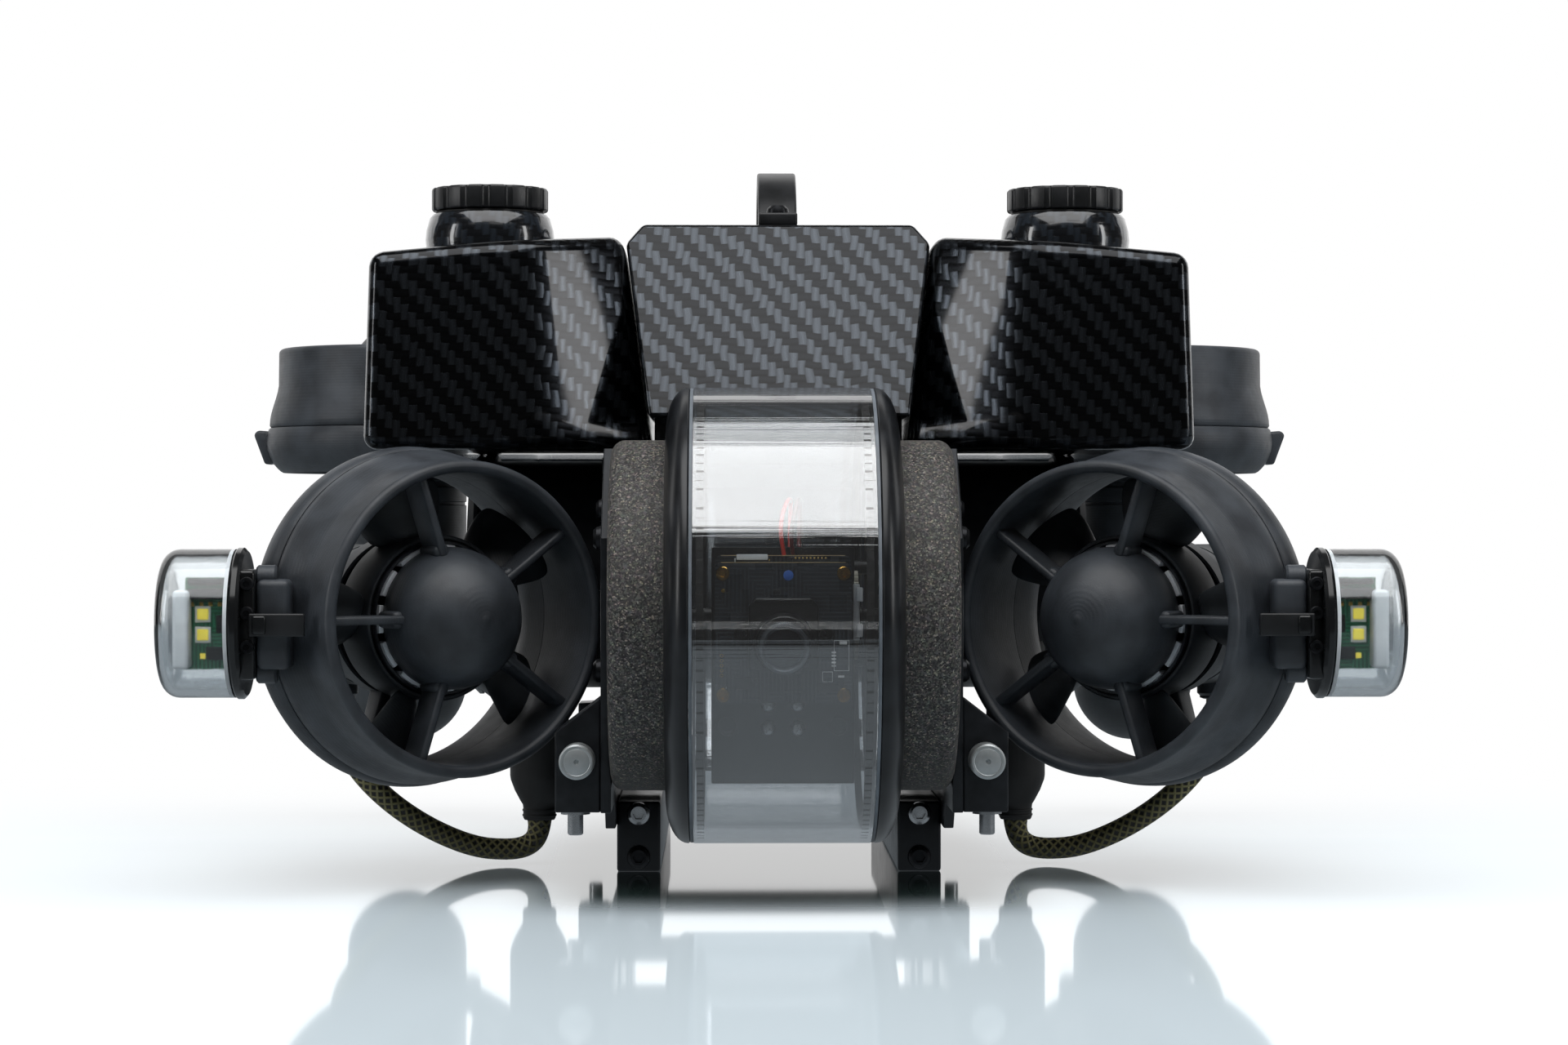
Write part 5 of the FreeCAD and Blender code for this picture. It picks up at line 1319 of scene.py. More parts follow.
    def floor(self) -> None:
        """Lay a pale glossy table with a painted shadow and painted dark reflection under the
        object, that fades into the white behind.
        """
        ground = self.sheet("floor", (-3.0, self.table_edge, 0.0), (3.0, 3.0, 0.0))
        made = bpy.data.materials.new("pale floor")
        made.use_nodes = True
        tree = made.node_tree
        shader = tree.nodes["Principled BSDF"]
        split = add(tree, "SeparateXYZ", {0: add(tree, "TexCoord").outputs["Object"]})
        away = split.outputs["Y"]
        beside = compute(tree, "ABSOLUTE", split.outputs["X"])
        # Painted shadow: the table's colour turns dark green-grey between the skids and under the
        # object. It stands in for the object's shadow and for the reflection of its dark underside.
        between = self.ramp(tree, beside, 0.05, 0.08, {"To Min": 1.0, "To Max": 0.0})
        shade = compute(tree, "MULTIPLY", between, self.ramp(tree, away, -0.2, -0.13))
        tone = add(tree, "Mix", {"Factor": shade, 6: linear("#c9d5dc"), 7: linear("#2f3d3b")},
                   data_type="RGBA").outputs[2]
        feed(tree, shader, {"Roughness": self.table_roughness, "Base Color": tone})
        glow = add(tree, "Emission", {"Color": (1, 1, 1, 1), "Strength": 1.0})
        share = compute(tree, "MULTIPLY", self.ramp(tree, away, 0.0, 0.3), self.direct(tree))
        mixed = add(tree, "MixShader", {0: share, 1: shader.outputs[0], 2: glow.outputs[0]})
        sheen = add(tree, "Emission", {"Color": linear("#dfeaf2"), "Strength": self.table_sheen})
        final = add(tree, "MixShader", {0: add(tree, "LightPath").outputs["Is Glossy Ray"],
                                        1: mixed.outputs[0], 2: sheen.outputs[0]})
        feed(tree, tree.nodes["Material Output"], {"Surface": final.outputs[0]})
        ground.data.materials.append(made)

    def ramp(self, tree: NodeTree, along: Any, start: float, end: float,
             span: dict[str, float] | None = None) -> Any:
        """Fade softly between two places.

        Args:
            tree: The nodes to add to.
            along: The coordinate to read, in metres.
            start: Where the fade starts.
            end: Where it ends.
            span: Values at both places, when they aren't zero and one.

        Returns:
            The fading value's output.
        """
        return add(tree, "MapRange", {"Value": along, "From Min": start, "From Max": end,
                                      **(span or {})},
                   interpolation_type="SMOOTHSTEP").outputs["Result"]

    def soft_box(self, name: str, at: Point, aim: Point, width: float, height: float,
                 power: float, gloss: bool = True) -> None:
        """Hang one rectangular lamp.

        Args:
            name: The lamp's name.
            at: Its place in metres.
            aim: The point that it faces.
            width: Its width in metres.
            height: Its height in metres.
            power: Its power in watts.
            gloss: Whether it shows in reflections.
        """
        data = bpy.data.lights.new(name, "AREA")
        data.shape = "RECTANGLE"
        data.size = width
        data.size_y = height
        data.energy = power
        lamp = bpy.data.objects.new(name, data)
        bpy.context.scene.collection.objects.link(lamp)
        lamp.location = at
        lamp.visible_glossy = gloss
        lamp.rotation_euler = (Vector(aim) - Vector(at)).to_track_quat("-Z", "Y").to_euler()

    def build(self) -> None:
        """Set up floor, light and camera."""
        bpy.context.scene.view_settings.view_transform = "Standard"
        self.world()
        self.floor()
        self.backdrop()
        self.soft_box("overhead", (0.0, -0.25, 1.15), (0.0, 0.0, 0.1), 1.6, 1.6, 32.0, False)
        middle = (0.0, 0.0, 0.15)
        for name, side in SIDES:
            self.soft_box(f"{name} side", (side * 1.2, -0.5, 0.5), middle, 0.5, 0.9, 4.0, False)
        for _, side in SIDES:
            self.soft_box("strip", (side * 1.2, -0.5, 0.45), middle, 0.16, 0.7, 2.2)
        self.camera()


# ------------------------------------------------------------------- cables


@dataclass
class ThrusterCable:
    """Braided cable from a hanging plug up to the gland of a front thruster.

    Attributes:
        radius: Radius of the sleeve in millimetres.
        sides: Facets round the sleeve.
        boot: Stretch at the plug over which the sleeve widens, in metres.
        route: Control points of the right-hand cable from the drum's axis, in millimetres.
    """

    radius: float = 3.25
    sides: int = 40
    boot: float = 0.006
    route: tuple[Point, ...] = (
        (PLUG_X, PLUG_Y, 13.5), (PLUG_X, PLUG_Y, 9.0), (76.6, 71.8, 5.2), (83, 71, 4.3),
        (93, 69, 5.4), (106, 65.5, 11.2), (118, 61, 19.8), (127.5, 58.5, 30),
        (132.9, 58.8, 40.4), (133.2, 59.3, 51))

    def centreline(self, side: int) -> list[Vector]:
        """Points of the spline, for a mesh tube to follow.

        Args:
            side: -1 for left, 1 for right.

        Returns:
            The points in metres.
        """
        line = nurbs("route", [(side * x * MM, (DRUM_Y + y) * MM, z * MM)
                               for x, y, z in self.route], 3, 24)
        mesh = bpy.data.meshes.new_from_object(line)
        points = [vertex.co.copy() for vertex in mesh.vertices]
        bpy.data.objects.remove(line)
        bpy.data.meshes.remove(mesh)
        return points

    def tube(self, name: str, points: list[Vector], flare: float) -> Object:
        """Sweep a round sleeve along the points, wider where it slips over the boot.

        Args:
            name: The piece's name.
            points: The centreline.
            flare: Extra radius at the plug's end, in millimetres.

        Returns:
            The sleeve with a map named cord.
        """
        sides = self.sides
        vertices: list[Vector] = []
        faces: list[tuple[int, ...]] = []
        run = [0.0]
        for before, after in zip(points, points[1:]):
            run.append(run[-1] + (after - before).length)
        across = Vector((0, 1, 0))
        for number, point in enumerate(points):
            ahead = points[min(number + 1, len(points) - 1)] - points[max(number - 1, 0)]
            ahead.normalize()
            across = (across - ahead * across.dot(ahead)).normalized()
            other = ahead.cross(across)
            fade = max(0.0, 1.0 - run[number] / self.boot) ** 2
            radius = (self.radius + flare * fade) * MM
            for side in range(sides):
                angle = 2 * math.pi * side / sides
                away = across * math.cos(angle) + other * math.sin(angle)
                vertices.append(point + away * radius)
        for number in range(len(points) - 1):
            for side in range(sides):
                following = (side + 1) % sides
                faces.append((number * sides + side, number * sides + following,
                              (number + 1) * sides + following, (number + 1) * sides + side))
        faces.append(tuple(range(sides))[::-1])
        faces.append(tuple(range((len(points) - 1) * sides, len(points) * sides)))
        mesh = bpy.data.meshes.new(name)
        mesh.from_pydata(vertices, [], faces)
        layer = mesh.uv_layers.new(name="cord")
        girth = 2 * math.pi * self.radius * MM
        for face in mesh.polygons:
            wraps = face.index % sides == sides - 1
            for loop in face.loop_indices:
                index = mesh.loops[loop].vertex_index
                turned = (index % sides) / sides
                if wraps and index % sides == 0:
                    turned = 1.0
                layer.data[loop].uv = (run[min(index // sides, len(run) - 1)] / girth, turned)
        made = bpy.data.objects.new(name, mesh)
        bpy.context.scene.collection.objects.link(made)
        return smooth(sound(made, 0.0005), 50)

    def build(self) -> None:
        for name, side in SIDES:
            points = self.centreline(side)
            sleeve = self.tube(f"cable_sleeve_{name}", points, 0.5)
            fit(sleeve, BRAID, stands_for=(f"thruster_cable_{name}",))


# ---------------------------------------------------------------- thrusters


class Stance(Enum):
    """Where a thruster stands: toed in at the front, or upright at the rear."""

    FRONT = "front"
    LIFT = "lift"


@dataclass
class Thruster:
    """Ducted thruster built about its own Z axis with the front rim at zero, in millimetres.

    Attributes:
        bore: Radius of the water passage.
        rim: Outer radius of the front rim.
        waist: Outer radius at the parting line.
        lip: Outer radius of the intake lip.
        parting: Front rim to the parting line.
        dome: Radius of the nose dome.
        reach: Dome ahead of the rim.
        vanes: Stator vanes, and as many blades and struts.
        pod: Radius of the motor pod.
        hub: Radius of the propeller's hub.
        toe_in: Angle of the front thrusters in degrees.
        pods: Length of the pod from its mouth, for each stance.
        pod_mouth: Front rim to the pod's mouth.
        poles: Magnets in the bell, and as many coils inside them.
    """

    bore: float = 41.7
    rim: float = 45.3
    waist: float = 48.6
    lip: float = 49.7
    parting: float = 28.0
    dome: float = 20.5
    reach: float = 10.0
    vanes: int = 5
    pod: float = 21.0
    hub: float = 24.0
    toe_in: float = 34.5
    pods: dict[Stance, float] = field(default_factory=lambda: {Stance.FRONT: 79.0,
                                                               Stance.LIFT: 104.0})
    pod_mouth: float = 35.0
    poles: int = 12

    def place(self, stance: Stance, side: int) -> Matrix:
        """Where a thruster stands.

        Args:
            stance: Front or lift.
            side: -1 for left, 1 for right.

        Returns:
            The place of its own axes.
        """
        if stance is Stance.LIFT:
            return shift(side * 129.5, DRUM_Y + 249.0, 166.0) @ turn(0 if side > 0 else 180)
        yaw, roll = (-self.toe_in, 90.0) if side > 0 else (180.0 + self.toe_in, -90.0)
        return shift(side * 89.0, DRUM_Y - 5.0, 77.0) @ turn(yaw) @ turn(roll, "X")

    def duct_front(self) -> Object:
        """Front section of the duct: a rounded rim that flares to the parting line.

        Returns:
            The ring.
        """
        half = (self.rim - self.bore) / 2
        outside = arc((self.bore + half, -half), half, 180, 0, 10)
        for step in range(1, 9):
            share = step / 8
            swell = (1 - math.cos(math.pi * share)) / 2
            outside.append((self.rim + (self.waist - self.rim) * swell,
                            -11 - (self.parting - 11.8) * share))
        inside = [(self.waist - 0.5, -self.parting + 0.05), (self.bore + 0.6, -self.parting + 0.05),
                  (self.bore, -15)]
        return smooth(lathe("duct", outside + inside, 128), 40)

    def vane(self) -> Object:
        """One stator vane with a rounded leading edge and a wider root.

        Returns:
            The vane, which reaches outwards along X.
        """
        blade = prism("vane", [(self.dome - 2, -3), (self.bore + 1, -3), (self.bore + 1, -13.5),
                               (self.dome - 2, -13.5)], -1.25, 1.25, Axis.Y)
        root = prism("vane_root", [(self.dome - 2, -3.8), (self.dome + 1.8, -3.8),
                                   (self.dome + 1.8, -13.5), (self.dome - 2, -13.5)],
                     -2.45, 2.45, Axis.Y)
        for piece, width in ((blade, 0.9), (root, 1.4)):
            round_edges(piece, width, 3)
        return join("vane", [blade, root])

    def nose(self) -> Object:
        """Nose dome with fine turned rings, a centre pip and the stator core behind it.

        Returns:
            The dome and core.
        """
        top = self.reach
        profile: list[Flat] = [(0, top + 0.35), (0.7, top + 0.28), (1.3, top + 0.08),
                               (2.0, top - 0.08), (2.6, top - 0.17)]
        centre = top - self.dome
        for step in range(10, 91, 4):
            angle = math.radians(step)
            profile.append((self.dome * math.sin(angle), centre + self.dome * math.cos(angle)))
        profile += [(self.dome, centre - 2.6), (self.dome - 0.5, centre - 3.5),
                    (self.dome - 1.6, centre - 3.5), (self.dome - 1.6, centre - 2),
                    (7, centre - 2), (7, -30), (5.5, -30), (5.5, -14.6), (0, -14.6)]
        return smooth(lathe("dome", profile, 96, closed=False), 30)

    def nozzle(self, name: str) -> Object:
        """Front section of the duct with its vanes and dome.

        Args:
            name: The piece's name.

        Returns:
            The piece about its own axis.
        """
        vanes = ring_of(self.vane(), self.vanes, "vanes")
        map_turned(vanes, Axis.Z)
        return smooth(join(name, [self.duct_front(), vanes, self.nose()]), 40)

    def intake(self, name: str, stance: Stance) -> Object:
        """Rear section: a rolled lip, five struts, the pod's collar, a pad and a lug.

        Args:
            name: The piece's name.
            stance: The upright thrusters have an outer lug.

        Returns:
            The piece about its own axis.
        """
        start = -self.parting - 0.15
        ring = smooth(lathe("lip", [
            (self.bore + 0.6, start), (self.waist - 0.1, start), (self.waist + 0.4, start - 0.5),
            (self.lip - 0.15, -31.5), (self.lip, -33.5), (self.lip - 0.35, -36),
            (self.lip - 1.3, -38.5), (self.lip - 2.5, -40.8), (self.lip - 3.9, -42.4),
            (self.lip - 5.0, -43.4), (self.lip - 5.9, -43.9), (self.lip - 6.6, -43.5),
            (self.bore + 1.1, -42), (self.bore + 0.7, -40), (self.bore + 0.6, -37)], 128), 40)
        strut = prism("strut", [(self.pod + 1, -34), (self.bore + 2, -34), (self.bore + 2, -41),
                                (self.pod + 1, -43)], -1.65, 1.65, Axis.Y)
        round_edges(strut, 1.2, 3)
        collar = lathe("collar", [
            (self.pod + 0.1, -37), (self.pod + 0.1, -44), (self.pod + 1.8, -44),
            (self.pod + 2.4, -43.4), (self.pod + 2.4, -37.6), (self.pod + 1.8, -37)], 96)
        pad = prism("pad", [(-self.bore - 2, -30), (-52, -30), (-52, -42), (-self.bore - 2, -41)],
                    -8, 8, Axis.Y)
        round_edges(pad, 0.8, 2)
        pieces = [ring, ring_of(strut, self.vanes, "struts"), collar, pad]
        if stance is Stance.LIFT:
            lug = prism("lug", [(self.bore + 2, -29.5), (52.5, -28.8), (54, -30.2), (50, -41),
                                (self.bore + 2, -40)], -6, 6, Axis.Y)
            round_edges(lug, 1.0, 3)
            pieces.append(lug)
        for piece in pieces[1:]:
            if "turned" not in piece.data.uv_layers:
                map_turned(piece, Axis.Z)
        return smooth(join(name, pieces), 40)

    def blade(self, hand: int) -> Object:
        """One wide twisted blade whose tip follows the duct.

        Args:
            hand: 1 turns the blades one way, -1 the other.

        Returns:
            The blade, bridged through its sections.
        """
        stations = ((self.hub - 0.9, 19.0, 48.0, 2.3), (28.0, 22.8, 42.5, 2.1),
                    (33.0, 26.4, 36.0, 1.8), (37.5, 28.4, 30.0, 1.5), (40.0, 27.2, 27.0, 1.2),
                    (40.9, 24.0, 26.0, 0.9))
        rings = []
        for radius, chord, pitch, thickness in stations:
            points = []
            for share, face in self.foil():
                along = (share - 0.5) * chord
                camber = 2.6 * (1 - (2 * share - 1) ** 2)
                up = camber + face * thickness * math.sqrt(max(share * (1 - share), 0)) * 1.6
                lean = math.radians(pitch)
                around = hand * (along * math.cos(lean) - up * math.sin(lean))
                axial = along * math.sin(lean) + up * math.cos(lean)
                angle = around / radius
                points.append((radius * math.cos(angle), radius * math.sin(angle), axial - 24.6))
            rings.append(points)
        blade = loft("blade", rings)
        pick(blade)
        rounding = blade.modifiers.new("even", "SUBSURF")
        rounding.levels = rounding.render_levels = 1
        bpy.ops.object.modifier_apply(modifier=rounding.name)
        return blade

    def foil(self) -> list[tuple[float, int]]:
        """Places round a blade section.

        Returns:
            Share of the chord and the face, 1 on the back and -1 on the front.
        """
        back = [0.0, 0.02, 0.08, 0.2, 0.35, 0.5, 0.65, 0.8, 0.92, 0.98]
        return [(share, 1) for share in back] + [(1 - share, -1) for share in back]

    def propeller(self, name: str, hand: int) -> Object:
        """Hub ring with its blades.

        Args:
            name: The piece's name.
            hand: 1 turns the blades one way, -1 the other.

        Returns:
            The propeller about its own axis.
        """
        ring = lathe("hub", [(22.4, -16.9), (22.9, -16.4), (23.5, -16.4), (self.hub, -17),
                             (self.hub, -32.4), (23.4, -33), (22.4, -33)], 96)
        blades = ring_of(self.blade(hand), self.vanes, "blades")
        map_turned(blades, Axis.Z)
        return smooth(join(name, [ring, blades]), 40)

    def bell(self, name: str) -> Object:
        """Motor bell on its shaft.

        Args:
            name: The piece's name.

        Returns:
            The bell about its own axis.
        """
        return smooth(lathe(name, [
            (0, -14.6), (2.5, -14.8), (2.5, -31.6), (21.2, -31.6), (21.2, -15.6), (21.5, -15.2),
            (22.1, -15.2), (22.4, -15.6), (22.4, -33.4), (21.8, -34), (2.5, -34), (2.5, -41.4),
            (0, -41.6)], 96, closed=False), 30)

    def magnets(self, name: str) -> Object:
        """Ring of block magnets inside the bell, ground round on the outside.

        Args:
            name: The piece's name.

        Returns:
            The magnets about their own axis.
        """
        block = box("magnet", (19.35, -4.0, -30), (21.5, 4.0, -14.4), 0.35)
        tool = lathe("round_cut", [(21.15, -60), (60, -60), (60, 10), (21.15, 10)], 96)
        carve(block, [tool])
        return smooth(ring_of(block, self.poles, name), 30)

    def stator(self, name: str) -> Object:
        """Copper windings for the slotted core, which stays from the CAD model.

        Args:
            name: The piece's name.

        Returns:
            The windings about their own axis.
        """
        coil = box("coil", (9.0, -2.9, -29.5), (17.4, 2.9, -16.5), 1.3, 3)
        return smooth(ring_of(coil, self.poles, name), 40)

    def pod_of(self, name: str, stance: Stance, side: int) -> Object:
        """Sealed motor pod with stepped rings, a round end and a cable gland.

        Args:
            name: The piece's name.
            stance: Front or lift, which have pods of different length.
            side: -1 for left, 1 for right.

        Returns:
            The pod about its own axis.
        """
        start = -self.pod_mouth
        end = start - self.pods[stance]
        profile = [(3, start), (self.pod - 3, start), (self.pod - 1.6, -35.6), (self.pod, -37),
                   (self.pod, -46.6), (self.pod - 0.7, -47), (self.pod - 0.7, -48.8),
                   (self.pod, -49.2), (self.pod, -54), (self.pod - 0.5, -54.3),
                   (self.pod - 0.5, -55.2), (self.pod, -55.5)]
        profile += arc((0, end + self.pod), self.pod, 0, -90, 18)
        profile[-1] = (0, end)
        profile += [(0, -45.4), (3, -45.4)]
        body = lathe("pod_body", profile, 96)
        at = end + self.pod + 15
        gland = lathe("gland", [(0, 18), (6, 18), (6, self.pod + 3.2), (5.2, self.pod + 4),
                                (5.2, self.pod + 4.6), (4.2, self.pod + 5), (0, self.pod + 5)],
                      40, closed=False)
        tilt = turn(90, "Y") if stance is Stance.LIFT else turn(90 if side > 0 else -90, "X")
        if stance is Stance.LIFT:
            tilt = turn(180) @ tilt
        stand(gland, shift(z=at) @ tilt)
        return smooth(join(name, [body, gland]), 32)

    def build(self) -> None:
        """Make each piece once and stand a copy in each of the four places."""
        nozzle = self.nozzle("nozzle_pattern")
        screws = {hand: self.propeller(f"screw_pattern_{hand}", hand) for hand in (-1, 1)}
        bell = self.bell("bell_pattern")
        magnets = self.magnets("magnet_pattern")
        coils = self.stator("coil_pattern")
        rings = {stance: self.intake(f"ring_pattern_{stance.value}", stance) for stance in Stance}
        wound: list[Object] = []
        for stance in Stance:
            for name, side in SIDES:
                unit = f"{stance.value}_{name}"
                place = self.place(stance, side)
                turning = f"{unit}_screw"
                for pattern, part, finish, slot, body, nodes in (
                        (nozzle, "duct", NYLON, "printed_nylon", "root", ("nozzle",)),
                        (rings[stance], "lip", NYLON, "printed_nylon", "root", ("intake_ring",)),
                        (screws[side], "blades", NYLON_DARK, "printed_nylon", turning,
                         ("propeller",)),
                        (bell, "bell", BELL_STEEL, "motor_steel", turning, ("rotor",)),
                        (magnets, "magnets", NICKEL, "motor_steel", turning, ())):
                    fit(copy_to(pattern, f"{unit}_{part}", place), finish, body,
                        tuple(f"{unit}_{node}" for node in nodes))
                pod = self.pod_of(f"{unit}_pod", stance, side)
                fit(stand(pod, place), ABS_LAYERED,
                    stands_for=(f"{unit}_motor_pod",))
                wound.append(copy_to(coils, f"{unit}_coils", place))
        fit(join("motor_coils", wound), COPPER)
        for pattern in (nozzle, *screws.values(), bell, magnets, coils, *rings.values()):
            bpy.data.objects.remove(pattern)
        paint_node("motor_stators", BLACK_OXIDE)
        paint_node("shaft_bearings", POLYMER)


# --------------------------------------------------------- drum and camera


@dataclass
class Drum:
    """Clear pressure drum across the front, between two turned flanges with hubs.

    Attributes:
        radius: Outer radius of the clear tube.
        bore: Its inner radius.
        half: Half its length.
        flange_end: Where the flange meets the hub.
        hub_end: Outer end of the hub.
        hub_radius: Radius of the hub.
    """

    radius: float = 65.0
    bore: float = 61.0
    half: float = 25.0
    flange_end: float = 33.0
    hub_end: float = 48.5
    hub_radius: float = 50.0

    def window(self) -> None:
        """Clear tube."""
        tube = lathe("window_tube", [
            (self.radius, -self.half), (self.radius, self.half), (self.bore, self.half),
            (self.bore, -self.half)], 192, Axis.X)
        fit(stand(smooth(tube, 30), drum_axis()), ACRYLIC,
            stands_for=("camera_window",))

    def seam(self, name: str, side: int) -> None:
        """Glued seam between the tube and a flange.

        Args:
            name: The side's name.
            side: -1 for left, 1 for right.
        """
        edge = side * (self.half + 0.1)
        ring = lathe(f"seam_{name}", [
            (self.radius - 0.2, edge), (self.radius - 0.2, edge + side * 0.9),
            (self.radius - 3.6, edge + side * 0.9), (self.radius - 3.6, edge)], 192, Axis.X)
        fit(stand(smooth(ring, 30), drum_axis()), SEAM)

    def flange(self, name: str, side: int) -> None:
        """Bowl-shaped flange whose face turns in from the tube to the hub.

        Args:
            name: The side's name.
            side: -1 for left, 1 for right.
        """
        face: list[Flat] = [(self.radius - 0.4, self.half + 1.1), (self.radius, self.half + 1.5)]
        for step in range(11):
            angle = math.radians(90 * step / 10)
            face.append((53.0 + 12.0 * math.cos(angle),
                         self.half + 1.6 + (self.flange_end - self.half - 1.65) * math.sin(angle)))
        face += [(44, self.flange_end - 0.05), (44, self.half + 1.1)]
        ring = lathe(f"flange_{name}", [(r, side * x) for r, x in face], 160, Axis.X)
        fit(stand(smooth(ring, 30), drum_axis()), SATIN,
            stands_for=(f"drum_flange_{name}",))

    def hub(self, name: str, side: int) -> None:
        """End hub with a rounded rim.

        Args:
            name: The side's name.
            side: -1 for left, 1 for right.
        """
        end = self.hub_end
        profile: list[Flat] = [(0, self.flange_end - 3), (43.9, self.flange_end - 3),
                               (43.9, self.flange_end), (self.hub_radius, self.flange_end)]
        profile += arc((self.hub_radius - 4, end - 4), 4, 0, 90, 8)
        profile += [(40, end), (39.4, end - 0.6), (38.6, end - 0.6), (38, end), (0, end)]
        hub = lathe(f"hub_{name}", [(r, side * x) for r, x in profile], 160, Axis.X, closed=False)
        fit(stand(smooth(hub, 30), drum_axis()), SPECKLE,
            stands_for=(f"drum_hub_{name}",))

    def build(self) -> None:
        """Make the window, its seams, the flanges and the hubs."""
        self.window()
        for name, side in SIDES:
            self.seam(name, side)
            self.flange(name, side)
            self.hub(name, side)
        paint_node("window_seals", RUBBER)


@dataclass
class CameraHead:
    """Tilting camera: cradle, two circuit boards, lens, fixings and wires, about the drum's axis.

    Attributes:
        cradle_face: Front of the cradle plate ahead of the axis.
        rear: Front face of the rear board ahead of the axis.
        front: Front face of the front board ahead of the axis.
        half: Half the width of a board.
        low: Bottom of the front board above the axis.
        high: Top of the front board above the axis.
        lens_drop: Lens below the axis.
        plate_low: Bottom of the cradle plate above the axis.
        wire: Radius of a wire.
        ribs: Ribs of the lens's knurl.
        body: The CAD body that the head moves with.
    """

    cradle_face: float = 22.0
    rear: float = 25.6
    front: float = 29.8
    half: float = 19.0
    low: float = -23.4
    high: float = 15.2
    lens_drop: float = 6.9
    plate_low: float = -46.0
    wire: float = 0.62
    ribs: int = 48
    body: str = "camera"

    def put(self, piece: Object, finish: Finish, stands_for: Sequence[str] = (),
            angle: float = 35) -> None:
        """Stand a piece on the tilt axis and hand it to the frame.

        Args:
            piece: The piece about the axis.
            finish: Its finish.
            stands_for: CAD nodes that it replaces.
            angle: Edges sharper than this stay sharp.
        """
        fit(stand(smooth(piece, angle), drum_axis()), finish, self.body, stands_for)

    def cradle(self) -> None:
        """Moulded plate between two cheeks, with the trunnion pins."""
        face = -self.cradle_face
        plate = box("cradle", (-20, face, self.plate_low), (20, face + 2, 19.5), 0.5)
        pieces = [plate]
        for side in (-1, 1):
            cheek = prism("cheek", [(face + 0.5, -11), (0, -6), (4, -4), (4, 4), (0, 6),
                                    (face + 0.5, 11)], 18.2 * side, 20 * side, Axis.X)
            pin = rod("pin", 2.0, 19.6, 29.5, Axis.X, 32, 0.3)
            if side < 0:
                stand(pin, mirrored(side))
            pieces += [round_edges(cheek, 0.4, 2), pin]
        for x, z in ((-15.5, -30.2), (15.5, -30.2)):
            lip = lathe("hole_lip", [(1.7, face - 0.5), (2.5, face - 0.5), (2.6, face - 0.3),
                                     (2.6, face + 0.2), (1.7, face + 0.2)], 40, Axis.Y)
            pieces.append(stand(lip, shift(x, 0, z)))
        self.put(join("cradle", pieces), ABS, ("camera_cradle",))

    def board(self, name: str, face: float, low: float, high: float) -> Object:
        """A board with rounded corners; its bare glass-fibre rim is made in boards.

        Args:
            name: The board's name.
            face: Its front face ahead of the axis.
            low: Bottom above the axis.
            high: Top above the axis.

        Returns:
            The board.
        """
        half, corner = self.half, 1.6
        outline: list[Flat] = []
        for x, z, start in ((half - corner, high - corner, 0), (corner - half, high - corner, 90),
                            (corner - half, low + corner, 180), (half - corner, low + corner, 270)):
            outline += arc((x, z), corner, start, start + 90, 6)
        return prism(name, outline, -face, -face + 1.5, Axis.Y)

    def boards(self) -> None:
        """Front board with the lens, rear board a little higher, and their light rims."""
        front = self.board("board_front", self.front, self.low, self.high)
        rear = self.board("board_rear", self.rear, self.low + 1.9, self.high + 1.9)
        self.put(join("camera_board_pair", [front, rear]), BOARD_BLACK,
                 ("camera_boards",))
        rims = []
        for face, high in ((self.front, self.high), (self.rear, self.high + 1.9)):
            rims.append(box("rim", (-17.3, -face - 0.06, high - 0.05),
                            (17.3, -face + 1.3, high + 0.12), 0.05, 1))
        self.put(join("board_rims", rims), FIBREGLASS)

    def prints(self) -> None:
        """White outlines and ticks on the front board, without any lettering."""
        face = -self.front - 0.05
        marks = []
        for x0, z0, x1, z1 in ((14.0, -14.6, 18.3, -14.45), (14.0, -6.3, 18.3, -6.15),
                               (14.0, -14.6, 14.15, -6.3), (18.15, -14.6, 18.3, -6.3),
                               (10.8, -17.6, 13.7, -17.47), (10.8, -14.9, 13.7, -14.77),
                               (10.8, -17.6, 10.93, -14.8), (13.57, -17.6, 13.7, -14.8),
                               (15.6, -7.3, 17.7, -6.4), (15.2, -16.4, 16.9, -15.8),
                               (-17.2, -20.2, -15.8, -20.05), (-15.95, -20.2, -15.8, -18.8)):
            marks.append(box("mark", (x0, face - 0.03, z0), (x1, face + 0.12, z1), 0))
        for number in range(5):
            low = -13.4 + number * 0.92
            marks.append(box("tick", (13.4, face - 0.05, low), (14.6, face + 0.1, low + 0.5), 0))
        self.put(join("board_print", marks), SILK)

    def pads(self) -> None:
        """Gold pads, test points and the gold leads along the top of the rear board."""
        face = -self.front
        pieces = []
        for number in range(5):
            z = -10.4 - number * 1.35
            ring = lathe("via", [(0.24, face - 0.08), (0.52, face - 0.08), (0.52, face + 0.1),
                                 (0.24, face + 0.1)], 20, Axis.Y)
            pieces.append(stand(ring, shift(-17.1, 0, z)))
        dot = rod("dot", 0.55, face - 0.08, face + 0.1, Axis.Y, 24, 0.03)
        pieces.append(stand(dot, shift(-16.7, 0, 7.5)))
        for number in range(9):
            x = 3.2 + number * 1.05
            pieces.append(box("lead", (x, -self.rear - 1.2, self.high + 1.0),
                              (x + 0.5, -self.rear + 0.1, self.high + 1.5), 0.05, 1))
        for number in range(6):
            x = -8.6 + number * 0.9
            pieces.append(box("lead", (x, -self.rear - 1.4, self.high + 0.5),
                              (x + 0.4, -self.rear + 0.1, self.high + 0.9), 0.05, 1))
        self.put(join("board_pads", pieces), GOLD)

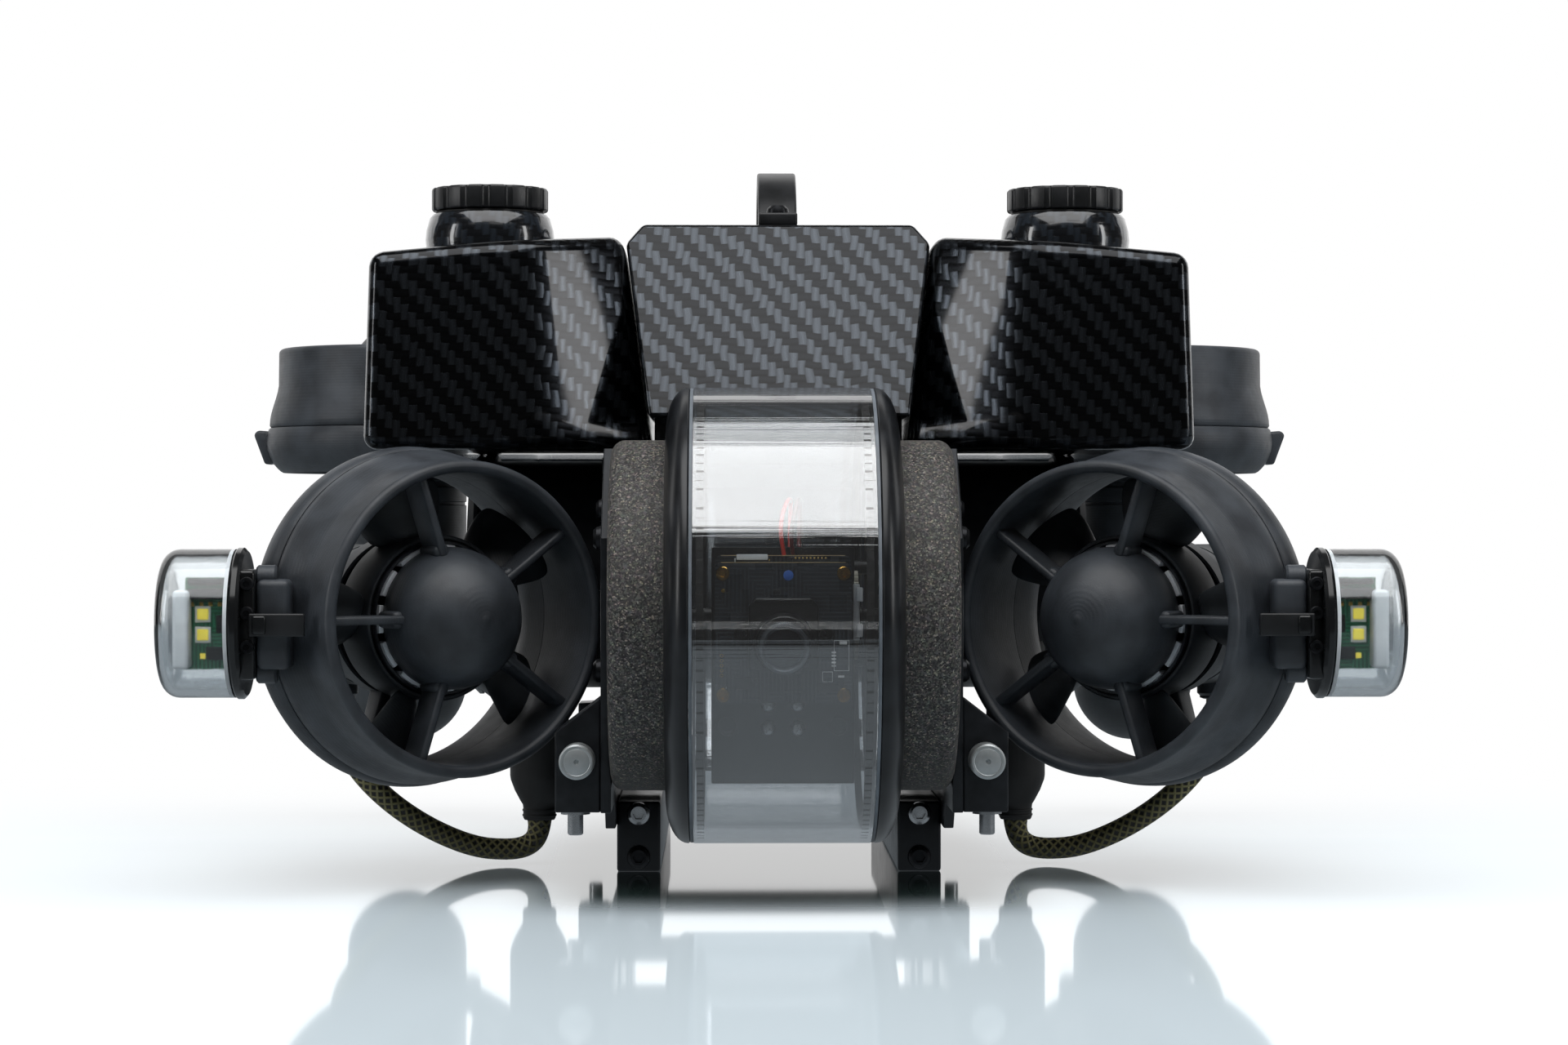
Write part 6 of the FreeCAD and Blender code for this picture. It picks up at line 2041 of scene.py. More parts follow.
    def chips(self) -> None:
        """Parts seen over the top edge of the front board, and a socket at its side."""
        rear = -self.rear
        dark = [box("socket", (-13.2, rear - 2.3, 13.6), (-4.0, rear, 16.6), 0.3),
                box("chip", (2.6, rear - 1.5, 13.2), (13.0, rear, 16.2), 0.2),
                box("chip", (-2.9, -self.front - 0.7, 6.6), (-0.9, -self.front, 7.9), 0.15),
                box("chip", (9.4, -self.front - 0.5, -20.4), (15.2, -self.front, -17.9), 0.2),
                box("chip", (-13.4, -self.front - 0.6, -19.6), (-9.2, -self.front, -16.2), 0.2)]
        self.put(join("board_chips", dark), EPOXY)
        white = [box("socket_body", (-13.0, rear - 2.6, 15.9), (-4.3, rear - 0.3, 17.5), 0.25),
                 box("part", (-13.6, rear - 1.3, 15.2), (-12.1, rear, 16.4), 0.2)]
        self.put(join("board_sockets", white), MILKY)
        dot = lathe("ink_dot", [(0, -self.front - 0.12), (1.25, -self.front - 0.1),
                                (1.4, -self.front), (0, -self.front + 0.05)],
                    40, Axis.Y, closed=False)
        self.put(stand(dot, shift(1.4, 0, 11.7)), BLUE_WIRE)

    def fixings(self) -> None:
        """Turned brass standoffs with hollow heads, and four cross-head screws below."""
        posts = []
        for x in (-16.8, 16.8):
            for z in (-21.2, 12.2):
                head = lathe("standoff", [
                    (0.75, -self.front - 0.2), (1.0, -self.front - 0.9), (1.7, -self.front - 0.9),
                    (1.95, -self.front - 0.6), (1.95, -20.2), (0, -20.2), (0, -self.front - 0.2)],
                    40, Axis.Y)
                posts.append(stand(head, shift(x, 0, z)))
        self.put(join("brass_standoffs", posts), BRASS, ("camera_fixings",))
        screws = []
        for x in (-4.2, 4.2):
            for z in (-24.2, -30.8):
                head = lathe("cross_head", [
                    (0, -self.cradle_face - 1.3), (1.0, -self.cradle_face - 1.25),
                    (1.7, -self.cradle_face - 0.9), (2.05, -self.cradle_face - 0.3),
                    (2.05, -self.cradle_face + 0.3), (0, -self.cradle_face + 0.3)], 40, Axis.Y,
                    closed=False)
                slots = [box("slot", (-1.25, -25, -0.22), (1.25, -self.cradle_face - 0.6, 0.22), 0),
                         box("slot", (-0.22, -25, -1.25), (0.22, -self.cradle_face - 0.6, 1.25), 0)]
                for slot in slots:
                    stand(slot, turn(24, "Y"))
                carve(head, slots)
                screws.append(stand(head, shift(x, 0, z)))
        self.put(join("cross_screws", screws), STEEL)

    def holder(self) -> None:
        """Lens holder: a square plate with cut corners, two eared bosses and a collar."""
        face = -self.front
        drop = -self.lens_drop
        plate = prism("holder", [(-9.7, drop - 7.2), (9.7, drop - 7.2), (9.7, drop + 10.4),
                                 (7.6, drop + 12.4), (-7.6, drop + 12.4), (-9.7, drop + 10.4)],
                      face - 4.6, face + 0.05, Axis.Y)
        round_edges(plate, 0.5, 3)
        lintel = box("lintel", (-8.0, face - 5.3, drop + 11.2), (8.0, face - 4.2, drop + 12.0), 0.2)
        pieces = [plate, lintel]
        for side in (-1, 1):
            ear = lathe("ear", [(0.75, face - 1.1), (0.9, face - 2.1), (2.1, face - 2.1),
                                (2.75, face - 1.6), (2.75, face + 0.05), (0.75, face + 0.05)],
                        40, Axis.Y)
            pieces.append(stand(ear, shift(side * 10.9, 0, drop + 2.6)))
        collar = lathe("collar", [
            (6.1, face - 4.4), (6.1, face - 9.2), (6.4, face - 9.6), (7.3, face - 9.6),
            (7.7, face - 9.2), (8.3, face - 5.4), (8.5, face - 4.4)], 72, Axis.Y)
        pieces.append(stand(collar, shift(0, 0, drop)))
        self.put(join("lens_holder", pieces), ABS, ("camera_lens",))

    def lens(self) -> None:
        """Threaded lens barrel with a knurled ring and a coated front glass."""
        lean = (shift(0, -self.front, -self.lens_drop) @ turn(4, "X")
                @ shift(0, self.front, 0))
        face = -self.front
        profile: list[Flat] = [(0, face - 4.4), (6.0, face - 4.4), (6.0, face - 9.8)]
        for ring in range(4):
            start = face - 9.8 - ring * 0.55
            profile += [(5.75, start - 0.12), (6.0, start - 0.32), (6.0, start - 0.5)]
        profile += [(7.0, face - 12.2), (7.15, face - 12.4), (7.15, face - 14.3),
                    (6.8, face - 14.8), (6.1, face - 15.0), (5.6, face - 14.5), (5.35, face - 13.6),
                    (0, face - 13.6)]
        barrel = lathe("lens_barrel", profile, 120, Axis.Y, closed=False)
        rib = box("rib", (-0.16, face - 14.1, 7.0), (0.16, face - 12.6, 7.32), 0)
        ribs = ring_of(rib, self.ribs, "ribs", "Y")
        whole = stand(join("lens_barrel", [barrel, ribs]), lean)
        self.put(whole, LENS_BARREL)
        glass = lathe("lens_glass", [(r, face - 13.62 - 0.9 * math.cos(math.radians(90 * r / 5.3)))
                                     for r in (0, 1, 2, 3, 4, 4.8, 5.3)] + [(0, face - 13.5)],
                      72, Axis.Y, closed=False)
        self.put(stand(glass, lean), LENS_GLASS)
        iris = lathe("iris", [(0.9, face - 13.56), (2.6, face - 13.56), (2.6, face - 13.5),
                              (0.9, face - 13.5)], 48, Axis.Y)
        self.put(stand(iris, lean), ABS_GLOSS)

    def wires(self) -> None:
        """Two thin wires from the rear board up towards the back of the drum."""
        for name, finish, bend in (("red", RED_WIRE, 0.0), ("dark_red", DARK_WIRE, 2.6)):
            path = [Vector((0.6 + bend, -22.6, 15.0)), Vector((0.2 + bend, -24.8, 18.0)),
                    Vector((-0.8 + bend, -25.2, 22.5)), Vector((-0.5 + bend * 1.4, -22.0, 28.0)),
                    Vector((1.6 + bend, -15.0, 33.0)), Vector((2.5 + bend, -6.0, 33.0)),
                    Vector((2.5 + bend, -3.0, 30.0)), Vector((2.0 + bend, -14.0, 20.0)),
                    Vector((2.0 + bend, -19.6, 17.0))]
            made = nurbs(f"wire_{name}", [at * MM for at in path], 4, 10)
            made.data.bevel_depth = self.wire * MM
            made.data.bevel_resolution = 3
            made.data.use_fill_caps = True
            pick(made)
            bpy.ops.object.convert(target="MESH")
            self.put(sound(made, 0.0005), finish, angle=50)

    def drive(self) -> None:
        """Ivory gear wheel on the trunnion, and the servo behind it."""
        paint_node("tilt_gear", POLYMER)
        paint_node("servo_pinion", POLYMER)
        paint_node("tilt_servo", ABS)
        guard = [box("gear_stop", (20.4, -27.2, 4.4), (22.2, -22.6, 8.3), 0.3),
                 box("gear_stop", (20.4, -27.2, -5.4), (22.2, -22.6, -1.8), 0.3)]
        link = box("gear_link", (19.6, -24.4, -6.4), (21.4, -21.6, 9.3), 0.3)
        self.put(join("gear_stops", [*guard, link]), MILKY)

    def build(self) -> None:
        """Make the camera and its drive."""
        self.cradle()
        self.boards()
        self.prints()
        self.pads()
        self.chips()
        self.fixings()
        self.holder()
        self.lens()
        self.wires()
        self.drive()


# ---------------------------------------------------------- hulls and handle


@dataclass
class Hulls:
    """Carbon buoyancy hulls: two tanks with filler necks and the wedge between them.

    Attributes:
        floor: Underside of the side hulls above the ground.
        top: Top of a side hull at its inner wall.
        fall: How far the top falls towards the outer wall.
        rounding: Radius of the edges.
        neck: Radius of the filler neck.
        neck_top: Top of the neck.
        fold: Reach of the soft fold on either side of the crease.
    """

    floor: float = 126.0
    top: float = 191.5
    fall: float = 7.0
    rounding: float = 4.2
    neck: float = 19.4
    neck_top: float = 198.4
    fold: float = 15.0

    def bend(self, inner: Flat, crease: Flat) -> list[Flat]:
        """Fold the front softly where its inner face meets the outer one.

        Args:
            inner: Inner end of the front.
            crease: Where the two faces would meet.

        Returns:
            Points of the front from the inner end to the outer face.
        """
        run, rise = inner[0] - crease[0], inner[1] - crease[1]
        length = math.hypot(run, rise)
        first = (crease[0] + run * self.fold / length, crease[1] + rise * self.fold / length)
        last = (crease[0] + self.fold, crease[1])
        points = [inner]
        for step in range(11):
            share = step / 10
            points.append(tuple(a * (1 - share) ** 2 + 2 * b * share * (1 - share) + c * share ** 2
                                for a, b, c in zip(first, crease, last)))
        return points

    def tank(self, name: str, side: int) -> None:
        """One side hull: a folded front that leans back under a falling top.

        Args:
            name: The side's name.
            side: -1 for left, 1 for right.
        """
        low = [*self.bend((38.6, 56.0), (76.0, 30.0)), (123.0, 30.0), (123.0, 174.0),
               (107.0, 190.0), (38.6, 190.0)]
        high = [*self.bend((47.2, 60.0), (80.3, 34.0)), (121.6, 34.0), (121.6, 170.0),
                (105.6, 186.0), (47.2, 186.0)]
        slope = self.fall / (high[-3][0] - high[0][0])
        rings = [[(side * x, DRUM_Y + y, self.floor) for x, y in low],
                 [(side * x, DRUM_Y + y, self.top - (x - high[0][0]) * slope) for x, y in high]]
        hull = loft(f"hull_{name}", rings)
        round_edges(hull, self.rounding, 5, 40)
        round_edges(hull, 0.9, 2, 24)
        fit(map_cloth(smooth(hull, 30)), CARBON,
            stands_for=(f"side_hull_{name}",))
        crown = self.top - self.fall
        neck = lathe(f"neck_{name}", [
            (self.neck + 2.8, crown - 2.2), (self.neck + 1.4, crown + 1.0),
            (self.neck, crown + 3.2), (self.neck + 0.3, crown + 6.0), (self.neck, crown + 9.0),
            (self.neck - 1.0, self.neck_top - 1.2), (self.neck - 2.0, self.neck_top),
            (12.9, self.neck_top), (12.3, self.neck_top - 0.6), (12.3, self.neck_top - 14),
            (0, self.neck_top - 14), (0, crown - 6), (self.neck, crown - 6)], 128, closed=True)
        stand(neck, shift(side * TANK_X, TANK_Y))
        fit(map_cloth(smooth(neck, 35)), CARBON_GLOSS)

    def wedge(self) -> None:
        """The middle hull: a raked front, bevelled shoulders and a foot below."""
        rings = []
        for height, half, front, rear in ((136.0, 39.1, 37.0, 190.0), (189.4, 46.3, 64.0, 184.2),
                                          (195.5, 41.2, 67.0, 182.5)):
            rings.append([(-half, DRUM_Y + front, height), (half, DRUM_Y + front, height),
                          (half, DRUM_Y + rear, height), (-half, DRUM_Y + rear, height)])
        hull = loft("hull_middle", rings)
        round_edges(hull, 1.3, 4, 20)
        foot = box("hull_foot", (-37.6, DRUM_Y + 62, 126), (37.6, DRUM_Y + 186.6, 137), 0.8)
        hull = join("hull_middle", [hull, foot])
        fit(map_cloth(smooth(hull, 30)), CARBON, stands_for=("centre_hull",))

    def build(self) -> None:
        """Make the three hulls."""
        for name, side in SIDES:
            self.tank(name, side)
        self.wedge()


@dataclass
class TankCap:
    """Fluted screw cap over its gasket, on the filler neck.

    Attributes:
        radius: Outer radius.
        seat: Underside of the cap above the ground.
        height: Height of the cap.
        flutes: Number of finger flutes.
        flute: Radius of a flute.
    """

    radius: float = 17.7
    seat: float = 199.4
    height: float = 7.0
    flutes: int = 16
    flute: float = 1.5

    def outline(self) -> list[Flat]:
        """Round outline with flutes.

        Returns:
            The corners in millimetres.
        """
        points: list[Flat] = []
        away = self.radius + self.flute * 0.45
        for number in range(self.flutes):
            middle = 360 * number / self.flutes
            notch = arc((away, 0), self.flute, 118, 242, 6)
            for x, y in notch[::-1]:
                lean = math.radians(middle)
                points.append((x * math.cos(lean) - y * math.sin(lean),
                               x * math.sin(lean) + y * math.cos(lean)))
            points += arc((0, 0), self.radius, middle + 7.4, middle + 360 / self.flutes - 7.4, 4)
        return points

    def build(self) -> None:
        """Make both caps, their plugs and the gaskets."""
        top = self.seat + self.height
        for name, side in SIDES:
            place = shift(side * TANK_X, TANK_Y)
            crown = prism(f"cap_{name}", self.outline(), self.seat, top)
            round_edges(crown, 0.8, 3, 60)
            plug = lathe("cap_plug", [(0, self.seat + 0.5), (12, self.seat + 0.5),
                                      (12, self.seat - 7), (11, self.seat - 8), (0, self.seat - 8)],
                         64, closed=False)
            ring = lathe("cap_ring", [(11.5, top - 0.4), (11.8, top + 0.28), (13.2, top + 0.28),
                                      (13.5, top - 0.4)], 96)
            whole = join(f"cap_{name}", [crown, plug, ring])
            fit(stand(smooth(whole, 35), place), ABS, f"cap_{name}",
                (f"tank_cap_{name}",))
            seal = lathe(f"gasket_{name}", [
                (12.4, 198.42), (16.1, 198.42), (16.4, 198.7), (16.4, 199.05), (16.1, 199.28),
                (12.4, 199.28)], 96)
            fit(stand(smooth(seal, 35), place), RUBBER, f"cap_seal_{name}",
                (f"cap_gasket_{name}",))


@dataclass
class Handle:
    """Carrying strap bent from one flat bar, bolted on top of the middle hull.

    Attributes:
        width: Half the bar's width.
        base: Height of the hull's top.
        front: Front end behind the drum's axis.
    """

    width: float = 6.0
    base: float = 195.5
    front: float = 70.0

    def build(self) -> None:
        """Make the strap; its two bolts are made with the frame's fasteners."""
        inner = math.degrees(math.asin(30 / 37))
        outer = math.degrees(math.asin(34 / 44))
        under = arc((44, 0 - math.sqrt(37 ** 2 - 30 ** 2)), 37, 90 + inner, 90 - inner, 20)
        over = arc((44, 4 - math.sqrt(44 ** 2 - 34 ** 2)), 44, 90 - outer, 90 + outer, 20)
        outline = [(0, 0), *under, (88, 0), (88, 4), *over, (0, 4)]
        strap = prism("handle_strap", outline, -self.width, self.width, Axis.X)
        round_edges(strap, 0.7, 3, 50)
        stand(strap, shift(0, DRUM_Y + self.front, self.base))
        fit(smooth(strap, 35), ABS, stands_for=("carry_handle",))


# -------------------------------------------------------------------- lamps


@dataclass
class Lamp:
    """Side lamp on the outer face of a front thruster, built about its own X axis.

    Attributes:
        height: Axis above the ground.
        ahead: Axis ahead of the drum's.
        neck: Inner end of the neck block.
        ring: Inner face of the ring.
        mouth: Outer face of the ring, where the cup starts.
        end: Outer end of the cup.
        radius: Radius of the cup.
    """

    height: float = 76.0
    ahead: float = 10.0
    neck: float = 147.0
    ring: float = 151.0
    mouth: float = 154.2
    end: float = 174.8
    radius: float = 21.0

    def place(self, side: int) -> Matrix:
        """Where a lamp stands; the left one is mirrored."""
        return shift(0, DRUM_Y - self.ahead, self.height) @ mirrored(side)

    def base(self) -> Object:
        """Ring with a rounded rim on a neck block; the block's three small bolts are made in bolts.

        Returns:
            The base along +X.
        """
        ring = lathe("lamp_ring", [
            (0, self.ring), (20.4, self.ring), (21.4, self.ring + 0.9), (21.4, self.mouth - 0.9),
            (20.6, self.mouth), (19.0, self.mouth), (18.6, self.mouth - 0.6),
            (0, self.mouth - 0.6)], 128, Axis.X, closed=False)
        neck = box("lamp_neck", (self.neck, -15, -15.4), (self.ring + 1, 1, 15.4), 1.4, 4)
        return smooth(join("lamp_base", [ring, neck]), 35)

    def bolts(self) -> Object:
        """Three round bolt heads with hollow sockets on the front of the neck.

        Returns:
            The bolts along +X.
        """
        heads = []
        for height in (11.4, 3.2, -6.2):
            head = lathe("lamp_bolt", [(0, -0.9), (0.8, -0.9), (0.9, -1.5), (1.7, -1.5),
                                       (1.95, -1.2), (1.95, 0.6), (0, 0.6)],
                         32, Axis.Y, closed=False)
            heads.append(stand(head, shift(149.2, -15, height)))
        return smooth(join("lamp_bolts", heads), 35)

    def cup(self) -> Object:
        """Clear cup with a rounded end.

        Returns:
            The cup along +X.
        """
        wall = 2.0
        corner = (self.radius - 5, self.end - 5)
        profile = [(self.radius, self.mouth), *arc(corner, 5, 0, 90, 8), (0, self.end),
                   (0, self.end - wall), *arc(corner, 5 - wall, 90, 0, 8),
                   (self.radius - wall, self.mouth)]
        return smooth(lathe("lamp_cup", profile, 128, Axis.X), 30)

    def lip(self) -> Object:
        """Polished lip where the cup is glued into the ring.

        Returns:
            The lip along +X.
        """
        return smooth(lathe("lamp_lip", [(18.9, self.mouth), (20.7, self.mouth),
                                         (20.4, self.mouth + 1.1), (19.1, self.mouth + 1.1)],
                            128, Axis.X), 30)

    def board(self) -> Object:
        """Driver board along the axis.

        Returns:
            The board along +X.
        """
        return box("lamp_board", (self.mouth - 0.5, -0.8, -13), (self.mouth + 14.2, 0.8, 13), 0.25)

    def parts(self) -> dict[str, list[Object]]:
        """Components on the board, by finish.

        Returns:
            Lists of pieces along +X.
        """
        face = -0.8
        start = self.mouth
        middle = start + 9.2
        rows = (2.6, -3.2)
        # The LEDs, whose phosphor finish carries a painted glow.
        lit = [box("led", (middle - 1.6, face - 0.9, height - 1.6),
                   (middle + 1.6, face, height + 1.6), 0.35, 3) for height in rows]
        lit.append(box("led_low", (middle - 0.8, face - 0.6, -10.0),
                       (middle + 0.8, face, -8.4), 0.2))
        seats = [box("led_seat", (middle - 2.2, face - 0.45, height - 2.3),
                     (middle + 2.2, face + 0.05, height + 2.3), 0.15) for height in rows]
        dark = []
        for name, near, far, low, high, depth, bevel in (
                ("choke", 3.0, 13.2, 6.8, 9.8, 3.2, 0.5), ("chip", 3.2, 8.2, -10.2, -6.6, 1.4, 0.3),
                ("driver", 2.0, 5.4, -2.6, 2.4, 1.0, 0.25),
                ("rail", 3.0, 13.2, 11.0, 12.6, 2.6, 0.4)):
            dark.append(box(name, (start + near, face - depth, low), (start + far, face, high),
                            bevel))
        pads = []
        for number in range(6):
            height = -11.6 + number * 4.3
            pads.append(box("pad", (start + 0.6, face - 0.16, height),
                            (start + 1.8, face + 0.02, height + 1.2), 0.05))
        for number in range(4):
            along = start + 3.9 + number * 2.6
            pads.append(box("pad", (along, face - 0.3, 4.9), (along + 1.1, face + 0.02, 6.0),
                            0.05))
        white = [box("light_guide", (start + 12.4, -7.0, -12.6), (start + 17.0, 5.0, 9.4),
                     1.2, 4)]
        return {"lit": lit, "seats": seats, "dark": dark, "pads": pads, "white": white}

    def saddle(self) -> Object:
        """Pad that joins the duct to the neck, its inner face sunk in the duct's flank.

        Returns:
            The pad along +X.
        """
        pad = box("saddle", (137.5, -14.0, -12.6), (self.neck, 4.5, 12.6), 2.0, 4)
        boss = rod("saddle_boss", 3.4, self.neck - 5.5, self.neck + 0.3, Axis.X, 32, 0.6)
        top = stand(copy_of(boss, "saddle_boss_top"), shift(0, -8.5, 13.2))
        low = stand(boss, shift(0, -8.5, -13.2))
        whole = join("saddle", [pad, top, low])
        return smooth(whole, 35)

    def strap(self) -> list[Object]:
        """Straight spring strap from the neck to the duct's flank, with a block for its folded end.

        Returns:
            The strap and its folded end along +X.
        """
        band = box("strap", (133.0, -17.8, -3.2), (self.neck + 1.5, -15.4, 3.2), 0.5, 3)
        fold = box("strap_fold", (self.neck - 3.4, -18.6, -2.7),
                   (self.neck + 0.6, -16.6, 2.7), 0.9, 4)
        return [smooth(band, 35), smooth(fold, 35)]

    def build(self) -> None:
        """Make both lamps."""
        for name, side in SIDES:
            place = self.place(side)
            fit(stand(self.base(), place), ABS_GLOSS,
                stands_for=("lamp_bases",))
            fit(stand(self.bolts(), place), BLACK_OXIDE)
            cup = stand(self.cup(), place)
            cup.name = f"clear_cup_{name}"
            fit(cup, LAMP_ACRYLIC, stands_for=(f"lamp_cup_{name}",))
            fit(stand(self.lip(), place), MILKY)
            fit(stand(self.board(), place), BOARD_GREEN,
                stands_for=("lamp_boards",))
            finishes = {"lit": PHOSPHOR, "seats": SILK, "dark": EPOXY, "pads": GOLD,
                        "white": MILKY}
            for kind, pieces in self.parts().items():
                whole = join(f"lamp_{kind}_{name}", pieces)
                fit(stand(smooth(whole, 35), place), finishes[kind])
            fit(stand(self.saddle(), place), NYLON,
                stands_for=("lamp_brackets",))
            band, fold = self.strap()
            fit(stand(band, place), ABS)
            fit(stand(fold, place), ABS_GLOSS)


# -------------------------------------------------------------------- frame


@dataclass
class Frame:
    """Side plates, bars, arms, electronics housing, skids, payload rods and plugs.

    Attributes:
        inner: Inner face of a side plate from the middle.
        outer: Its outer face.
        housing_y: Housing's axis behind the drum's.
        housing_z: Housing's axis above the ground.
        rod: Radius of a payload rod.
        rod_x: Rods from the middle.
        rod_z: Rods above the ground.
        runner: Width of a skid.
        clamp_starts: Front faces of the front and rear clamps behind the drum's axis.
        clamp: Depth of a clamp.
    """

    inner: float = 48.5
    outer: float = 51.5
    housing_y: float = 115.0
    housing_z: float = 88.0
    rod: float = 5.0
    rod_x: float = 58.0
    rod_z: float = 37.0
    runner: float = 13.0
    clamp_starts: tuple[float, float] = (-6.0, 152.0)
    clamp: float = 16.0

    def plate(self, name: str, side: int) -> None:
        """Machined side plate with lightening slots.

        Args:
            name: The side's name.
            side: -1 for left, 1 for right.
        """
        outline = [(-8, 22), (26, 22), (34, 14), (228, 14), (262, 48), (262, 138), (198, 138),
                   (198, 126), (18, 126), (-8, 100)]
        plate = prism(f"plate_{name}", outline, self.inner, self.outer, Axis.X)
        cuts = [rod("cut", 36.1, 40, 60, Axis.X, 96, 0.1)]
        stand(cuts[0], shift(0, self.housing_y, self.housing_z))
        for y, z in ((53, 26), (143, 26), (183, 46), (183, 84)):
            slot = [(y + 6, z), (y + 28, z), (y + 34, z + 6), (y + 34, z + 20), (y + 28, z + 26),
                    (y + 6, z + 26), (y, z + 20), (y, z + 6)]
            cuts.append(prism("cut", slot, 40, 60, Axis.X))
        carve(plate, cuts)
        round_edges(plate, 0.5, 2, 50)
        stand(plate, shift(y=DRUM_Y) @ mirrored(side))
        fit(smooth(plate, 32), ANODISED, stands_for=(f"side_plate_{name}",))

    def skid(self, name: str, side: int) -> None:
        """Runner under a plate with a bolted front and tapped holes below.

        Args:
            name: The side's name.
            side: -1 for left, 1 for right.
        """
        outline = [(46, 0), (231, 0), (236, 5), (236, 21), (46, 21)]
        runner = prism(f"skid_{name}", outline, self.inner - self.runner, self.inner, Axis.X)
        round_edges(runner, 0.9, 3)
        holes = []
        for y in (70, 210):
            hole = rod("hole", 2.1, -2, 10, Axis.Z, 32, 0.1)
            holes.append(stand(hole, shift(42, y, 0)))
        carve(runner, holes)
        stand(runner, shift(y=DRUM_Y) @ mirrored(side))
        fit(smooth(runner, 32), ANODISED, stands_for=("skid_runners",))

    def block(self, name: str, side: int, start: float, gusset: bool) -> None:
        """Clamp block bored for a payload rod.

        Args:
            name: The block's name.
            side: -1 for left, 1 for right.
            start: Front face behind the drum's axis.
            gusset: Whether a gusset rises to the plate.
        """
        outline = [(self.outer, 22), (self.outer + 13, 22), (self.outer + 13, 45),
                   (self.outer, 55 if gusset else 45.5)]
        block = prism(f"clamp_{name}", outline, start, start + self.clamp, Axis.Y)
        round_edges(block, 0.6, 3)
        bore = stand(rod("bore", self.rod + 0.05, start - 4, start + 20, Axis.Y, 64, 0.01),
                     shift(self.rod_x, 0, self.rod_z))
        carve(block, [bore])
        stand(block, shift(y=DRUM_Y) @ mirrored(side))
        fit(smooth(block, 32), ANODISED, stands_for=("clamp_blocks",))

    def payload_rod(self, name: str, side: int) -> None:
        """Turned rod with a chamfered, centre-drilled end and a ring groove.

        Args:
            name: The side's name.
            side: -1 for left, 1 for right.
        """
        radius = self.rod
        piece = lathe(f"payload_rod_{name}", [
            (0, -15.2), (0.35, -15.2), (0.8, -15.96), (3.6, -15.98), (3.75, -15.9), (3.9, -16.0),
            (radius - 0.5, -16.0), (radius, -15.5), (radius, -8.5), (radius - 0.5, -8.5),
            (radius - 0.5, -7.3), (radius, -7.3), (radius, 177.5), (radius - 0.5, 178), (0, 178)],
            64, Axis.Y, closed=False)
        stand(piece, shift(side * self.rod_x, DRUM_Y, self.rod_z))
        fit(smooth(piece, 30), ALUMINIUM, stands_for=("payload_rods",))

    def housing(self) -> None:
        """Sealed tube across the frame with grooved caps, a tether gland boss and two plug bosses.
        """
        profile: list[Flat] = [(0, -96), (36, -96), (38, -94), (38, -88.6), (37.4, -88), (36, -88),
                               (36, 88), (37.4, 88), (38, 88.6), (38, 94), (36, 96), (0, 96)]
        tube = lathe("housing", profile, 128, Axis.X, closed=False)
        grooves = [lathe("groove", [(37.4, x - 0.5), (39, x - 0.5), (39, x + 0.5), (37.4, x + 0.5)],
                         128, Axis.X) for x in (-92.4, 92.4)]
        carve(tube, grooves)
        boss = lathe("tether_boss", [
            (5.99, 30), (5.99, 43.5), (6.5, 44), (9.4, 44), (10, 43.4), (10, 30)], 64, Axis.Y)
        stand(boss, shift(0, 0, 12))
        bosses = [boss]
        for side in (-1, 1):
            seat = rod("plug_boss", 9.0, -30, -20, Axis.Y, 48, 0.6)
            bosses.append(stand(seat, shift(side * PLUG_X, 0, -28)))
        whole = join("housing", [tube, *bosses])
        stand(whole, shift(0, DRUM_Y + self.housing_y, self.housing_z))
        fit(smooth(whole, 32), ANODISED, stands_for=("electronics_housing",))

    def plug(self, name: str, side: int) -> None:
        """Moulded right-angle plug with a tapered tail that hangs from the housing.

        Args:
            name: The side's name.
            side: -1 for left, 1 for right.
        """
        body = lathe(f"plug_{name}", [
            (0, 69), (6.4, 69), (8.2, 68.3), (9, 66.4), (9, 27.2), (8.8, 25.8), (7.6, 22.6),
            (5.9, 19.4), (5.15, 18.2), (5, 17.2), (5, 14.2), (4.6, 13.5), (0, 13.5)], 64,
            closed=False)
        ribs = [lathe("tail_rib", [(4.9, z - 0.5), (5.25, z - 0.2), (5.25, z + 0.2),
                                   (4.9, z + 0.5)], 48) for z in (14.9, 16.5)]
        barrel = box("plug_barrel", (-6, 0, 54), (6, 13, 66), 1.2, 3)
        whole = join(f"plug_{name}", [body, *ribs, barrel])
        stand(whole, shift(side * PLUG_X, DRUM_Y + PLUG_Y))
        fit(smooth(whole, 32), RUBBER, stands_for=("thruster_connectors",))

    def socket_bolt(self, radius: float = 3.5, height: float = 2.4) -> Object:
        """Button-head bolt with a hexagon socket, standing along Z.

        Args:
            radius: Radius of the head.
            height: Height of the head.

        Returns:
            The bolt head.
        """
        head = lathe("bolt", [(0, -0.2), (radius, -0.2), (radius, 0.5),
                              (radius * 0.93, height * 0.62), (radius * 0.66, height),
                              (0, height)], 48, closed=False)
        corners = [(radius * 0.5 * math.cos(math.radians(60 * n)),
                    radius * 0.5 * math.sin(math.radians(60 * n))) for n in range(6)]
        carve(head, [prism("hex", corners, height * 0.35, height + 2)])
        return smooth(head, 30)

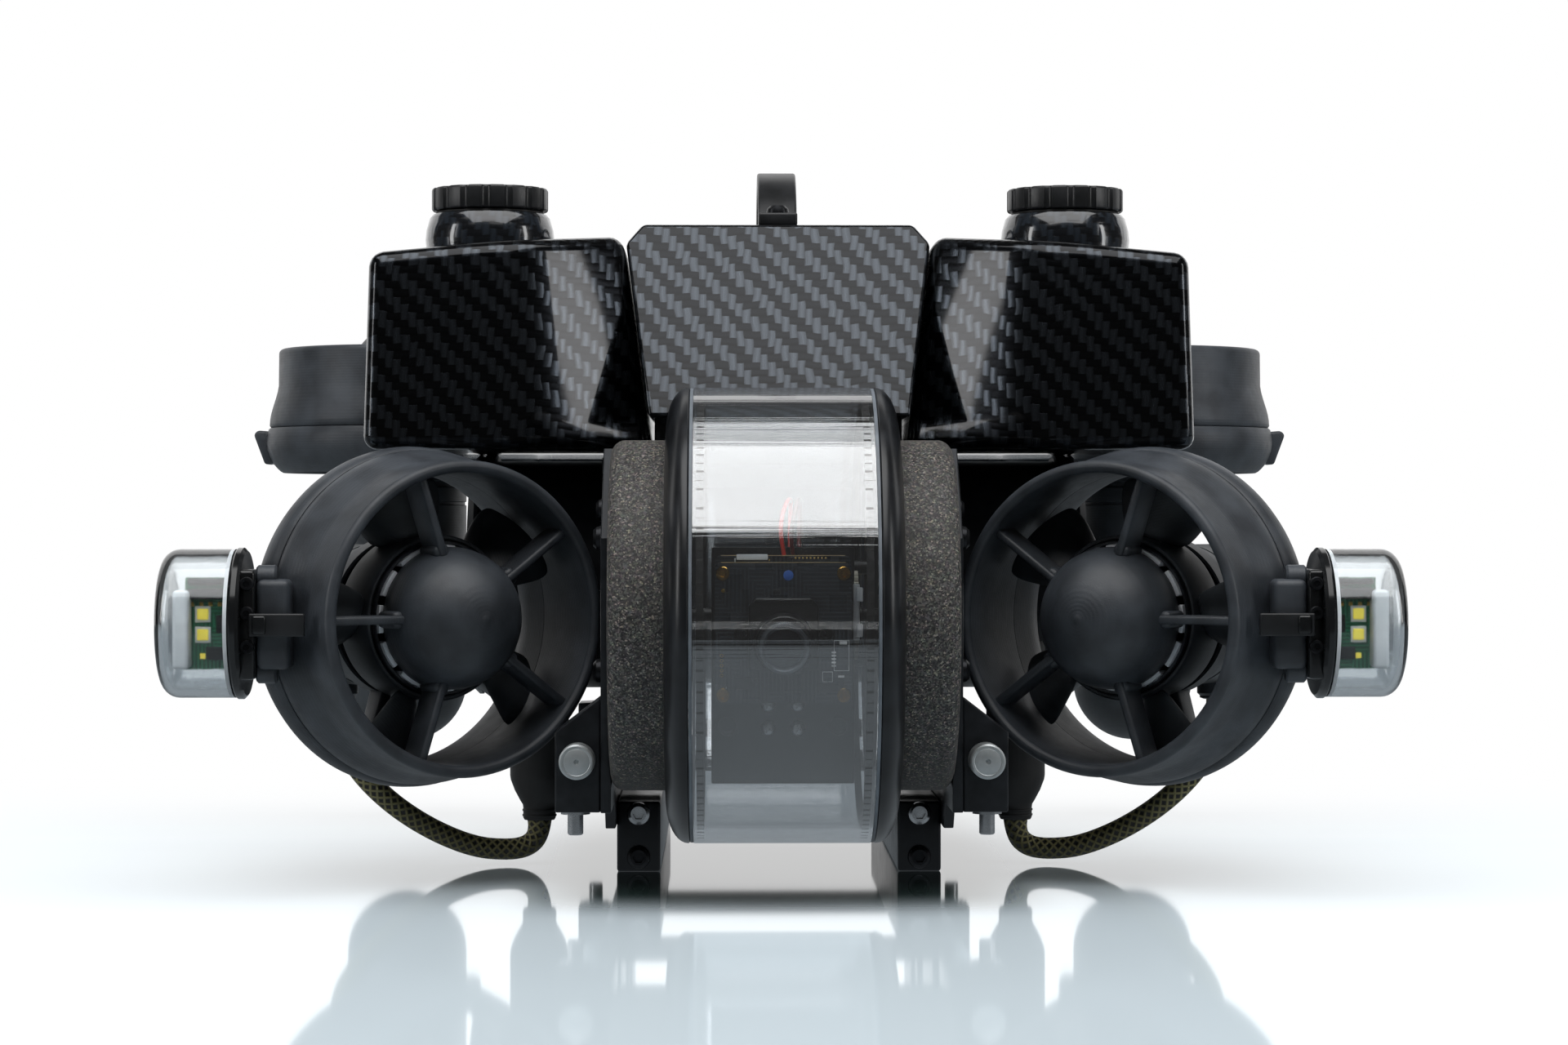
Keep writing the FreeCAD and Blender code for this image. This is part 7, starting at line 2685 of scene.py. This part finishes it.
    def fasteners(self) -> None:
        """Bolts of plates, skids and handle, and the clamps' washers and studs."""
        pattern = self.socket_bolt()
        bright = []
        dark = []
        front = turn(90, "X")
        for _, side in SIDES:
            for height, row in ((17.4, bright), (4.4, dark)):
                at = shift(side * 42, DRUM_Y + 46, height)
                row.append(copy_to(pattern, "skid_bolt", at @ front))
            out = turn(side * 90, "Y")
            for y, z in ((78, 27), (210, 27), (76, 122), (164, 122), (250, 118), (2, 100), (2, 62),
                         (24, 108)):
                dark.append(copy_to(pattern, "plate_bolt",
                                      shift(side * self.outer, DRUM_Y + y, z) @ out))
            for start in self.clamp_starts:
                at = shift(side * (self.rod_x + 1), DRUM_Y + start + self.clamp / 2, 0)
                washer = lathe("washer", [(2.0, 21), (4.2, 21), (4.2, 22), (2.0, 22)], 40)
                stud = rod("stud", 2.25, 15, 21.5, Axis.Z, 32, 0.4)
                bright += [stand(washer, at), stand(stud, at)]
        for y in (75, 153):
            dark.append(copy_to(pattern, "handle_bolt", shift(0, DRUM_Y + y, 199.5)))
        bpy.data.objects.remove(pattern)
        fit(join("bright_bolts", bright), STEEL,
            stands_for=("frame_fasteners",))
        fit(join("dark_bolts", dark), BLACK_OXIDE)

    def build(self) -> None:
        """Make the frame."""
        for name, side in SIDES:
            self.plate(name, side)
            self.skid(name, side)
            for where, start in zip(("front", "rear"), self.clamp_starts):
                self.block(f"{where}_{name}", side, start, where == "front")
            self.payload_rod(name, side)
            self.plug(name, side)
        self.housing()
        self.fasteners()
        paint_node("spacer_bars", ALUMINIUM_BLACK)
        paint_node("thruster_arms", ANODISED)


def note_sizes(name: str, bounds: Any) -> Any:
    """Log a box and give it as plain lists.

    Args:
        name: What the box holds.

    Returns:
        The box as nested lists of numbers.
    """
    plain = [[float(number) for number in corner] for corner in bounds]
    log.info("%s box %s", name, plain)
    return plain


def main() -> None:
    """Build the part's visual model in order and note its size."""
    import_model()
    sizes = {"cad": note_sizes("CAD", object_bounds())}
    Studio().build()
    for assembly in (Drum(), CameraHead(), Thruster(), Hulls(), TankCap(), Handle(), Lamp(),
                     Frame(), ThrusterCable()):
        log.info("building %s", type(assembly).__name__)
        assembly.build()
    sizes["visual"] = note_sizes("visual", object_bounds())


if __name__ == "__main__":
    main()
